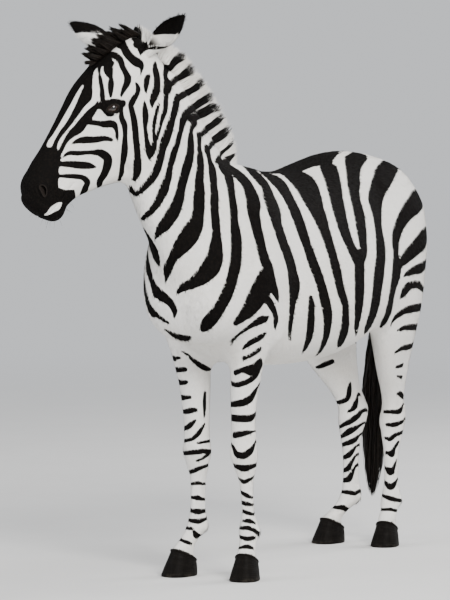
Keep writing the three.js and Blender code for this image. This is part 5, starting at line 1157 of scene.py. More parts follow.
def course(rows, step=0.006):
    """a smooth run of centres and half widths through the given points"""
    r = np.array(rows, float) / 1000
    if len(r) < 3:
        n = max(2, int(np.linalg.norm(r[-1, :3] - r[0, :3]) / step))
        return r[0] + (r[-1] - r[0]) * np.linspace(0, 1, n)[:, None]
    d = np.linalg.norm(np.diff(r[:, :3], axis=0), axis=1)
    t = np.append(0, np.cumsum(np.maximum(d, 1e-4)))
    n = max(4, int(t[-1] / step))
    k = np.linspace(0, t[-1], n)
    i = np.clip(np.searchsorted(t, k, side="right") - 1, 0, len(t) - 2)
    m = np.empty_like(r)
    sl = np.diff(r, axis=0) / np.diff(t)[:, None]
    h = np.diff(t)[:, None]
    m[0], m[-1] = sl[0], sl[-1]
    m[1:-1] = (h[1:] * sl[:-1] + h[:-1] * sl[1:]) / (h[1:] + h[:-1])
    hh = h[i]
    u = (k - t[i])[:, None] / hh
    return ((2 * u**3 - 3 * u**2 + 1) * r[i] + (u**3 - 2 * u**2 + u) * hh * m[i]
            + (-2 * u**3 + 3 * u**2) * r[i + 1] + (u**3 - u**2) * hh * m[i + 1])


def stroke_distance(P, c, reach=0.030):
    """distance from points to the edge of a stripe; far away it is left at reach"""
    out = np.full(len(P), reach)
    w = c[:, 3].max() + reach
    lo, hi = c[:, :3].min(0) - w, c[:, :3].max(0) + w
    m = np.nonzero(((P > lo) & (P < hi)).all(1))[0]
    if len(m) == 0:
        return out
    Q = P[m]
    best = np.full(len(Q), reach)
    for a, b in zip(c[:-1], c[1:]):
        ab = b[:3] - a[:3]
        q = Q - a[:3]
        t = np.clip(q @ ab / max(ab @ ab, 1e-12), 0, 1)
        d = q - t[:, None] * ab
        best = np.minimum(best, np.sqrt((d * d).sum(1)) - (a[3] + (b[3] - a[3]) * t))
    out[m] = best
    return out


def to_tables(c):
    c = c.copy()
    c[:, :3] += SHIFT
    return c


def head_to_tables(c):
    c = c.copy()
    c[:, :3] = POLL + HEAD_T * c[:, :1] + HEAD_B * c[:, 1:2] + HEAD_N * c[:, 2:3]
    return c


COURSES = {g: [(name, black, course(rows) if g == "head" else to_tables(course(rows))) for name, black, rows in STRIPES[g]]
           for g in STRIPES}
for g in ("flank", "neck"):
    for name, black, c in COURSES[g]:
        c[:, :3] = settle(c[:, :3], 2)
# the bars of the mane run on nearly to its edge
for name, black, c in COURSES["mane"]:
    if name != "bar8":
        n_ = 7
        tail_ = c[-1, :3] + (c[-1, :3] - c[-4, :3]) / np.linalg.norm(c[-1, :3] - c[-4, :3]) * 0.022
        c[-1, :3] = tail_

# bands of the lower legs, laid round each leg
TOWARD = unit(np.array([0.883, 0.469, 0.0]))
RIGHTWARD = np.array([-TOWARD[1], TOWARD[0], 0.0])
LEG_OF = {"fl": "foreleg_left", "fr": "foreleg_right", "hl": "hindleg_left", "hr": "hindleg_right"}


def band(tag, rows):
    r = np.array(rows, float)
    r[:, 2] += 1.9        # the hair closes in on the edges
    # a band that comes near the outline runs on round the leg
    first, last = r[0].copy(), r[-1].copy()
    if r[0, 1] < -72:
        first[0] += 0.35 * (r[0, 0] - r[1, 0]) * 0.5
        first[1] = -104
        r = np.vstack([first, r])
    if r[-1, 1] > 72:
        last[0] += 0.35 * (r[-1, 0] - r[-2, 0]) * 0.5
        last[1] = 104
        r = np.vstack([r, last])
    n = 4 * len(r) + 1
    k = np.linspace(0, len(r) - 1, n)
    z, f, w = [np.interp(k, np.arange(len(r)), r[:, j]) for j in range(3)]
    for _ in range(2):
        z[1:-1] = 0.5 * z[1:-1] + 0.25 * (z[2:] + z[:-2])
        w[1:-1] = 0.5 * w[1:-1] + 0.25 * (w[2:] + w[:-2])
    z, w = z / 1000, np.maximum(w / 1000, 0.0032)
    limb = legs[LEG_OF[tag]]
    (u0, v0, *_), _th = limb.values(-z)
    c = limb.at + limb.T * (-z)[:, None] + limb.B * u0[:, None] + limb.N * v0[:, None]
    a = np.where(np.abs(f) > 100, np.sign(f) * rad(97), np.arcsin(np.clip(f / 100, -1, 1)))
    P = c + 0.034 * (RIGHTWARD * np.sin(a)[:, None] + TOWARD * np.cos(a)[:, None])
    P = settle(P, 5)
    P[:, 2] = z
    return np.column_stack([P, w])


COURSES["leg"] += [(tag, 1, band(tag, rows)) for tag, rows in BANDS]
COURSES["head_out"] = [(n_, b_, head_to_tables(c)) for n_, b_, c in COURSES["head"]
                       if b_ and n_ in ("jaw0", "jaw1", "v1", "v2", "ear0", "ear1", "brow3", "brow4")]
# the haunch stripes run on round the back to the tail
AROUND = {
    "r1": [(-0.600, 0.120, 1.275, 0.026), (-0.640, 0.060, 1.222, 0.018), (-0.652, 0.024, 1.196, 0.010)],
    "r2": [(-0.640, 0.150, 1.165, 0.022), (-0.668, 0.070, 1.150, 0.015), (-0.680, 0.020, 1.142, 0.007)],
    "r3": [(-0.650, 0.160, 1.050, 0.022), (-0.690, 0.085, 1.062, 0.014), (-0.690, 0.028, 1.072, 0.006)],
    "r4": [(-0.640, 0.175, 0.950, 0.015), (-0.680, 0.095, 0.975, 0.011), (-0.670, 0.040, 0.990, 0.005)],
    "r5": [(-0.610, 0.160, 0.865, 0.014), (-0.640, 0.090, 0.880, 0.013), (-0.620, 0.045, 0.890, 0.006)],
    "r6": [(-0.600, 0.160, 0.800, 0.015), (-0.630, 0.095, 0.808, 0.012), (-0.610, 0.050, 0.812, 0.006)],
    "r7": [(-0.600, 0.150, 0.735, 0.013), (-0.620, 0.095, 0.740, 0.011), (-0.600, 0.050, 0.744, 0.006)],
    "r8": [(-0.610, 0.120, 0.672, 0.012), (-0.600, 0.070, 0.676, 0.010), (-0.570, 0.045, 0.680, 0.005)],
}
for name, rows in AROUND.items():
    base = next(c for n_, b_, c in COURSES["flank"] if n_ == name)
    r = np.array(rows)
    r[:, :3] = settle(r[:, :3], 3)
    ends = [base[0], base[-1]]
    tail_end = ends[0] if ends[0][0] < ends[1][0] else ends[1]
    before = base[-min(6, len(base))] if tail_end is ends[1] else base[min(5, len(base) - 1)]
    c = course(np.vstack([before, tail_end, r]) * 1000)
    if name != "r1":
        c[:, :3] = settle(c[:, :3], 8)
    COURSES["flank"].append((name + "_back", 1, c))
# the right hind leg stands differently, so its haunch stripes are laid on it
RIGHT_HAUNCH = []
for n_, b_, c in COURSES["flank"]:
    if n_[:2] in ("r4", "r5", "r6", "r7", "r8"):
        c = c.copy()
        c[:, 1] *= -1
        c[:, :3] = settle(c[:, :3], 8)
        RIGHT_HAUNCH.append(c)
# the dark line of the back, from the withers on to the tail
ridge_pts = []
for x in (0.36, 0.24, 0.10, -0.05, -0.20, -0.35, -0.45, -0.53, -0.59, -0.63):
    z = np.interp(x, [r[0] for r in TRUNK], [r[3] for r in TRUNK])
    ridge_pts.append((x, 0.0, z))
ridge_pts = settle(np.array(ridge_pts), 3)
BACK_LINE = np.column_stack([ridge_pts, np.interp(ridge_pts[:, 0], [-0.63, -0.45, 0.1, 0.36], [0.010, 0.019, 0.016, 0.006])])
COURSES["flank"].append(("back_line", 1, course(BACK_LINE * 1000)))
# bars of the tail and the line down its upper side
for i, z in enumerate((1.135, 1.100, 1.066, 1.032, 0.998, 0.964, 0.930, 0.896, 0.862)):
    row = dock.values(np.array([-z]))[0]
    y0, a, mid, top = float(row[0][0]), float(row[2][0]), float(row[1][0]), float(row[4][0])
    ring = []
    for w in np.radians([35, 70, 110, 145, 180, 215, 250, 290, 325]):
        ring.append((mid + top * math.cos(w), y0 + a * math.sin(w), z + 0.004 * math.cos(w * 2 + i), 0.0062 + 0.0012 * math.sin(i * 2.1)))
    COURSES["flank"].append(("tail%d" % i, 1, course(np.array(ring) * 1000)))

MUZZLE_V = np.array([-0.230, -0.179, -0.149, -0.120, -0.096, -0.080, -0.064, -0.059, -0.034, -0.009, 0.01])
MUZZLE_S = np.array([0.520, 0.504, 0.490, 0.510, 0.517, 0.492, 0.459, 0.440, 0.424, 0.428, 0.430])
NOSE_S = np.array([0.150, 0.219, 0.274, 0.339, 0.413, 0.450])
NOSE_U = np.array([0.040, 0.036, 0.034, 0.028, 0.022, 0.018])


def part_of_head(P):
    """1 on the head, 0 on the neck"""
    out = np.zeros(len(P))
    m = (P[:, 0] > 0.64) & (P[:, 2] > 1.05)
    if m.any():
        Q = P[m]
        h = np.minimum(head.distance(Q), Mound(on_head(0.22, 0.055 * 1, -0.195), [0.12, 0.034, 0.088], 0.04, HEAD_T, HEAD_B).distance(Q))
        h = np.minimum(h, Mound(on_head(0.22, -0.055, -0.195), [0.12, 0.034, 0.088], 0.04, HEAD_T, HEAD_B).distance(Q))
        out[m] = smoothstep(-0.006, 0.016, neck.distance(Q) - h)
    return out


def markings(P):
    side_right = P[:, 1] < 0
    # small irregularities of the edges, a little more on the far side
    W = np.stack([noise(P, 0.034, 11), noise(P, 0.034, 12), noise(P, 0.034, 13)], 1) * 0.0016
    far = np.stack([noise(P, 0.11, 21), noise(P, 0.11, 22), noise(P, 0.11, 23)], 1) * 0.007
    M = mirrored(P)
    direct = smoothstep(-0.125, -0.090, P[:, 1]) * smoothstep(0.44, 0.52, P[:, 0]) * smoothstep(0.60, 0.68, P[:, 2])
    # the crest of the neck answers to its own middle plane
    ns, nu, nv = neck.local(P)
    (u0, v0, *_), th = neck.values(ns)
    rise = (nv - v0) * np.cos(th) - (nu - u0) * np.sin(th)
    direct = direct * np.where(ns > 0.05, smoothstep(0.04, -0.06, rise), 1.0)
    low_chest = smoothstep(0.34, 0.39, P[:, 0]) * smoothstep(0.58, 0.62, P[:, 2]) * smoothstep(0.78, 0.73, P[:, 2])
    direct = np.maximum(direct, low_chest * smoothstep(-0.150, -0.125, P[:, 1]))
    on_left = np.where(side_right, direct, 1.0)
    Qd, Qm = P + W, M + W + far * smoothstep(0.0, -0.10, P[:, 1])[:, None]
    hs, hu, hv = head_local(P)
    w_head = part_of_head(P)

    body = np.full(len(P), 0.030)
    for k, (Q, use) in enumerate(((Qd, on_left > 0), (Qm, on_left < 1))):
        d = np.full(len(P), 0.030)
        idx = np.nonzero(use)[0]
        q = Q[idx]
        e = np.full(len(idx), 0.030)
        for g in ("flank", "neck", "head_out"):
            for name, black, c in COURSES[g]:
                x = stroke_distance(q, c)
                e = np.minimum(e, x) if black else np.maximum(e, -x)
        d[idx] = e
        w = on_left if k == 0 else 1 - on_left
        body = d * w if k == 0 else body + d * w
    idx = np.nonzero(side_right & (P[:, 0] < -0.2))[0]
    for c in RIGHT_HAUNCH:
        body[idx] = np.minimum(body[idx], stroke_distance(P[idx] + W[idx] + far[idx] * 0.5, c))
    # the legs; on the side away from the seen one the bands come round in mirror image
    leg_d = np.full(len(P), 0.030)
    toward = TOWARD
    for key, tag in (("foreleg_left", "fl"), ("foreleg_right", "fr"), ("hindleg_left", "hl"), ("hindleg_right", "hr")):
        leg = LEGS[key]
        fore, left = key.startswith("fore"), key.endswith("left")
        idx = np.nonzero((P[:, 2] < 0.84) & ((P[:, 0] > -0.05) == fore) & ((P[:, 1] > 0) == left))[0]
        if len(idx) == 0:
            continue
        p = P[idx]
        limb = legs[key]
        (u0, v0, *_), _th = limb.values(-p[:, 2])
        c = limb.at + limb.T * (-p[:, 2])[:, None] + limb.B * u0[:, None] + limb.N * v0[:, None]
        rel = p - c
        rel[:, 2] = 0
        f = rel @ toward
        q = p - 2 * np.minimum(f, 0)[:, None] * toward
        q[:, 2] += 0.010 * noise(p, 0.09, 31) * (f < 0)
        q = q + W[idx]
        e = np.full(len(idx), 0.030)
        for name, black, cc in COURSES["leg"]:
            if name == tag:
                e = np.minimum(e, stroke_distance(q, cc))
        if left:
            low = p[:, 2] < 0.62
            for name, black, cc in COURSES["flank"]:
                if name in ("r8", "r9", "r10", "r8_back") and not fore:
                    e = np.minimum(e, np.where(low, stroke_distance(q, cc), 0.030))
        else:
            # the upper leg answers to the left one
            other = LEGS[key.replace("right", "left")]
            lo, lf = leg_frame(other)
            ro, rf = leg_frame(leg)
            loc_u, loc_f = (p - limb.at) @ ro, (p - limb.at) @ rf
            z = p[:, 2]
            ll = legs[key.replace("right", "left")]
            (lu0, lv0, *_), _t2 = ll.values(-z)
            g = ll.at + lo * (loc_u - u0 + lu0)[:, None] + lf * (loc_f - v0 + lv0)[:, None]
            g[:, 2] = z
            g += W[idx] + far[idx]
            e2 = np.full(len(idx), 0.030)
            for name, black, cc in COURSES["leg"]:
                if name == ("fl" if fore else "hl"):
                    e2 = np.minimum(e2, stroke_distance(g, cc))
            up = smoothstep(0.50, 0.58, z) * smoothstep(0.010, -0.015, f) * (rel @ ro > -0.02)
            e = e * (1 - up) + e2 * up
        leg_d[idx] = np.minimum(leg_d[idx], e)
    body = np.minimum(body, leg_d)

    # the head, in its own measures
    idx = np.nonzero((w_head > 0))[0]
    if len(idx):
        s, u, v = hs[idx], np.abs(hu[idx]), hv[idx]
        h = np.stack([s, u, v], 1) + W[idx] * 0.5 + far[idx] * 0.35 * (hu[idx] < 0)[:, None]
        e = np.full(len(idx), 0.030)
        for name, black, c in COURSES["head"]:
            x = stroke_distance(h, c)
            if black:
                e = np.minimum(e, x)
        e = np.minimum(e, np.maximum(body[idx], 0.25 * (s - 0.1)))
        ridge = u - (np.interp(s, NOSE_S, NOSE_U) - 0.006)
        ridge = np.maximum(ridge, np.maximum(0.105 - s, -v - 0.045))
        e = np.minimum(e, ridge)
        # white gaps are cut in here, all but the painted highlight on the lips
        for name, black, c in COURSES["head"]:
            if not black and name != "lip":
                e = np.maximum(e, -stroke_distance(h, c))
        e = smooth_min(e, (np.interp(v, MUZZLE_V, MUZZLE_S) + 0.002 - s) * 0.85, 0.010)
        # the dark lids
        at = np.array([EYE_AT[0], EYE_AT[1], EYE_AT[2]])
        a = h @ np.array([-0.50, 0.0, -0.87]) - at @ np.array([-0.50, 0.0, -0.87])
        b = h @ np.array([-0.87, 0.0, 0.50]) - at @ np.array([-0.87, 0.0, 0.50])
        lid = (np.hypot((a - 0.002) / 0.030, (b - 0.002) / 0.0185) - 1) * 0.0185
        e = np.where(u > 0.05, np.minimum(e, lid), e)
        # the painted highlight on the lips is cut in last, as a white gap over the dark muzzle
        for name, black, c in COURSES["head"]:
            if name == "lip":
                e = np.maximum(e, -stroke_distance(h, c))
        body[idx] = body[idx] * (1 - w_head[idx]) + e * w_head[idx]
    # a dark rim above the hooves, along the slope of the coronet
    for key, leg in LEGS.items():
        m = np.nonzero((P[:, 2] < 0.2) & ((P[:, 0] > -0.05) == key.startswith("fore")) & ((P[:, 1] > 0) == key.endswith("left")))[0]
        out, front = leg_frame(leg)
        f = (P[m] - np.array([*leg["foot"], 0.0])) @ front
        body[m] = np.minimum(body[m], P[m, 2] - (CORONET_Z + CORONET_SLOPE * f) - 0.010)
    return body


# ------------------------------------------------------- into Blender's meshes
def add_mesh(name, V, T, values=None, vectors=None, uv=None, smooth=True, at_tables=True):
    V = np.asarray(V, float)
    if at_tables:
        V = V - SHIFT
    T = np.asarray(T, np.int64)
    k = T.shape[1]
    me = bpy.data.meshes.new(name)
    me.vertices.add(len(V))
    me.vertices.foreach_set("co", V.astype(np.float32).ravel())
    me.loops.add(len(T) * k)
    me.loops.foreach_set("vertex_index", T.astype(np.int32).ravel())
    me.polygons.add(len(T))
    me.polygons.foreach_set("loop_start", (np.arange(len(T)) * k).astype(np.int32))
    me.polygons.foreach_set("loop_total", np.full(len(T), k, np.int32))
    me.polygons.foreach_set("use_smooth", np.full(len(T), smooth, bool))
    for key, data in (values or {}).items():
        a = me.attributes.new(key, "FLOAT", "POINT")
        a.data.foreach_set("value", np.asarray(data, np.float32))
    for key, data in (vectors or {}).items():
        a = me.attributes.new(key, "FLOAT_VECTOR", "POINT")
        a.data.foreach_set("vector", np.asarray(data, np.float32).ravel())
    if uv is not None:
        layer = me.uv_layers.new(name="OFBake")
        layer.data.foreach_set("uv", np.asarray(uv, np.float32).ravel())
    me.update(calc_edges=True)
    me.validate(clean_customdata=False)
    ob = bpy.data.objects.new(name, me)
    bpy.context.scene.collection.objects.link(ob)
    return ob


def vertex_normals(V, T):
    n = np.cross(V[T[:, 1]] - V[T[:, 0]], V[T[:, 2]] - V[T[:, 0]])
    out = np.zeros_like(V)
    for k in range(3):
        for j in range(3):
            out[:, j] += np.bincount(T[:, k], n[:, j], len(V))
    return unit(out)


# ------------------------------------------------------------------ materials
class Shader:
    """a small helper that strings nodes together"""

    def __init__(self, name):
        self.mat = bpy.data.materials.new(name)
        self.mat.use_nodes = True
        self.t = self.mat.node_tree
        self.t.nodes.clear()
        self.out = self.t.nodes.new("ShaderNodeOutputMaterial")
        self.b = self.t.nodes.new("ShaderNodeBsdfPrincipled")
        self.t.links.new(self.b.outputs[0], self.out.inputs[0])

    def node(self, kind, **sets):
        n = self.t.nodes.new(kind)
        for k, v in sets.items():
            setattr(n, k, v)
        return n

    def put(self, socket, value):
        if isinstance(value, bpy.types.NodeSocket):
            self.t.links.new(value, socket)
        else:
            socket.default_value = value

    def attribute(self, name, vector=False):
        n = self.node("ShaderNodeAttribute", attribute_name=name)
        return n.outputs["Vector" if vector else "Fac"]

    def place(self):
        return self.node("ShaderNodeTexCoord").outputs["Object"]

    def math(self, op, a, b=0.0, c=None, clamp=False):
        n = self.node("ShaderNodeMath", operation=op, use_clamp=clamp)
        self.put(n.inputs[0], a)
        self.put(n.inputs[1], b)
        if c is not None:
            self.put(n.inputs[2], c)
        return n.outputs[0]

    def vmath(self, op, a, b=(0, 0, 0)):
        n = self.node("ShaderNodeVectorMath", operation=op)
        self.put(n.inputs[0], a)
        self.put(n.inputs[1], b)
        return n.outputs["Value" if op in ("DOT_PRODUCT", "LENGTH") else "Vector"]

    def noise(self, at, scale, detail=2.0, rough=0.5, distortion=0.0):
        n = self.node("ShaderNodeTexNoise")
        self.put(n.inputs["Vector"], at)
        n.inputs["Scale"].default_value = scale
        n.inputs["Detail"].default_value = detail
        n.inputs["Roughness"].default_value = rough
        n.inputs["Distortion"].default_value = distortion
        return n.outputs["Fac"]

    def ramp(self, x, a, b, lo=0.0, hi=1.0, kind="SMOOTHSTEP"):
        n = self.node("ShaderNodeMapRange", interpolation_type=kind)
        self.put(n.inputs["Value"], x)
        n.inputs["From Min"].default_value = a
        n.inputs["From Max"].default_value = b
        n.inputs["To Min"].default_value = lo
        n.inputs["To Max"].default_value = hi
        return n.outputs["Result"]

    def mix(self, f, a, b):
        n = self.node("ShaderNodeMix", data_type="RGBA")
        self.put(n.inputs[0], f)
        self.put(n.inputs[6], a)
        self.put(n.inputs[7], b)
        return n.outputs[2]

    def bump(self, height, strength, distance, over=None):
        n = self.node("ShaderNodeBump")
        n.inputs["Strength"].default_value = strength
        n.inputs["Distance"].default_value = distance
        self.put(n.inputs["Height"], height)
        if over is not None:
            self.put(n.inputs["Normal"], over)
        return n.outputs["Normal"]

    def set(self, **kw):
        for k, v in kw.items():
            self.put(self.b.inputs[k.replace("_", " ")], v)
        return self.mat


WHITE = (0.830, 0.815, 0.785, 1)
WHITE_WARM = (0.745, 0.705, 0.640, 1)
BLACK = (0.0042, 0.0038, 0.0036, 1)
BLACK_WARM = (0.0100, 0.0078, 0.0062, 1)


def coat_colour(sh, grain, soft=0.0011, wobble=0.0020):
    """black and white by the stripe value, with hair-fine edges"""
    p = sh.place()
    edge = sh.noise(p, 420, 3.0, 0.6)
    shift = sh.math("MULTIPLY", sh.math("SUBTRACT", edge, 0.5), wobble * 2)
    d = sh.math("ADD", sh.attribute("stripe"), shift)
    white = sh.ramp(d, -soft, soft)
    broad = sh.noise(p, 5.5, 3.0, 0.55)
    fine = sh.noise(p, 160, 2.0, 0.6)
    w = sh.mix(sh.math("MULTIPLY", sh.ramp(broad, 0.35, 0.75), 0.40), WHITE, WHITE_WARM)
    w = sh.mix(sh.math("MULTIPLY", sh.ramp(grain, 0.62, 0.30), 0.22), w, (0.42, 0.385, 0.335, 1))
    k = sh.mix(sh.math("MULTIPLY", sh.ramp(fine, 0.40, 0.75), 0.55), BLACK, BLACK_WARM)
    return sh.mix(white, k, w), white


def directed_grain(sh, scale):
    """fine hair grain drawn out along the lie of the coat, part by part"""
    p = sh.place()
    total = None
    for name, d in LIES.items():
        d = np.array(d)
        a = unit(np.cross(d, [0.31, 0.22, 0.92]))
        b = np.cross(d, a)
        x = sh.math("MULTIPLY", sh.vmath("DOT_PRODUCT", p, tuple(d)), 0.13)
        y = sh.vmath("DOT_PRODUCT", p, tuple(a))
        z = sh.vmath("DOT_PRODUCT", p, tuple(b))
        c = sh.node("ShaderNodeCombineXYZ")
        sh.put(c.inputs[0], x)
        sh.put(c.inputs[1], y)
        sh.put(c.inputs[2], z)
        n = sh.noise(c.outputs[0], scale, 2.5, 0.6)
        part = sh.math("MULTIPLY", n, sh.attribute("lie_" + name))
        total = part if total is None else sh.math("ADD", total, part)
    return total


LIES = {"trunk": unit([-0.86, 0.0, -0.50]), "neck": -neck.T * 0.9 + np.array([0, 0, -0.25]),
        "head": HEAD_T, "leg": np.array([0.0, 0.0, -1.0])}
LIES = {k: unit(v) for k, v in LIES.items()}


def lie_weights(P):
    s, u, v = head_local(P)
    n = neck.local(P)[0]
    h = part_of_head(P)
    k = smoothstep(-0.02, 0.10, n) * smoothstep(0.42, 0.56, P[:, 0]) * (1 - h)
    l = smoothstep(0.80, 0.62, P[:, 2]) * (1 - h) * (1 - k)
    return {"head": h, "neck": k, "leg": l, "trunk": 1 - h - k - l}


def skin_material():
    sh = Shader("coat_skin")
    grain = directed_grain(sh, 560)
    colour, white = coat_colour(sh, grain)
    naked = sh.attribute("bare")
    p = sh.place()
    pores = sh.noise(p, 900, 2.0, 0.5)
    hide = sh.mix(sh.ramp(pores, 0.35, 0.7), (0.0085, 0.0070, 0.0064, 1), (0.0205, 0.0165, 0.0140, 1))
    colour = sh.mix(sh.ramp(naked, 0.25, 0.8), colour, hide)
    rough = sh.mix(sh.ramp(naked, 0.25, 0.8), (0.72, 0.72, 0.72, 1), (0.42, 0.42, 0.42, 1))
    n = sh.bump(grain, 0.55, 0.0016)
    n = sh.bump(pores, 0.10, 0.0008, n)
    sh.set(Base_Color=colour, Roughness=rough, Normal=n, Sheen_Weight=0.0)
    sh.b.inputs["Specular IOR Level"].default_value = 0.025
    return sh.mat


# -------------------------------------------------------------- hair as meshes
def locks(root, way, bend, length, width, thick, side, steps, tip=0.10, belly=0.35):
    """closed tapering locks of three sides; returns vertices, triangles, share
    along, place across (-1..1) and the number of vertices in each lock"""
    n = len(root)
    length, width, thick = [np.broadcast_to(x, (n,)) for x in (length, width, thick)]
    t = np.linspace(0, 1, steps + 1)
    way = unit(way)
    pos = (root[:, None] + way[:, None] * (length[:, None] * t)[:, :, None]
           + bend[:, None] * (length[:, None] * t**2)[:, :, None])
    tangent = unit(way[:, None] + 2 * bend[:, None] * t[None, :, None])
    sd = side[:, None] - (tangent * side[:, None]).sum(-1, keepdims=True) * tangent
    sd = unit(sd)
    nr = np.cross(tangent, sd)
    shape = (0.72 + belly * np.sin(math.pi * np.minimum(t * 1.25, 1)**0.8)) * (1 - (1 - tip) * np.clip((t - 0.25) / 0.75, 0, 1)**1.4)
    w, k = width[:, None] * shape, thick[:, None] * shape
    ring = np.stack([pos - sd * w[..., None] - nr * (k * 0.35)[..., None],
                     pos + sd * w[..., None] - nr * (k * 0.35)[..., None],
                     pos + nr * (k * 0.75)[..., None]], 2)[:, :steps]          # n, steps, 3, 3
    V = np.concatenate([ring.reshape(n, steps * 3, 3), pos[:, -1:]], 1)
    m = steps * 3 + 1
    F = [(0, 1, 2)]
    for i in range(steps - 1):
        for j in range(3):
            a, b = i * 3 + j, i * 3 + (j + 1) % 3
            F += [(a, a + 3, b + 3), (a, b + 3, b)]
    for j in range(3):
        F.append(((steps - 1) * 3 + j, m - 1, (steps - 1) * 3 + (j + 1) % 3))
    F = (np.array(F)[None] + (np.arange(n) * m)[:, None, None]).reshape(-1, 3)
    along = np.append(np.repeat(t[:steps], 3), 1.0)
    across = np.append(np.tile([-1.0, 1.0, 0.0], steps), 0.0)
    return V.reshape(-1, 3), F, along, across, m


def patch_uv(F, spot, m, along, across, size=0.003):
    """each lock as a small patch at its root's place on the unwrap"""
    uv = np.repeat(spot, m, 0)
    uv[:, 0] += np.tile((across * 0.5 + 0.5) * size, len(spot))
    uv[:, 1] += np.tile(along * size, len(spot))
    return uv[F.ravel()]


def strew(count, seed):
    """evenly strewn points of the unit square"""
    i = np.arange(count) + seed * 17
    return np.stack([(i * 0.7548776662466927) % 1.0, (i * 0.5698402909980532) % 1.0], 1)


def hair_material(name, soft=0.0016, wobble=0.0022):
    sh = Shader(name)
    p = sh.place()
    strand = sh.noise(p, 700, 2.0, 0.6)
    colour, white = coat_colour(sh, strand, soft, wobble)
    tone = sh.attribute("tone")
    colour = sh.mix(sh.math("MULTIPLY", sh.math("MULTIPLY", tone, 0.22), white), colour, (0.34, 0.30, 0.25, 1))
    sh.set(Base_Color=colour, Roughness=0.62, Normal=sh.bump(strand, 0.3, 0.0008))
    sh.b.inputs["Specular IOR Level"].default_value = 0.05
    return sh.mat


def dark_hair_material(name):
    sh = Shader(name)
    p = sh.place()
    strand = sh.noise(p, 500, 3.0, 0.6)
    tone = sh.attribute("tone")
    c = sh.mix(sh.ramp(strand, 0.35, 0.75), (0.0045, 0.0040, 0.0037, 1), (0.0130, 0.0098, 0.0078, 1))
    c = sh.mix(sh.math("MULTIPLY", tone, 0.4), c, (0.026, 0.019, 0.014, 1))
    sh.set(Base_Color=c, Roughness=0.48, Normal=sh.bump(strand, 0.35, 0.0008))
    sh.b.inputs["Specular IOR Level"].default_value = 0.08
    return sh.mat


# -------------------------------------------------------------- the skin piece
N = vertex_normals(V, T)
stripe = markings(V)
for name, (start, n_) in ear_rows.items():
    # the ears are black from the middle to the tip
    e = slice(start + 3 * n_, start + 36 * n_ + 1)
    edge = (1.684 if name == "left" else 1.689) + 0.003 * noise(V[e], 0.022, 51)
    stripe[e] = np.minimum(stripe[e], edge - V[e, 2])
    # a dark band goes along the lower rim, from the root of the ear
    e = slice(start, start + 23 * n_)
    root, axis, opens, across, t0 = ear_lines[name]
    q = V[e] - root
    t = (q @ axis) / EAR_LENGTH
    w = np.degrees(np.arctan2(q @ across, -(q @ opens))) * (1 if name == "left" else -1)
    w = np.where((w < 0) & (t < 0.12), 360 + w, w)
    R = np.interp(t, EAR_ROWS[:, 0], EAR_ROWS[:, 1])
    band_at = np.interp(t, [-0.05, 0.0, 0.1, 0.2, 0.3, 0.40], [180, 170, 134, 108, 88, 76])
    half = np.interp(t, [-0.10, 0.0, 0.1, 0.2, 0.3, 0.38, 0.40], [12, 12, 11, 9.5, 7, 2, -9]) / 1000
    stripe[e] = np.minimum(stripe[e], np.radians(np.abs(w - band_at)) * R - half + 0.001 * noise(V[e], 0.02, 52))
lies = lie_weights(V)
skin = add_mesh("skin", V, T, {"stripe": stripe, "bare": bare, **{"lie_" + k: w for k, w in lies.items()}})
skin.data.materials.append(skin_material())
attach(skin, "root")
FLESH = [n for n in ("trunk", "neck", "head", "foreleg_left", "foreleg_right", "hindleg_left", "hindleg_right",
                     "ear_left", "ear_right", "tail_dock")]
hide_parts(*FLESH)


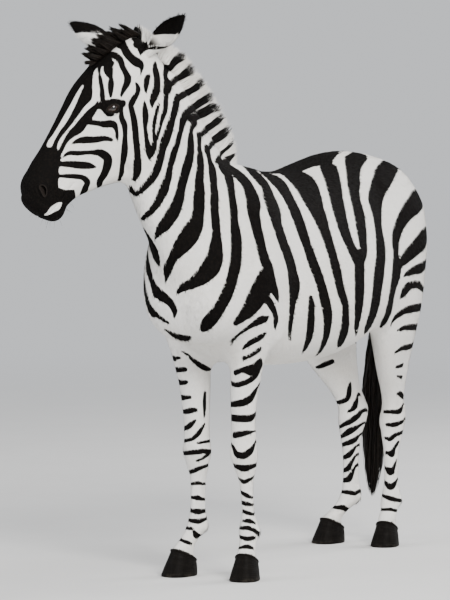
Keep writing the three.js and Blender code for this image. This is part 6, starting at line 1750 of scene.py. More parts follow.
# ----------------------------------------------------------------------- eyes
def eyeball(name, at, axis, side):
    ex = unit(EYE_LONG - (EYE_LONG @ axis) * axis)
    up = np.cross(axis, ex) * side
    R = EYE_RADIUS - 0.0002
    rings, seg = 40, 64
    v, ix, iy = [at + axis * (R + 0.0013)], [0.0], [0.0]
    for i in range(1, rings + 1):
        a = math.pi * 0.93 * i / rings
        # the clear front stands a little proud of the ball
        r = R + 0.0013 * math.exp(-(a / 0.50)**4)
        for j in range(seg):
            w = 2 * math.pi * j / seg
            d = ex * math.cos(w) * math.sin(a) + up * math.sin(w) * math.sin(a) + axis * math.cos(a)
            v.append(at + d * r)
            ix.append(a * R * math.cos(w) * 1000)
            iy.append(a * R * math.sin(w) * 1000)
    v.append(at - axis * R)
    ix.append(60.0)
    iy.append(0.0)
    t = []
    for j in range(seg):
        t.append((0, 1 + j, 1 + (j + 1) % seg))
        for i in range(rings - 1):
            a, b = 1 + i * seg + j, 1 + i * seg + (j + 1) % seg
            t += [(a, a + seg, b + seg), (a, b + seg, b)]
        a, b = 1 + (rings - 1) * seg + j, 1 + (rings - 1) * seg + (j + 1) % seg
        t.append((a, len(v) - 1, b))
    t = np.array(t)
    if side < 0:
        t = t[:, ::-1]
    ob = add_mesh("eyeball_" + name, np.array(v), t, {"ix": ix, "iy": iy})
    sh = Shader("eye_" + name)
    x, y = sh.attribute("ix"), sh.attribute("iy")
    r = sh.math("SQRT", sh.math("ADD", sh.math("MULTIPLY", x, x), sh.math("MULTIPLY", y, y)))
    angle = sh.math("ARCTAN2", y, x)
    c = sh.node("ShaderNodeCombineXYZ")
    sh.put(c.inputs[0], sh.math("MULTIPLY", angle, 5.0))
    sh.put(c.inputs[1], sh.math("MULTIPLY", r, 0.25))
    rays = sh.noise(c.outputs[0], 2.4, 4.0, 0.65)
    iris = sh.mix(sh.ramp(rays, 0.30, 0.72), (0.0075, 0.0038, 0.0020, 1), (0.034, 0.0165, 0.0075, 1))
    iris = sh.mix(sh.ramp(r, 9.2, 12.6), iris, (0.006, 0.004, 0.003, 1))
    pupil = sh.math("SQRT", sh.math("ADD", sh.math("POWER", sh.math("DIVIDE", x, 7.2), 2.0), sh.math("POWER", sh.math("DIVIDE", y, 3.9), 2.0)))
    iris = sh.mix(sh.ramp(pupil, 0.90, 1.10), (0.0015, 0.0015, 0.002, 1), iris)
    veins = sh.noise(sh.place(), 330, 4.0, 0.7)
    white = sh.mix(sh.ramp(veins, 0.40, 0.68), (0.060, 0.040, 0.030, 1), (0.022, 0.012, 0.008, 1))
    colour = sh.mix(sh.ramp(r, 12.4, 14.2), iris, white)
    sh.set(Base_Color=colour, Roughness=sh.ramp(r, 11.0, 15.0, 0.10, 0.22), Coat_Weight=1.0, Coat_Roughness=0.02, Coat_IOR=1.38)
    sh.b.inputs["Specular IOR Level"].default_value = 0.5
    sh.set(Normal=sh.bump(rays, 0.05, 0.0003))
    ob.data.materials.append(sh.mat)
    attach(ob, "root")
    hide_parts("eye_" + name)


for name, (at, axis, side) in EYES.items():
    eyeball(name, at, axis, side)


# ---------------------------------------------------------------------- hooves
def hoof(key):
    leg = LEGS[key]
    out, front = leg_frame(leg)
    base = np.array([*leg["foot"], 0.0])
    n = 96
    H = np.array(HOOF)
    w = np.arange(n) / n * 2 * math.pi
    c, s = np.cos(w), np.sin(w)
    e = 2.3
    rc, rs = np.sign(c) * np.abs(c)**(2 / e), np.sign(s) * np.abs(s)**(2 / e)
    rows, zz = [], []

    def loop(share, grow, lift=0.0):
        """a ring at a share of the wall's height; the wall is lower at the heel"""
        z = np.full(n, share * CORONET_Z)
        for _ in range(5):
            half, toe, heel = [np.interp(z, H[:, 0], H[:, k]) for k in (1, 2, 3)]
            mid = toe - 0.052
            f = mid + rc * np.where(c > 0, toe - mid + grow, mid - heel + grow)
            z = share * (CORONET_Z + CORONET_SLOPE * f)
        u = rs * (half + grow)
        # two bulbs of the heel with a cleft between
        back = np.clip((-c - 0.55) / 0.45, 0, 1)
        f = f + back * (0.0085 * np.exp(-(u / 0.006)**2) - 0.0015 - 0.0020 * np.sin(share * 3.1)) * (1 if share < 0.99 else 0.5)
        shares.append(np.full(n, share))
        return base + front * f[:, None] + out * u[:, None] + np.array([0, 0, 1.0]) * (z + lift)[:, None]
    shares = []
    # the sole, then the wall with its rings of growth, then the soft band
    for grow, lift in ((-0.0150, 0.0042), (-0.0095, 0.0040), (-0.0062, 0.0036), (-0.0055, 0.0004), (-0.0016, 0.0)):
        rows.append(loop(0.0, grow, lift))
    for share in np.linspace(0.018, 0.955, 36):
        z = share * 0.075
        ring = 0.00045 * math.sin(z * 1050 + 0.6 * math.sin(z * 300)) + 0.00022 * math.sin(z * 2300 + 1)
        rows.append(loop(share, -0.0004 + ring * smoothstep(0.0, 0.01, z)))
    for lift, grow in ((-0.0016, -0.0002), (-0.0004, 0.0009), (0.0014, 0.0017), (0.0034, 0.0017), (0.0054, 0.0006), (0.0066, -0.0014), (0.0068, -0.0055), (0.0060, -0.0125)):
        rows.append(loop(1.0, grow, lift))
    V = np.concatenate([np.array(rows).reshape(-1, 3), [np.mean(rows[0], 0), np.mean(rows[-1], 0)]])
    T = []
    k = len(rows)
    for i in range(k - 1):
        for j in range(n):
            a, b = i * n + j, i * n + (j + 1) % n
            T += [(a, b, b + n), (a, b + n, a + n)]
    for j in range(n):
        T.append((k * n, (j + 1) % n, j))
        T.append((k * n + 1, (k - 1) * n + j, (k - 1) * n + (j + 1) % n))
    T = np.array(T)
    if leg["side"] < 0:
        T = T[:, ::-1]
    around = np.append(np.tile(w, k), [0, 0])
    wall = np.append(np.concatenate(shares), [0, 1]) * 7.5
    name = key.replace("foreleg", "hoof_fore").replace("hindleg", "hoof_hind")
    ob = add_mesh("horn_" + name, V, T, {"around": np.cos(around) * 3, "around2": np.sin(around) * 3, "high": V[:, 2] * 100, "wall": wall})
    sh = Shader("horn_" + name)
    c3 = sh.node("ShaderNodeCombineXYZ")
    sh.put(c3.inputs[0], sh.math("MULTIPLY", sh.attribute("around"), 5.0))
    sh.put(c3.inputs[1], sh.math("MULTIPLY", sh.attribute("around2"), 5.0))
    sh.put(c3.inputs[2], sh.math("MULTIPLY", sh.attribute("wall"), 0.10))
    streak = sh.noise(c3.outputs[0], 3.0, 4.0, 0.6)
    c4 = sh.node("ShaderNodeCombineXYZ")
    sh.put(c4.inputs[2], sh.math("MULTIPLY", sh.attribute("wall"), 1.0))
    rings = sh.noise(c4.outputs[0], 2.2, 2.0, 0.5)
    col = sh.mix(sh.ramp(streak, 0.32, 0.72), (0.0024, 0.0021, 0.0020, 1), (0.0066, 0.0054, 0.0045, 1))
    col = sh.mix(sh.math("MULTIPLY", sh.ramp(rings, 0.45, 0.62), 0.30), col, (0.0110, 0.0090, 0.0074, 1))
    dust = sh.noise(sh.place(), 55, 4.0, 0.65)
    col = sh.mix(sh.math("MULTIPLY", sh.ramp(sh.attribute("high"), 1.8, 0.0), sh.ramp(dust, 0.42, 0.66, 0.0, 0.40)), col, (0.060, 0.050, 0.040, 1))
    n1 = sh.bump(streak, 0.35, 0.0006)
    n1 = sh.bump(rings, 0.35, 0.0006, n1)
    sh.set(Base_Color=col, Roughness=sh.ramp(dust, 0.3, 0.7, 0.45, 0.65), Normal=n1)
    sh.b.inputs["Specular IOR Level"].default_value = 0.04
    ob.data.materials.append(sh.mat)
    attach(ob, "root")
    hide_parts(name)


for key in LEGS:
    hoof(key)

# ------------------------------------------------------- mane, forelock, tail
rng = np.random.RandomState(41)
mane_s = np.array([r[0] for r in MANE])
P0, S0, U0 = neck.ridge(mane_s)
rows_p, rows_s, rows_u = list(P0), list(S0), list(U0)
rows_h, rows_w = [r[1] for r in MANE], [r[2] for r in MANE]
for s, v, height, half, lean in MANE_POLL:
    rows_p.append(on_head(s, 0, v))
    rows_u.append(unit(U0[-1] * (1 - lean) + unit(in_head(-0.75, 0, 0.5)) * lean))
    rows_s.append(unit(S0[-1] * (1 - lean) + HEAD_B * lean))
    rows_h.append(height)
    rows_w.append(half)
rows_p, rows_s, rows_u = np.array(rows_p), np.array(rows_s), np.array(rows_u)
run = np.append(0, np.cumsum(np.linalg.norm(np.diff(rows_p, axis=0), axis=1)))
run /= run[-1]


def mane_at(t):
    def pick(a):
        return np.stack([np.interp(t, run, a[:, k]) for k in range(3)], 1)
    return (pick(rows_p), unit(pick(rows_s)), unit(pick(rows_u)), np.interp(t, run, rows_h), np.interp(t, run, rows_w))


def mane_stripe(Q, t, side, half, high_share, p):
    """stripe value of hair at Q, read on the left face of the mane"""
    prof = np.interp(high_share, [0, 0.35, 0.7, 0.94, 1.0], [1.0, 0.94, 0.78, 0.42, 0.1])
    u = ((Q - p) * side).sum(1)
    L = Q + side * (half * prof - u)[:, None]
    d = np.full(len(L), 0.030)
    W = np.stack([noise(L, 0.030, 61), noise(L, 0.030, 62), noise(L, 0.030, 63)], 1) * 0.003
    far = np.stack([noise(L, 0.09, 64), noise(L, 0.09, 65), noise(L, 0.09, 66)], 1) * 0.010
    L = L + W + far * (u < 0)[:, None]
    for g in ("mane", "neck"):
        for name, black, c in COURSES[g]:
            d = np.minimum(d, stroke_distance(L, c))
    for name, black, c in COURSES["flank"]:
        if name in ("back_line", "f1", "dorsal"):
            d = np.minimum(d, stroke_distance(L, c))
    return d


def finish_hair(name, V, F, stripe_v, tone, uv, material, nodes):
    ob = add_mesh(name, V, F, {"stripe": stripe_v, "tone": tone}, uv=uv)
    ob.data.materials.append(material)
    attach(ob, "root")
    if nodes:
        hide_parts(*nodes)
    return ob


MANE_HAIR = hair_material("mane_hair", 0.0011, 0.0018)
DARK_HAIR = dark_hair_material("dark_hair")


def make_mane():
    count = 5200
    g = strew(count, 3)
    t = g[:, 0] * 0.985 + 0.005
    a = (g[:, 1] * 2 - 1)
    a = np.sign(a) * np.abs(a)**0.85
    p, side, up, height, half = mane_at(t)
    forward = unit(np.stack([np.gradient(rows_p[:, k]) for k in range(3)], 1))
    fwd = unit(np.stack([np.interp(t, run, forward[:, k]) for k in range(3)], 1))
    root = p + side * (a * half * 0.93)[:, None] - up * (0.010 + 0.010 * a * a)[:, None]
    lean = rng.normal(0, 0.07, count)
    out = a * 0.10 + rng.normal(0, 0.05, count)
    way = up + fwd * (lean - 0.05)[:, None] + side * out[:, None]
    bend = -side * (a * 0.13)[:, None] + fwd * rng.normal(0, 0.05, count)[:, None]
    crest = 1 - 0.30 * np.abs(a)**2.2
    length = (height * crest * rng.uniform(0.84, 1.03, count) + 0.014)
    V, F, along, across, m = locks(root, way, bend, length, rng.uniform(0.0016, 0.0030, count), 0.0012,
                                   unit(fwd + side * rng.normal(0, 0.5, count)[:, None]), 5, 0.16)
    tt, pp, ss = np.repeat(t, m), np.repeat(p, m, 0), np.repeat(side, m, 0)
    uu, hh, ww = np.repeat(up, m, 0), np.repeat(height, m), np.repeat(half, m)
    share = np.clip(((V - pp) * uu).sum(1) / hh, 0, 1)
    d = mane_stripe(V, tt, ss, ww, share, pp)
    # the tops stay pale, dusky just at the ends near the head
    top = np.repeat(length, m) * (1 - np.tile(along, count))
    keep = smoothstep(0.0050, 0.0018, top) * (np.repeat(t, m) < 0.90)
    d = np.maximum(d, (keep - 0.5) * 0.006 + np.where(keep > 0.5, 0.002, -0.03))
    d = np.minimum(d, (0.985 - np.repeat(t, m)) * 0.4)
    tone = np.repeat(rng.uniform(0, 1, count), m)
    uv = patch_uv(F, np.stack([0.02 + 0.95 * t, 0.06 + 0.88 * (a * 0.5 + 0.5)], 1), m, along, across)
    finish_hair("mane_locks", V, F, d, tone, uv, MANE_HAIR, ["mane"])

    # the dense heart of the mane, under the locks
    ts = np.linspace(0.0, 1.0, 90)
    p, side, up, height, half = mane_at(ts)
    shape = [(1, -0.35), (1, -0.05), (0.90, 0.25), (0.70, 0.55), (0.36, 0.74), (0, 0.80), (-0.36, 0.74), (-0.70, 0.55), (-0.90, 0.25), (-1, -0.05), (-1, -0.35)]
    loops_, share, row = [], [], []
    for i, (x, h) in enumerate(shape):
        hgt = np.where(h < 0, h * 0.03, h * height * 0.92)
        j = noise(np.stack([ts * 30, np.full(90, i * 3.1), np.zeros(90)], 1), 1.0, 5) * 0.0025
        loops_.append(p + side * (x * half * 0.80 + j * 0.3)[:, None] + up * (hgt + j)[:, None])
        share.append(np.full(90, max(h, 0)))
        row.append(np.arange(90))
    V = np.stack(loops_, 1).reshape(-1, 3)
    k = len(shape)
    T = []
    for i in range(89):
        for j in range(k):
            a_, b_ = i * k + j, i * k + (j + 1) % k
            T += [(a_, b_, b_ + k), (a_, b_ + k, a_ + k)]
    for base_, flip in ((0, True), (89 * k, False)):
        for j in range(1, k - 1):
            f = (base_, base_ + j, base_ + j + 1)
            T.append(f if flip else f[::-1])
    rp, rs, rw = np.repeat(p, k, 0), np.repeat(side, k, 0), np.repeat(half, k)
    sh_ = np.stack(share, 1).reshape(-1)
    d = mane_stripe(V, np.repeat(ts, k), rs, rw, sh_, rp)
    d = np.minimum(d, (0.985 - np.repeat(ts, k)) * 0.4)
    uv = np.stack([np.repeat(ts, k) * 0.95 + 0.02, np.tile(np.arange(k) / (k - 1) * 0.9 + 0.05, 90)], 1)
    T = np.array(T)[:, ::-1]
    finish_hair("mane_core", V, T, d, np.full(len(V), 0.3), uv[T.ravel()], MANE_HAIR, [])


make_mane()


def make_forelock():
    rows = np.array(FORELOCK)
    count = 1500
    g = strew(count, 9)
    t, a = g[:, 0], g[:, 1] * 2 - 1
    s0_ = -0.028
    s = s0_ + (rows[-1, 0] - s0_) * t
    low_, top, half = [np.interp(s, rows[:, 0], rows[:, k]) for k in (1, 2, 3)]
    root = POLL + HEAD_T * s[:, None] + HEAD_B * (a * half * 0.85)[:, None] + HEAD_N * (low_ + 0.024)[:, None]
    # tufts gather in points that stand forward, up and to both sides
    clump = np.stack([np.round(t * 7) / 7, np.round(a * 2.0) / 2.0], 1)
    cs = s0_ + (rows[-1, 0] - s0_) * clump[:, 0]
    ch = np.interp(cs, rows[:, 0], rows[:, 2])
    jig = np.stack([lattice(np.round(t * 7).astype(int), np.round(a * 2).astype(int), np.zeros(count, int), q) for q in (1, 2, 3)], 1)
    aim = (POLL + HEAD_T * (cs + 0.012 + 0.012 * jig[:, 0])[:, None]
           + HEAD_B * (clump[:, 1] * np.interp(cs, rows[:, 0], rows[:, 3]) * 0.98 + 0.006 * jig[:, 1])[:, None]
           + HEAD_N * (ch + 0.004 - 0.010 * clump[:, 1]**2 + 0.006 * jig[:, 2])[:, None])
    pull = rng.uniform(0.60, 1.0, count)[:, None]
    straight = root + HEAD_N * (top - low_ - 0.024)[:, None] + HEAD_T * 0.008
    aim = straight * (1 - pull) + aim * pull
    way = aim - root
    length = np.linalg.norm(way, axis=1) * rng.uniform(0.90, 1.05, count)
    bend = in_head(0.10, 0, -0.08)[None] * rng.uniform(0.2, 1.2, count)[:, None] + rng.normal(0, 0.04, (count, 3))
    V, F, along, across, m = locks(root, unit(way) - bend * 0.6, bend, length, rng.uniform(0.0018, 0.0032, count), 0.0013,
                                   unit(rng.normal(0, 1, (count, 3))), 5, 0.12)
    uv = patch_uv(F, np.stack([0.03 + 0.92 * t, 0.05 + 0.9 * (a * 0.5 + 0.5)], 1), m, along, across)
    finish_hair("forelock_locks", V, F, np.full(len(V), -0.02), np.repeat(rng.uniform(0, 1, count)**2, m), uv, DARK_HAIR, ["forelock"])


make_forelock()


def make_tail():
    T_ = np.array(TAIL)
    count = 1300
    g = strew(count, 21)
    # long locks leave the dock between its middle and its end
    z0 = 0.835 - 0.190 * g[:, 0]**0.8
    w = g[:, 1] * 2 * math.pi
    y0, half, f, b = [np.interp(z0, T_[::-1, 0], T_[::-1, k]) for k in (1, 2, 3, 4)]
    mid, deep = (f + b) / 2, (f - b) / 2
    r = np.interp(z0, [0.66, 0.72, 0.84], [0.30, 0.62, 0.80])
    root = np.stack([mid + deep * r * np.cos(w), y0 + half * r * np.sin(w), z0], 1)
    z1 = 0.135 + 0.36 * rng.uniform(0, 1, count)**1.5
    z1 = np.where(g[:, 0] < 0.10, rng.uniform(0.45, 0.62, count), z1)
    way_ = rng.normal(0, 0.28, count)
    K = 12
    t = np.linspace(0, 1, K + 1)
    z = z0[:, None] + (z1 - z0)[:, None] * t
    yy, hh, ff, bb = [np.interp(z, T_[::-1, 0], T_[::-1, k]) for k in (1, 2, 3, 4)]
    spread = rng.uniform(0.12, 0.98, count)
    rr = r[:, None] * (1 - t)**2 + (1 - (1 - t)**2) * spread[:, None]
    ang = w[:, None] + way_[:, None] * t + 0.10 * np.sin(t * 9 + w[:, None] * 5)
    x = (ff + bb) / 2 + (ff - bb) / 2 * rr * np.cos(ang) + 0.0022 * np.sin(t * 14 + w[:, None] * 9)
    y = yy + hh * rr * np.sin(ang) + 0.0022 * np.cos(t * 12 + w[:, None] * 7)
    pos = np.stack([x, y, z], -1)
    tangent = unit(np.gradient(pos, axis=1))
    sd = unit(np.cross(tangent, np.stack([np.cos(ang), np.sin(ang), np.zeros_like(ang)], -1)))
    nr = np.cross(tangent, sd)
    prof = np.interp(t, [0, 0.15, 0.6, 0.9, 1], [0.8, 1.0, 0.95, 0.5, 0.12])
    wd = rng.uniform(0.0018, 0.0034, count)[:, None] * prof
    ring = np.stack([pos - sd * wd[..., None], pos + sd * wd[..., None], pos + nr * (wd * 0.7)[..., None]], 2)[:, :K]
    V = np.concatenate([ring.reshape(count, K * 3, 3), pos[:, -1:]], 1)
    m = K * 3 + 1
    F = [(0, 1, 2)]
    for i in range(K - 1):
        for j in range(3):
            a, b_ = i * 3 + j, i * 3 + (j + 1) % 3
            F += [(a, a + 3, b_ + 3), (a, b_ + 3, b_)]
    for j in range(3):
        F.append(((K - 1) * 3 + j, m - 1, (K - 1) * 3 + (j + 1) % 3))
    F = (np.array(F)[None] + (np.arange(count) * m)[:, None, None]).reshape(-1, 3)
    along = np.append(np.repeat(t[:K], 3), 1.0)
    across = np.append(np.tile([-1.0, 1.0, 0.0], K), 0.0)
    uv = patch_uv(F, np.stack([0.03 + 0.9 * g[:, 1], 0.05 + 0.9 * g[:, 0]], 1), m, along, across)
    finish_hair("tail_locks", V.reshape(-1, 3), F, np.full(count * m, -0.02), np.repeat(rng.uniform(0, 1, count)**2, m), uv, DARK_HAIR, ["tail_tuft"])


make_tail()


# -------------------------------------------------------------------- the coat
# Short tufts over the whole skin. Each is a flat closed blade of four corners,
# its root under the skin, its tip along the lie of the hair.
def region_of(c):
    """0 trunk, 1 neck, 2 head, 3-6 legs, 7-8 ears"""
    w = lie_weights(c)
    out = np.where(w["head"] > 0.5, 2, np.where(w["neck"] > 0.5, 1, 0))
    low = (c[:, 2] < 0.72) & (out == 0)
    out = np.where(low, 3 + 2 * (c[:, 0] < -0.05) + (c[:, 1] < 0), out)
    return out


LEG_KEYS = ["foreleg_left", "foreleg_right", "hindleg_left", "hindleg_right"]


def chart(region, P):
    """place along a part and angle round it, both as shares"""
    if region == 0:
        return (P[:, 0] + 0.74) / 1.50, np.arctan2(P[:, 1], P[:, 2] - 1.02) / (2 * math.pi) + 0.5
    if region == 1:
        s, u, v = neck.local(P)
        return (s + 0.14) / 0.70, np.arctan2(u, v + 0.03) / (2 * math.pi) + 0.5
    if region == 2:
        s, u, v = head_local(P)
        return (s + 0.10) / 0.75, np.arctan2(u, v + 0.115) / (2 * math.pi) + 0.5
    if region < 7:
        limb = legs[LEG_KEYS[region - 3]]
        s, u, v = limb.local(P)
        (u0, v0, *_), _th = limb.values(s)
        return (P[:, 2] - 0.03) / 0.72, np.arctan2(u - u0, v - v0) / (2 * math.pi) + 0.5
    root, axis, opens, across, t0 = ear_lines["left" if region == 7 else "right"]
    q = P - root
    return (q @ axis + 0.02) / 0.20, np.arctan2(q @ across, -(q @ opens)) / (2 * math.pi) + 0.5


AREAS = {0: (0.005, 0.005, 0.59, 0.61), 1: (0.62, 0.005, 0.36, 0.39), 2: (0.62, 0.42, 0.36, 0.37),
         3: (0.005, 0.64, 0.14, 0.34), 4: (0.155, 0.64, 0.14, 0.34), 5: (0.305, 0.64, 0.14, 0.34), 6: (0.455, 0.64, 0.14, 0.34),
         7: (0.62, 0.81, 0.17, 0.17), 8: (0.81, 0.81, 0.17, 0.17)}

centre = V[T].mean(1)
face_region = region_of(centre)
ear_ring = np.full(len(V), -1)
for k, name in enumerate(("left", "right")):
    start, n_ = ear_rows[name]
    ear_ring[start:start + n_ * 36] = np.repeat(np.arange(36), n_)
    ear_ring[start + n_ * 36] = 36
    on_ear = (T >= start).all(1) & (T <= start + n_ * 36).all(1)
    face_region = np.where(on_ear, 7 + k, face_region)
ear_inside = (ear_ring[T].min(1) >= 22)

# the skin's own unwrap
uv = np.zeros((len(T), 3, 2))
for r, (x0, y0, w_, h_) in AREAS.items():
    m = np.nonzero(face_region == r)[0]
    P = V[T[m]].reshape(-1, 3)
    a, b = chart(r, P)
    a, b = a.reshape(-1, 3), b.reshape(-1, 3)
    b = b[:, :1] + (b - b[:, :1] + 0.5) % 1.0 - 0.5
    if r >= 7:
        b = b * 0.48 + 0.5 * ear_inside[m][:, None]
    uv[m, :, 0] = x0 + w_ * np.clip(a, 0, 1)
    uv[m, :, 1] = y0 + h_ * np.clip(b, 0, 1)
layer = skin.data.uv_layers.new(name="OFBake")
layer.data.foreach_set("uv", uv.reshape(-1).astype(np.float32))


def coat_lie(P, Nn, region, inside):
    """the way the hair lies, in the plane of the skin"""
    w = lie_weights(P)
    back = smoothstep(-0.22, -0.50, P[:, 0])
    fore = smoothstep(0.30, 0.50, P[:, 0])
    trunk_way = np.stack([-0.90 + 0.35 * back, 0 * back, -0.32 - 0.55 * back - 0.35 * fore], 1)
    trunk_way[:, 2] *= smoothstep(-0.95, -0.55, Nn[:, 2]) * 0.9 + 0.1
    neck_way = np.broadcast_to(-neck.T * 0.9 + np.array([0, 0, -0.30]), P.shape)
    s, u, v = head_local(P)
    cheek = smoothstep(-0.05, -0.15, v) * smoothstep(0.42, 0.25, s)
    head_way = HEAD_T * (1 - 0.45 * cheek)[:, None] - HEAD_N * (0.75 * cheek)[:, None]
    leg_way = np.broadcast_to(np.array([-0.14, 0.0, -1.0]), P.shape)
    way = (trunk_way * w["trunk"][:, None] + neck_way * w["neck"][:, None]
           + head_way * w["head"][:, None] + leg_way * w["leg"][:, None])
    for k, name in ((7, "left"), (8, "right")):
        m = region == k
        if m.any():
            root, axis, opens, across, t0 = ear_lines[name]
            q = P[m] - root
            tilt = unit(q - (q @ axis)[:, None] * axis)
            way[m] = axis * 0.95 + np.where(inside[m], 0.45, 0.0)[:, None] * opens + 0.0 * tilt
    swirl = noise(P, 0.12, 71) * 0.22
    way = way - (way * Nn).sum(1)[:, None] * Nn
    way = unit(way)
    return unit(way + np.cross(Nn, way) * swirl[:, None])


def hair_measures(P, Nn, region, inside):
    """length, half width and lift of the tufts"""
    w = lie_weights(P)
    s, u, v = head_local(P)
    L = (0.0135 * w["trunk"] + 0.0120 * w["neck"] + 0.0085 * w["leg"]
         + w["head"] * np.interp(s, [-0.05, 0.10, 0.30, 0.48, 0.60], [0.0095, 0.0072, 0.0058, 0.0042, 0.0032]))
    belly = smoothstep(-0.55, -0.9, Nn[:, 2]) * w["trunk"]
    L = L + 0.004 * belly
    # longer under the throat and jaw, behind the fetlocks and over the coronets
    L = L + 0.005 * w["head"] * smoothstep(-0.22, -0.29, v) * smoothstep(0.45, 0.30, s)
    L = L + 0.004 * smoothstep(0.2, 0.8, -Nn @ np.array([0, 0, 1.0]) * 0.5 + Nn[:, 0] * 0.5) * w["neck"]
    low = smoothstep(0.175, 0.15, P[:, 2]) * smoothstep(0.115, 0.135, P[:, 2]) * smoothstep(-0.1, -0.7, Nn[:, 0])
    L = L + 0.013 * low
    L = L + 0.004 * smoothstep(0.105, 0.085, P[:, 2])
    W = L * 0.105 + 0.00022
    lift = 0.13 + 0.10 * low + 0.05 * belly
    ear = region >= 7
    L = np.where(ear, np.where(inside, 0.015, 0.0070), L)
    W = np.where(ear, np.where(inside, 0.00080, 0.00085), W)
    lift = np.where(ear & inside, 0.42, lift)
    return L, W, lift


def grow(name, regions, density, seed, halves=None):
    m = np.isin(face_region, regions) & (bare[T].max(1) < 0.45)
    # hair ends above the hooves
    if min(regions) >= 3 and max(regions) <= 6:
        ok = np.ones(len(T), bool)
        for r in regions:
            leg = LEGS[LEG_KEYS[r - 3]]
            out, front = leg_frame(leg)
            f = (centre - np.array([*leg["foot"], 0.0])) @ front
            ok &= (face_region != r) | (centre[:, 2] > CORONET_Z + CORONET_SLOPE * f + 0.007)
        m &= ok
    if halves is not None:
        m &= (centre[:, 1] > 0) if halves > 0 else (centre[:, 1] <= 0)
    idx = np.nonzero(m)[0]
    A, B, C = V[T[idx, 0]], V[T[idx, 1]], V[T[idx, 2]]
    area = 0.5 * np.linalg.norm(np.cross(B - A, C - A), axis=1)
    d = density(centre[idx], idx)
    mass = np.append(0, np.cumsum(area * d))
    count = int(mass[-1])
    rnd = np.random.RandomState(seed)
    at = (np.arange(count) + rnd.uniform(0.1, 0.9, count)) * mass[-1] / count
    k = np.clip(np.searchsorted(mass, at, side="right") - 1, 0, len(idx) - 1)
    r1, r2 = rnd.uniform(0, 1, count), rnd.uniform(0, 1, count)
    flip = r1 + r2 > 1
    r1, r2 = np.where(flip, 1 - r1, r1), np.where(flip, 1 - r2, r2)
    g = np.stack([1 - r1 - r2, r1, r2], 1)
    tri = T[idx[k]]

    def blend(X):
        return (X[tri] * (g[:, :, None] if X.ndim > 1 else g)).sum(1)
    P, Nn = blend(V), unit(blend(N))
    region, inside = face_region[idx[k]], ear_inside[idx[k]]
    way = coat_lie(P, Nn, region, inside)
    side = np.cross(Nn, way)
    turn = rnd.normal(0, 0.20, count)[:, None]
    way, side = way * np.cos(turn) + side * np.sin(turn), side * np.cos(turn) - way * np.sin(turn)
    L, W, lift = hair_measures(P, Nn, region, inside)
    L = L * rnd.uniform(0.75, 1.20, count)
    W = W * rnd.uniform(0.75, 1.25, count)
    lift = lift * rnd.uniform(0.35, 1.35, count)
    # one tone to a tuft, read a little way down its length
    s0, s1, s2 = stripe[tri].T
    e1, e2 = V[tri[:, 1]] - V[tri[:, 0]], V[tri[:, 2]] - V[tri[:, 0]]
    a11, a12, a22 = (e1 * e1).sum(1), (e1 * e2).sum(1), (e2 * e2).sum(1)
    det = np.maximum(a11 * a22 - a12 * a12, 1e-14)
    p, q = ((s1 - s0) * a22 - (s2 - s0) * a12) / det, ((s2 - s0) * a11 - (s1 - s0) * a12) / det
    grad = e1 * p[:, None] + e2 * q[:, None]
    grad /= np.maximum(np.linalg.norm(grad, axis=1, keepdims=True), 1.0)
    tone_at = blend(stripe) + (grad * way).sum(1) * L * 0.42
    Lc = L[:, None]
    rise = np.sin(lift)[:, None]
    root = P - Nn * 0.0007
    mid = P + way * Lc * 0.34 + Nn * (Lc * 0.34 * rise + 0.00022)
    tip = P + way * Lc + Nn * (Lc * rise * 0.80 + 0.0001)
    X = np.stack([root, mid - side * W[:, None], mid + side * W[:, None], tip], 1).reshape(-1, 3)
    F = np.array([(0, 1, 2), (1, 3, 2), (0, 3, 1), (0, 2, 3)])
    F = (F[None] + (np.arange(count) * 4)[:, None, None]).reshape(-1, 3)
    wob = Nn + way * (-0.06 + rnd.normal(0, 0.10, count))[:, None] + side * rnd.normal(0, 0.12, count)[:, None]
    nrm = np.repeat(unit(wob), 4, 0)
    spot = np.zeros((count, 2))
    for r in np.unique(region):
        mm = region == r
        a, b = chart(int(r), P[mm])
        if r >= 7:
            b = (b % 1.0) * 0.48 + 0.5 * inside[mm]
        a, b = np.clip(a, 0, 1), b % 1.0
        x0, y0, w_, h_ = SPREAD[name][int(r)]
        if name == "coat_trunk_left":
            b = (b - 0.5) * 2
        if name == "coat_trunk_right":
            b = b * 2
        spot[mm] = np.stack([x0 + w_ * a, y0 + h_ * np.clip(b, 0, 1)], 1)
    uv_ = patch_uv(F, spot, 4, np.array([0, 0.34, 0.34, 1.0]), np.array([0, -1.0, 1.0, 0]))
    ob = add_mesh(name, X, F, {"stripe": np.repeat(tone_at, 4), "tone": np.repeat(rnd.uniform(0, 1, count), 4)}, uv=uv_)
    ob.data.normals_split_custom_set_from_vertices(nrm.astype(np.float32))
    ob.data.materials.append(COAT_HAIR)
    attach(ob, "root")
    print(name, count, "tufts")


SPREAD = {"coat_trunk_left": {0: (0.005, 0.005, 0.985, 0.985)}, "coat_trunk_right": {0: (0.005, 0.005, 0.985, 0.985)},
          "coat_neck": {1: (0.005, 0.005, 0.985, 0.985)},
          "coat_head": {2: (0.005, 0.005, 0.70, 0.985), 7: (0.72, 0.005, 0.27, 0.48), 8: (0.72, 0.51, 0.27, 0.48)},
          "coat_forelegs": {3: (0.005, 0.005, 0.985, 0.48), 4: (0.005, 0.51, 0.985, 0.48)},
          "coat_hindlegs": {5: (0.005, 0.005, 0.985, 0.48), 6: (0.005, 0.51, 0.985, 0.48)}}


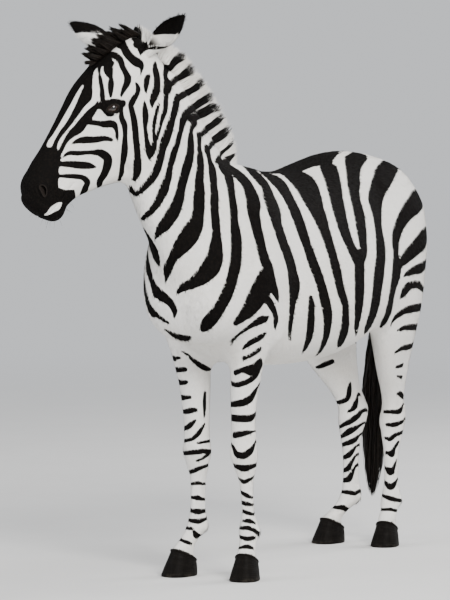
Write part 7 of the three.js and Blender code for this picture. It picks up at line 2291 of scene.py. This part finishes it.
def coat_material():
    sh = Shader("coat_hair")
    strand = sh.noise(sh.place(), 620, 2.0, 0.6)
    colour, white = coat_colour(sh, strand, 0.0008, 0.0012)
    tone = sh.attribute("tone")
    colour = sh.mix(sh.math("MULTIPLY", sh.math("MULTIPLY", sh.ramp(tone, 0.55, 1.0), 0.10), white), colour, (0.36, 0.32, 0.27, 1))
    sh.set(Base_Color=colour, Roughness=0.70, Normal=sh.bump(strand, 0.25, 0.0006))
    sh.b.inputs["Specular IOR Level"].default_value = 0.02
    return sh.mat


COAT_HAIR = coat_material()


def head_density(c, idx):
    s = head_local(c)[0]
    d = np.interp(s, [0.0, 0.25, 0.5], [62e3, 78e3, 95e3])
    return np.where(face_region[idx] >= 7, 60e3, d)


grow("coat_trunk_left", [0], lambda c, i: np.full(len(c), 27e3), 201, 1)
grow("coat_trunk_right", [0], lambda c, i: np.full(len(c), 27e3), 202, -1)
grow("coat_neck", [1], lambda c, i: np.full(len(c), 34e3), 203)
grow("coat_head", [2, 7, 8], head_density, 204)
grow("coat_forelegs", [3, 4], lambda c, i: np.full(len(c), 44e3), 205)
grow("coat_hindlegs", [5, 6], lambda c, i: np.full(len(c), 44e3), 206)


# -------------------------------------------------------- lashes and whiskers
def fine_hairs():
    rnd = np.random.RandomState(77)
    roots, ways, bends, lengths, widths = [], [], [], [], []
    down = np.array([0, 0, -1.0])
    for name, (at, axis, side) in EYES.items():
        ex = unit(EYE_LONG - (EYE_LONG @ axis) * axis)
        up = np.cross(axis, ex) * side
        for count, lo, hi, sign in ((46, 0.30, 2.75, 1), (20, 3.5, 5.9, -1)):
            th = np.linspace(lo, hi, count) + rnd.normal(0, 0.02, count)
            x, y = almond(th)
            z = np.sqrt((EYE_RADIUS + LID)**2 - x * x - y * y) - 0.0004
            roots.append(at + x[:, None] * ex + (y * 1.02)[:, None] * up + z[:, None] * axis)
            mid = np.sin(np.linspace(0.3, 2.84, count))
            ways.append(unit(axis * 0.90 + up * (0.30 * sign) + ex * (x * 22)[:, None] + rnd.normal(0, 0.07, (count, 3))))
            bends.append(np.broadcast_to(down * (0.30 if sign > 0 else 0.10), (count, 3)) + rnd.normal(0, 0.03, (count, 3)))
            lengths.append((0.0125 if sign > 0 else 0.0065) * (0.60 + 0.40 * mid) * rnd.uniform(0.85, 1.1, count))
            widths.append(np.full(count, 0.00034 if sign > 0 else 0.00026))
    # whiskers of the lips, the chin and around the nostrils, and a few by the eyes
    s, u, v = head_local(V)
    muzzle = (s > 0.515) & (bare < 0.2) & (v < -0.075) & (V[:, 2] > 1.0)
    chin = (s > 0.50) & (bare < 0.2) & (v < -0.135) & (V[:, 2] > 1.0)
    for m, count, ln in ((muzzle, 44, 0.030), (chin, 30, 0.036)):
        pick_ = rnd.choice(np.nonzero(m)[0], count, replace=False)
        roots.append(V[pick_] - N[pick_] * 0.001)
        ways.append(unit(N[pick_] + HEAD_T * 0.35 + rnd.normal(0, 0.16, (count, 3))))
        bends.append(np.broadcast_to(down * 0.16, (count, 3)) + rnd.normal(0, 0.06, (count, 3)))
        lengths.append(ln * rnd.uniform(0.45, 1.05, count))
        widths.append(np.full(count, 0.00032))
    for name, (at, axis, side) in EYES.items():
        near = np.linalg.norm(V - at, axis=1)
        pick_ = rnd.choice(np.nonzero((near > 0.030) & (near < 0.042) & (N[:, 2] < 0.3))[0], 7, replace=False)
        roots.append(V[pick_] - N[pick_] * 0.001)
        ways.append(unit(N[pick_] + down * 0.2 + rnd.normal(0, 0.15, (7, 3))))
        bends.append(np.broadcast_to(down * 0.2, (7, 3)))
        lengths.append(0.034 * rnd.uniform(0.6, 1.0, 7))
        widths.append(np.full(7, 0.00030))
    root, way, bend = np.concatenate(roots), np.concatenate(ways), np.concatenate(bends)
    length, width = np.concatenate(lengths), np.concatenate(widths)
    n = len(root)
    sd = unit(np.cross(way, rnd.normal(0, 1, (n, 3))))
    X, F, along, across, m = locks(root, way, bend, length, width, width * 0.9, sd, 5, 0.12, 0.1)
    g = strew(n, 5)
    finish_hair("lashes_whiskers", X, F, np.full(len(X), -0.02), np.repeat(rnd.uniform(0, 0.4, n), m),
                patch_uv(F, 0.01 + 0.97 * g, m, along, across), DARK_HAIR, [])


fine_hairs()


# ------------------------------------------------------- floor, light, camera
def studio():
    bpy.ops.mesh.primitive_plane_add(size=60, location=(0, 0, 0))
    floor = bpy.context.object
    floor.name = "floor"
    sh = Shader("floor_paper")
    n = sh.noise(sh.place(), 3.0, 4.0, 0.6)
    sh.set(Base_Color=sh.mix(n, (0.60, 0.595, 0.585, 1), (0.66, 0.655, 0.645, 1)), Roughness=0.9)
    # far off it fades into the tone of the background
    p = sh.node("ShaderNodeNewGeometry").outputs["Position"]
    far = sh.ramp(sh.vmath("LENGTH", p), 3.2, 10.5)
    glow = sh.node("ShaderNodeEmission")
    glow.inputs[0].default_value = (0.88, 0.90, 0.93, 1)
    glow.inputs[1].default_value = 0.82
    both = sh.node("ShaderNodeMixShader")
    sh.put(both.inputs[0], far)
    sh.t.links.new(sh.b.outputs[0], both.inputs[1])
    sh.t.links.new(glow.outputs[0], both.inputs[2])
    sh.t.links.new(both.outputs[0], sh.out.inputs[0])
    floor.data.materials.append(sh.mat)

    world = bpy.data.worlds.new("studio")
    bpy.context.scene.world = world
    world.use_nodes = True
    bg = world.node_tree.nodes["Background"]
    bg.inputs[0].default_value = (0.88, 0.90, 0.93, 1)
    bg.inputs[1].default_value = 0.82

    def soft(name, at, target, size, power, colour=(1, 1, 1)):
        light = bpy.data.lights.new(name, "AREA")
        light.shape = "RECTANGLE"
        light.size, light.size_y = size
        light.energy = power
        light.color = colour
        ob = bpy.data.objects.new(name, light)
        ob.location = at
        ob.rotation_euler = (Vector(target) - Vector(at)).to_track_quat("-Z", "Y").to_euler()
        bpy.context.scene.collection.objects.link(ob)
    soft("key", (4.2, 5.2, 5.0), (0.05, 0, 0.85), (3.2, 3.2), 860, (1.0, 0.98, 0.95))
    soft("fill", (5.5, -4.5, 3.0), (0.1, 0, 0.9), (4.0, 3.0), 280, (0.95, 0.97, 1.0))
    soft("back", (-5.0, 2.5, 4.2), (-0.1, 0, 1.0), (3.0, 3.0), 330)

    cam = bpy.data.cameras.new("camera")
    cam.sensor_width = 36
    cam.sensor_fit = "AUTO"
    cam.lens = 226.8
    cam.clip_end = 100
    ob = bpy.data.objects.new("camera", cam)
    ob.location = (10.6488, 5.5710, 1.5)
    ob.rotation_euler = (Vector((0.0534, -0.0627, 0.85)) - ob.location).to_track_quat("-Z", "Y").to_euler()
    bpy.context.scene.collection.objects.link(ob)
    bpy.context.scene.camera = ob


studio()
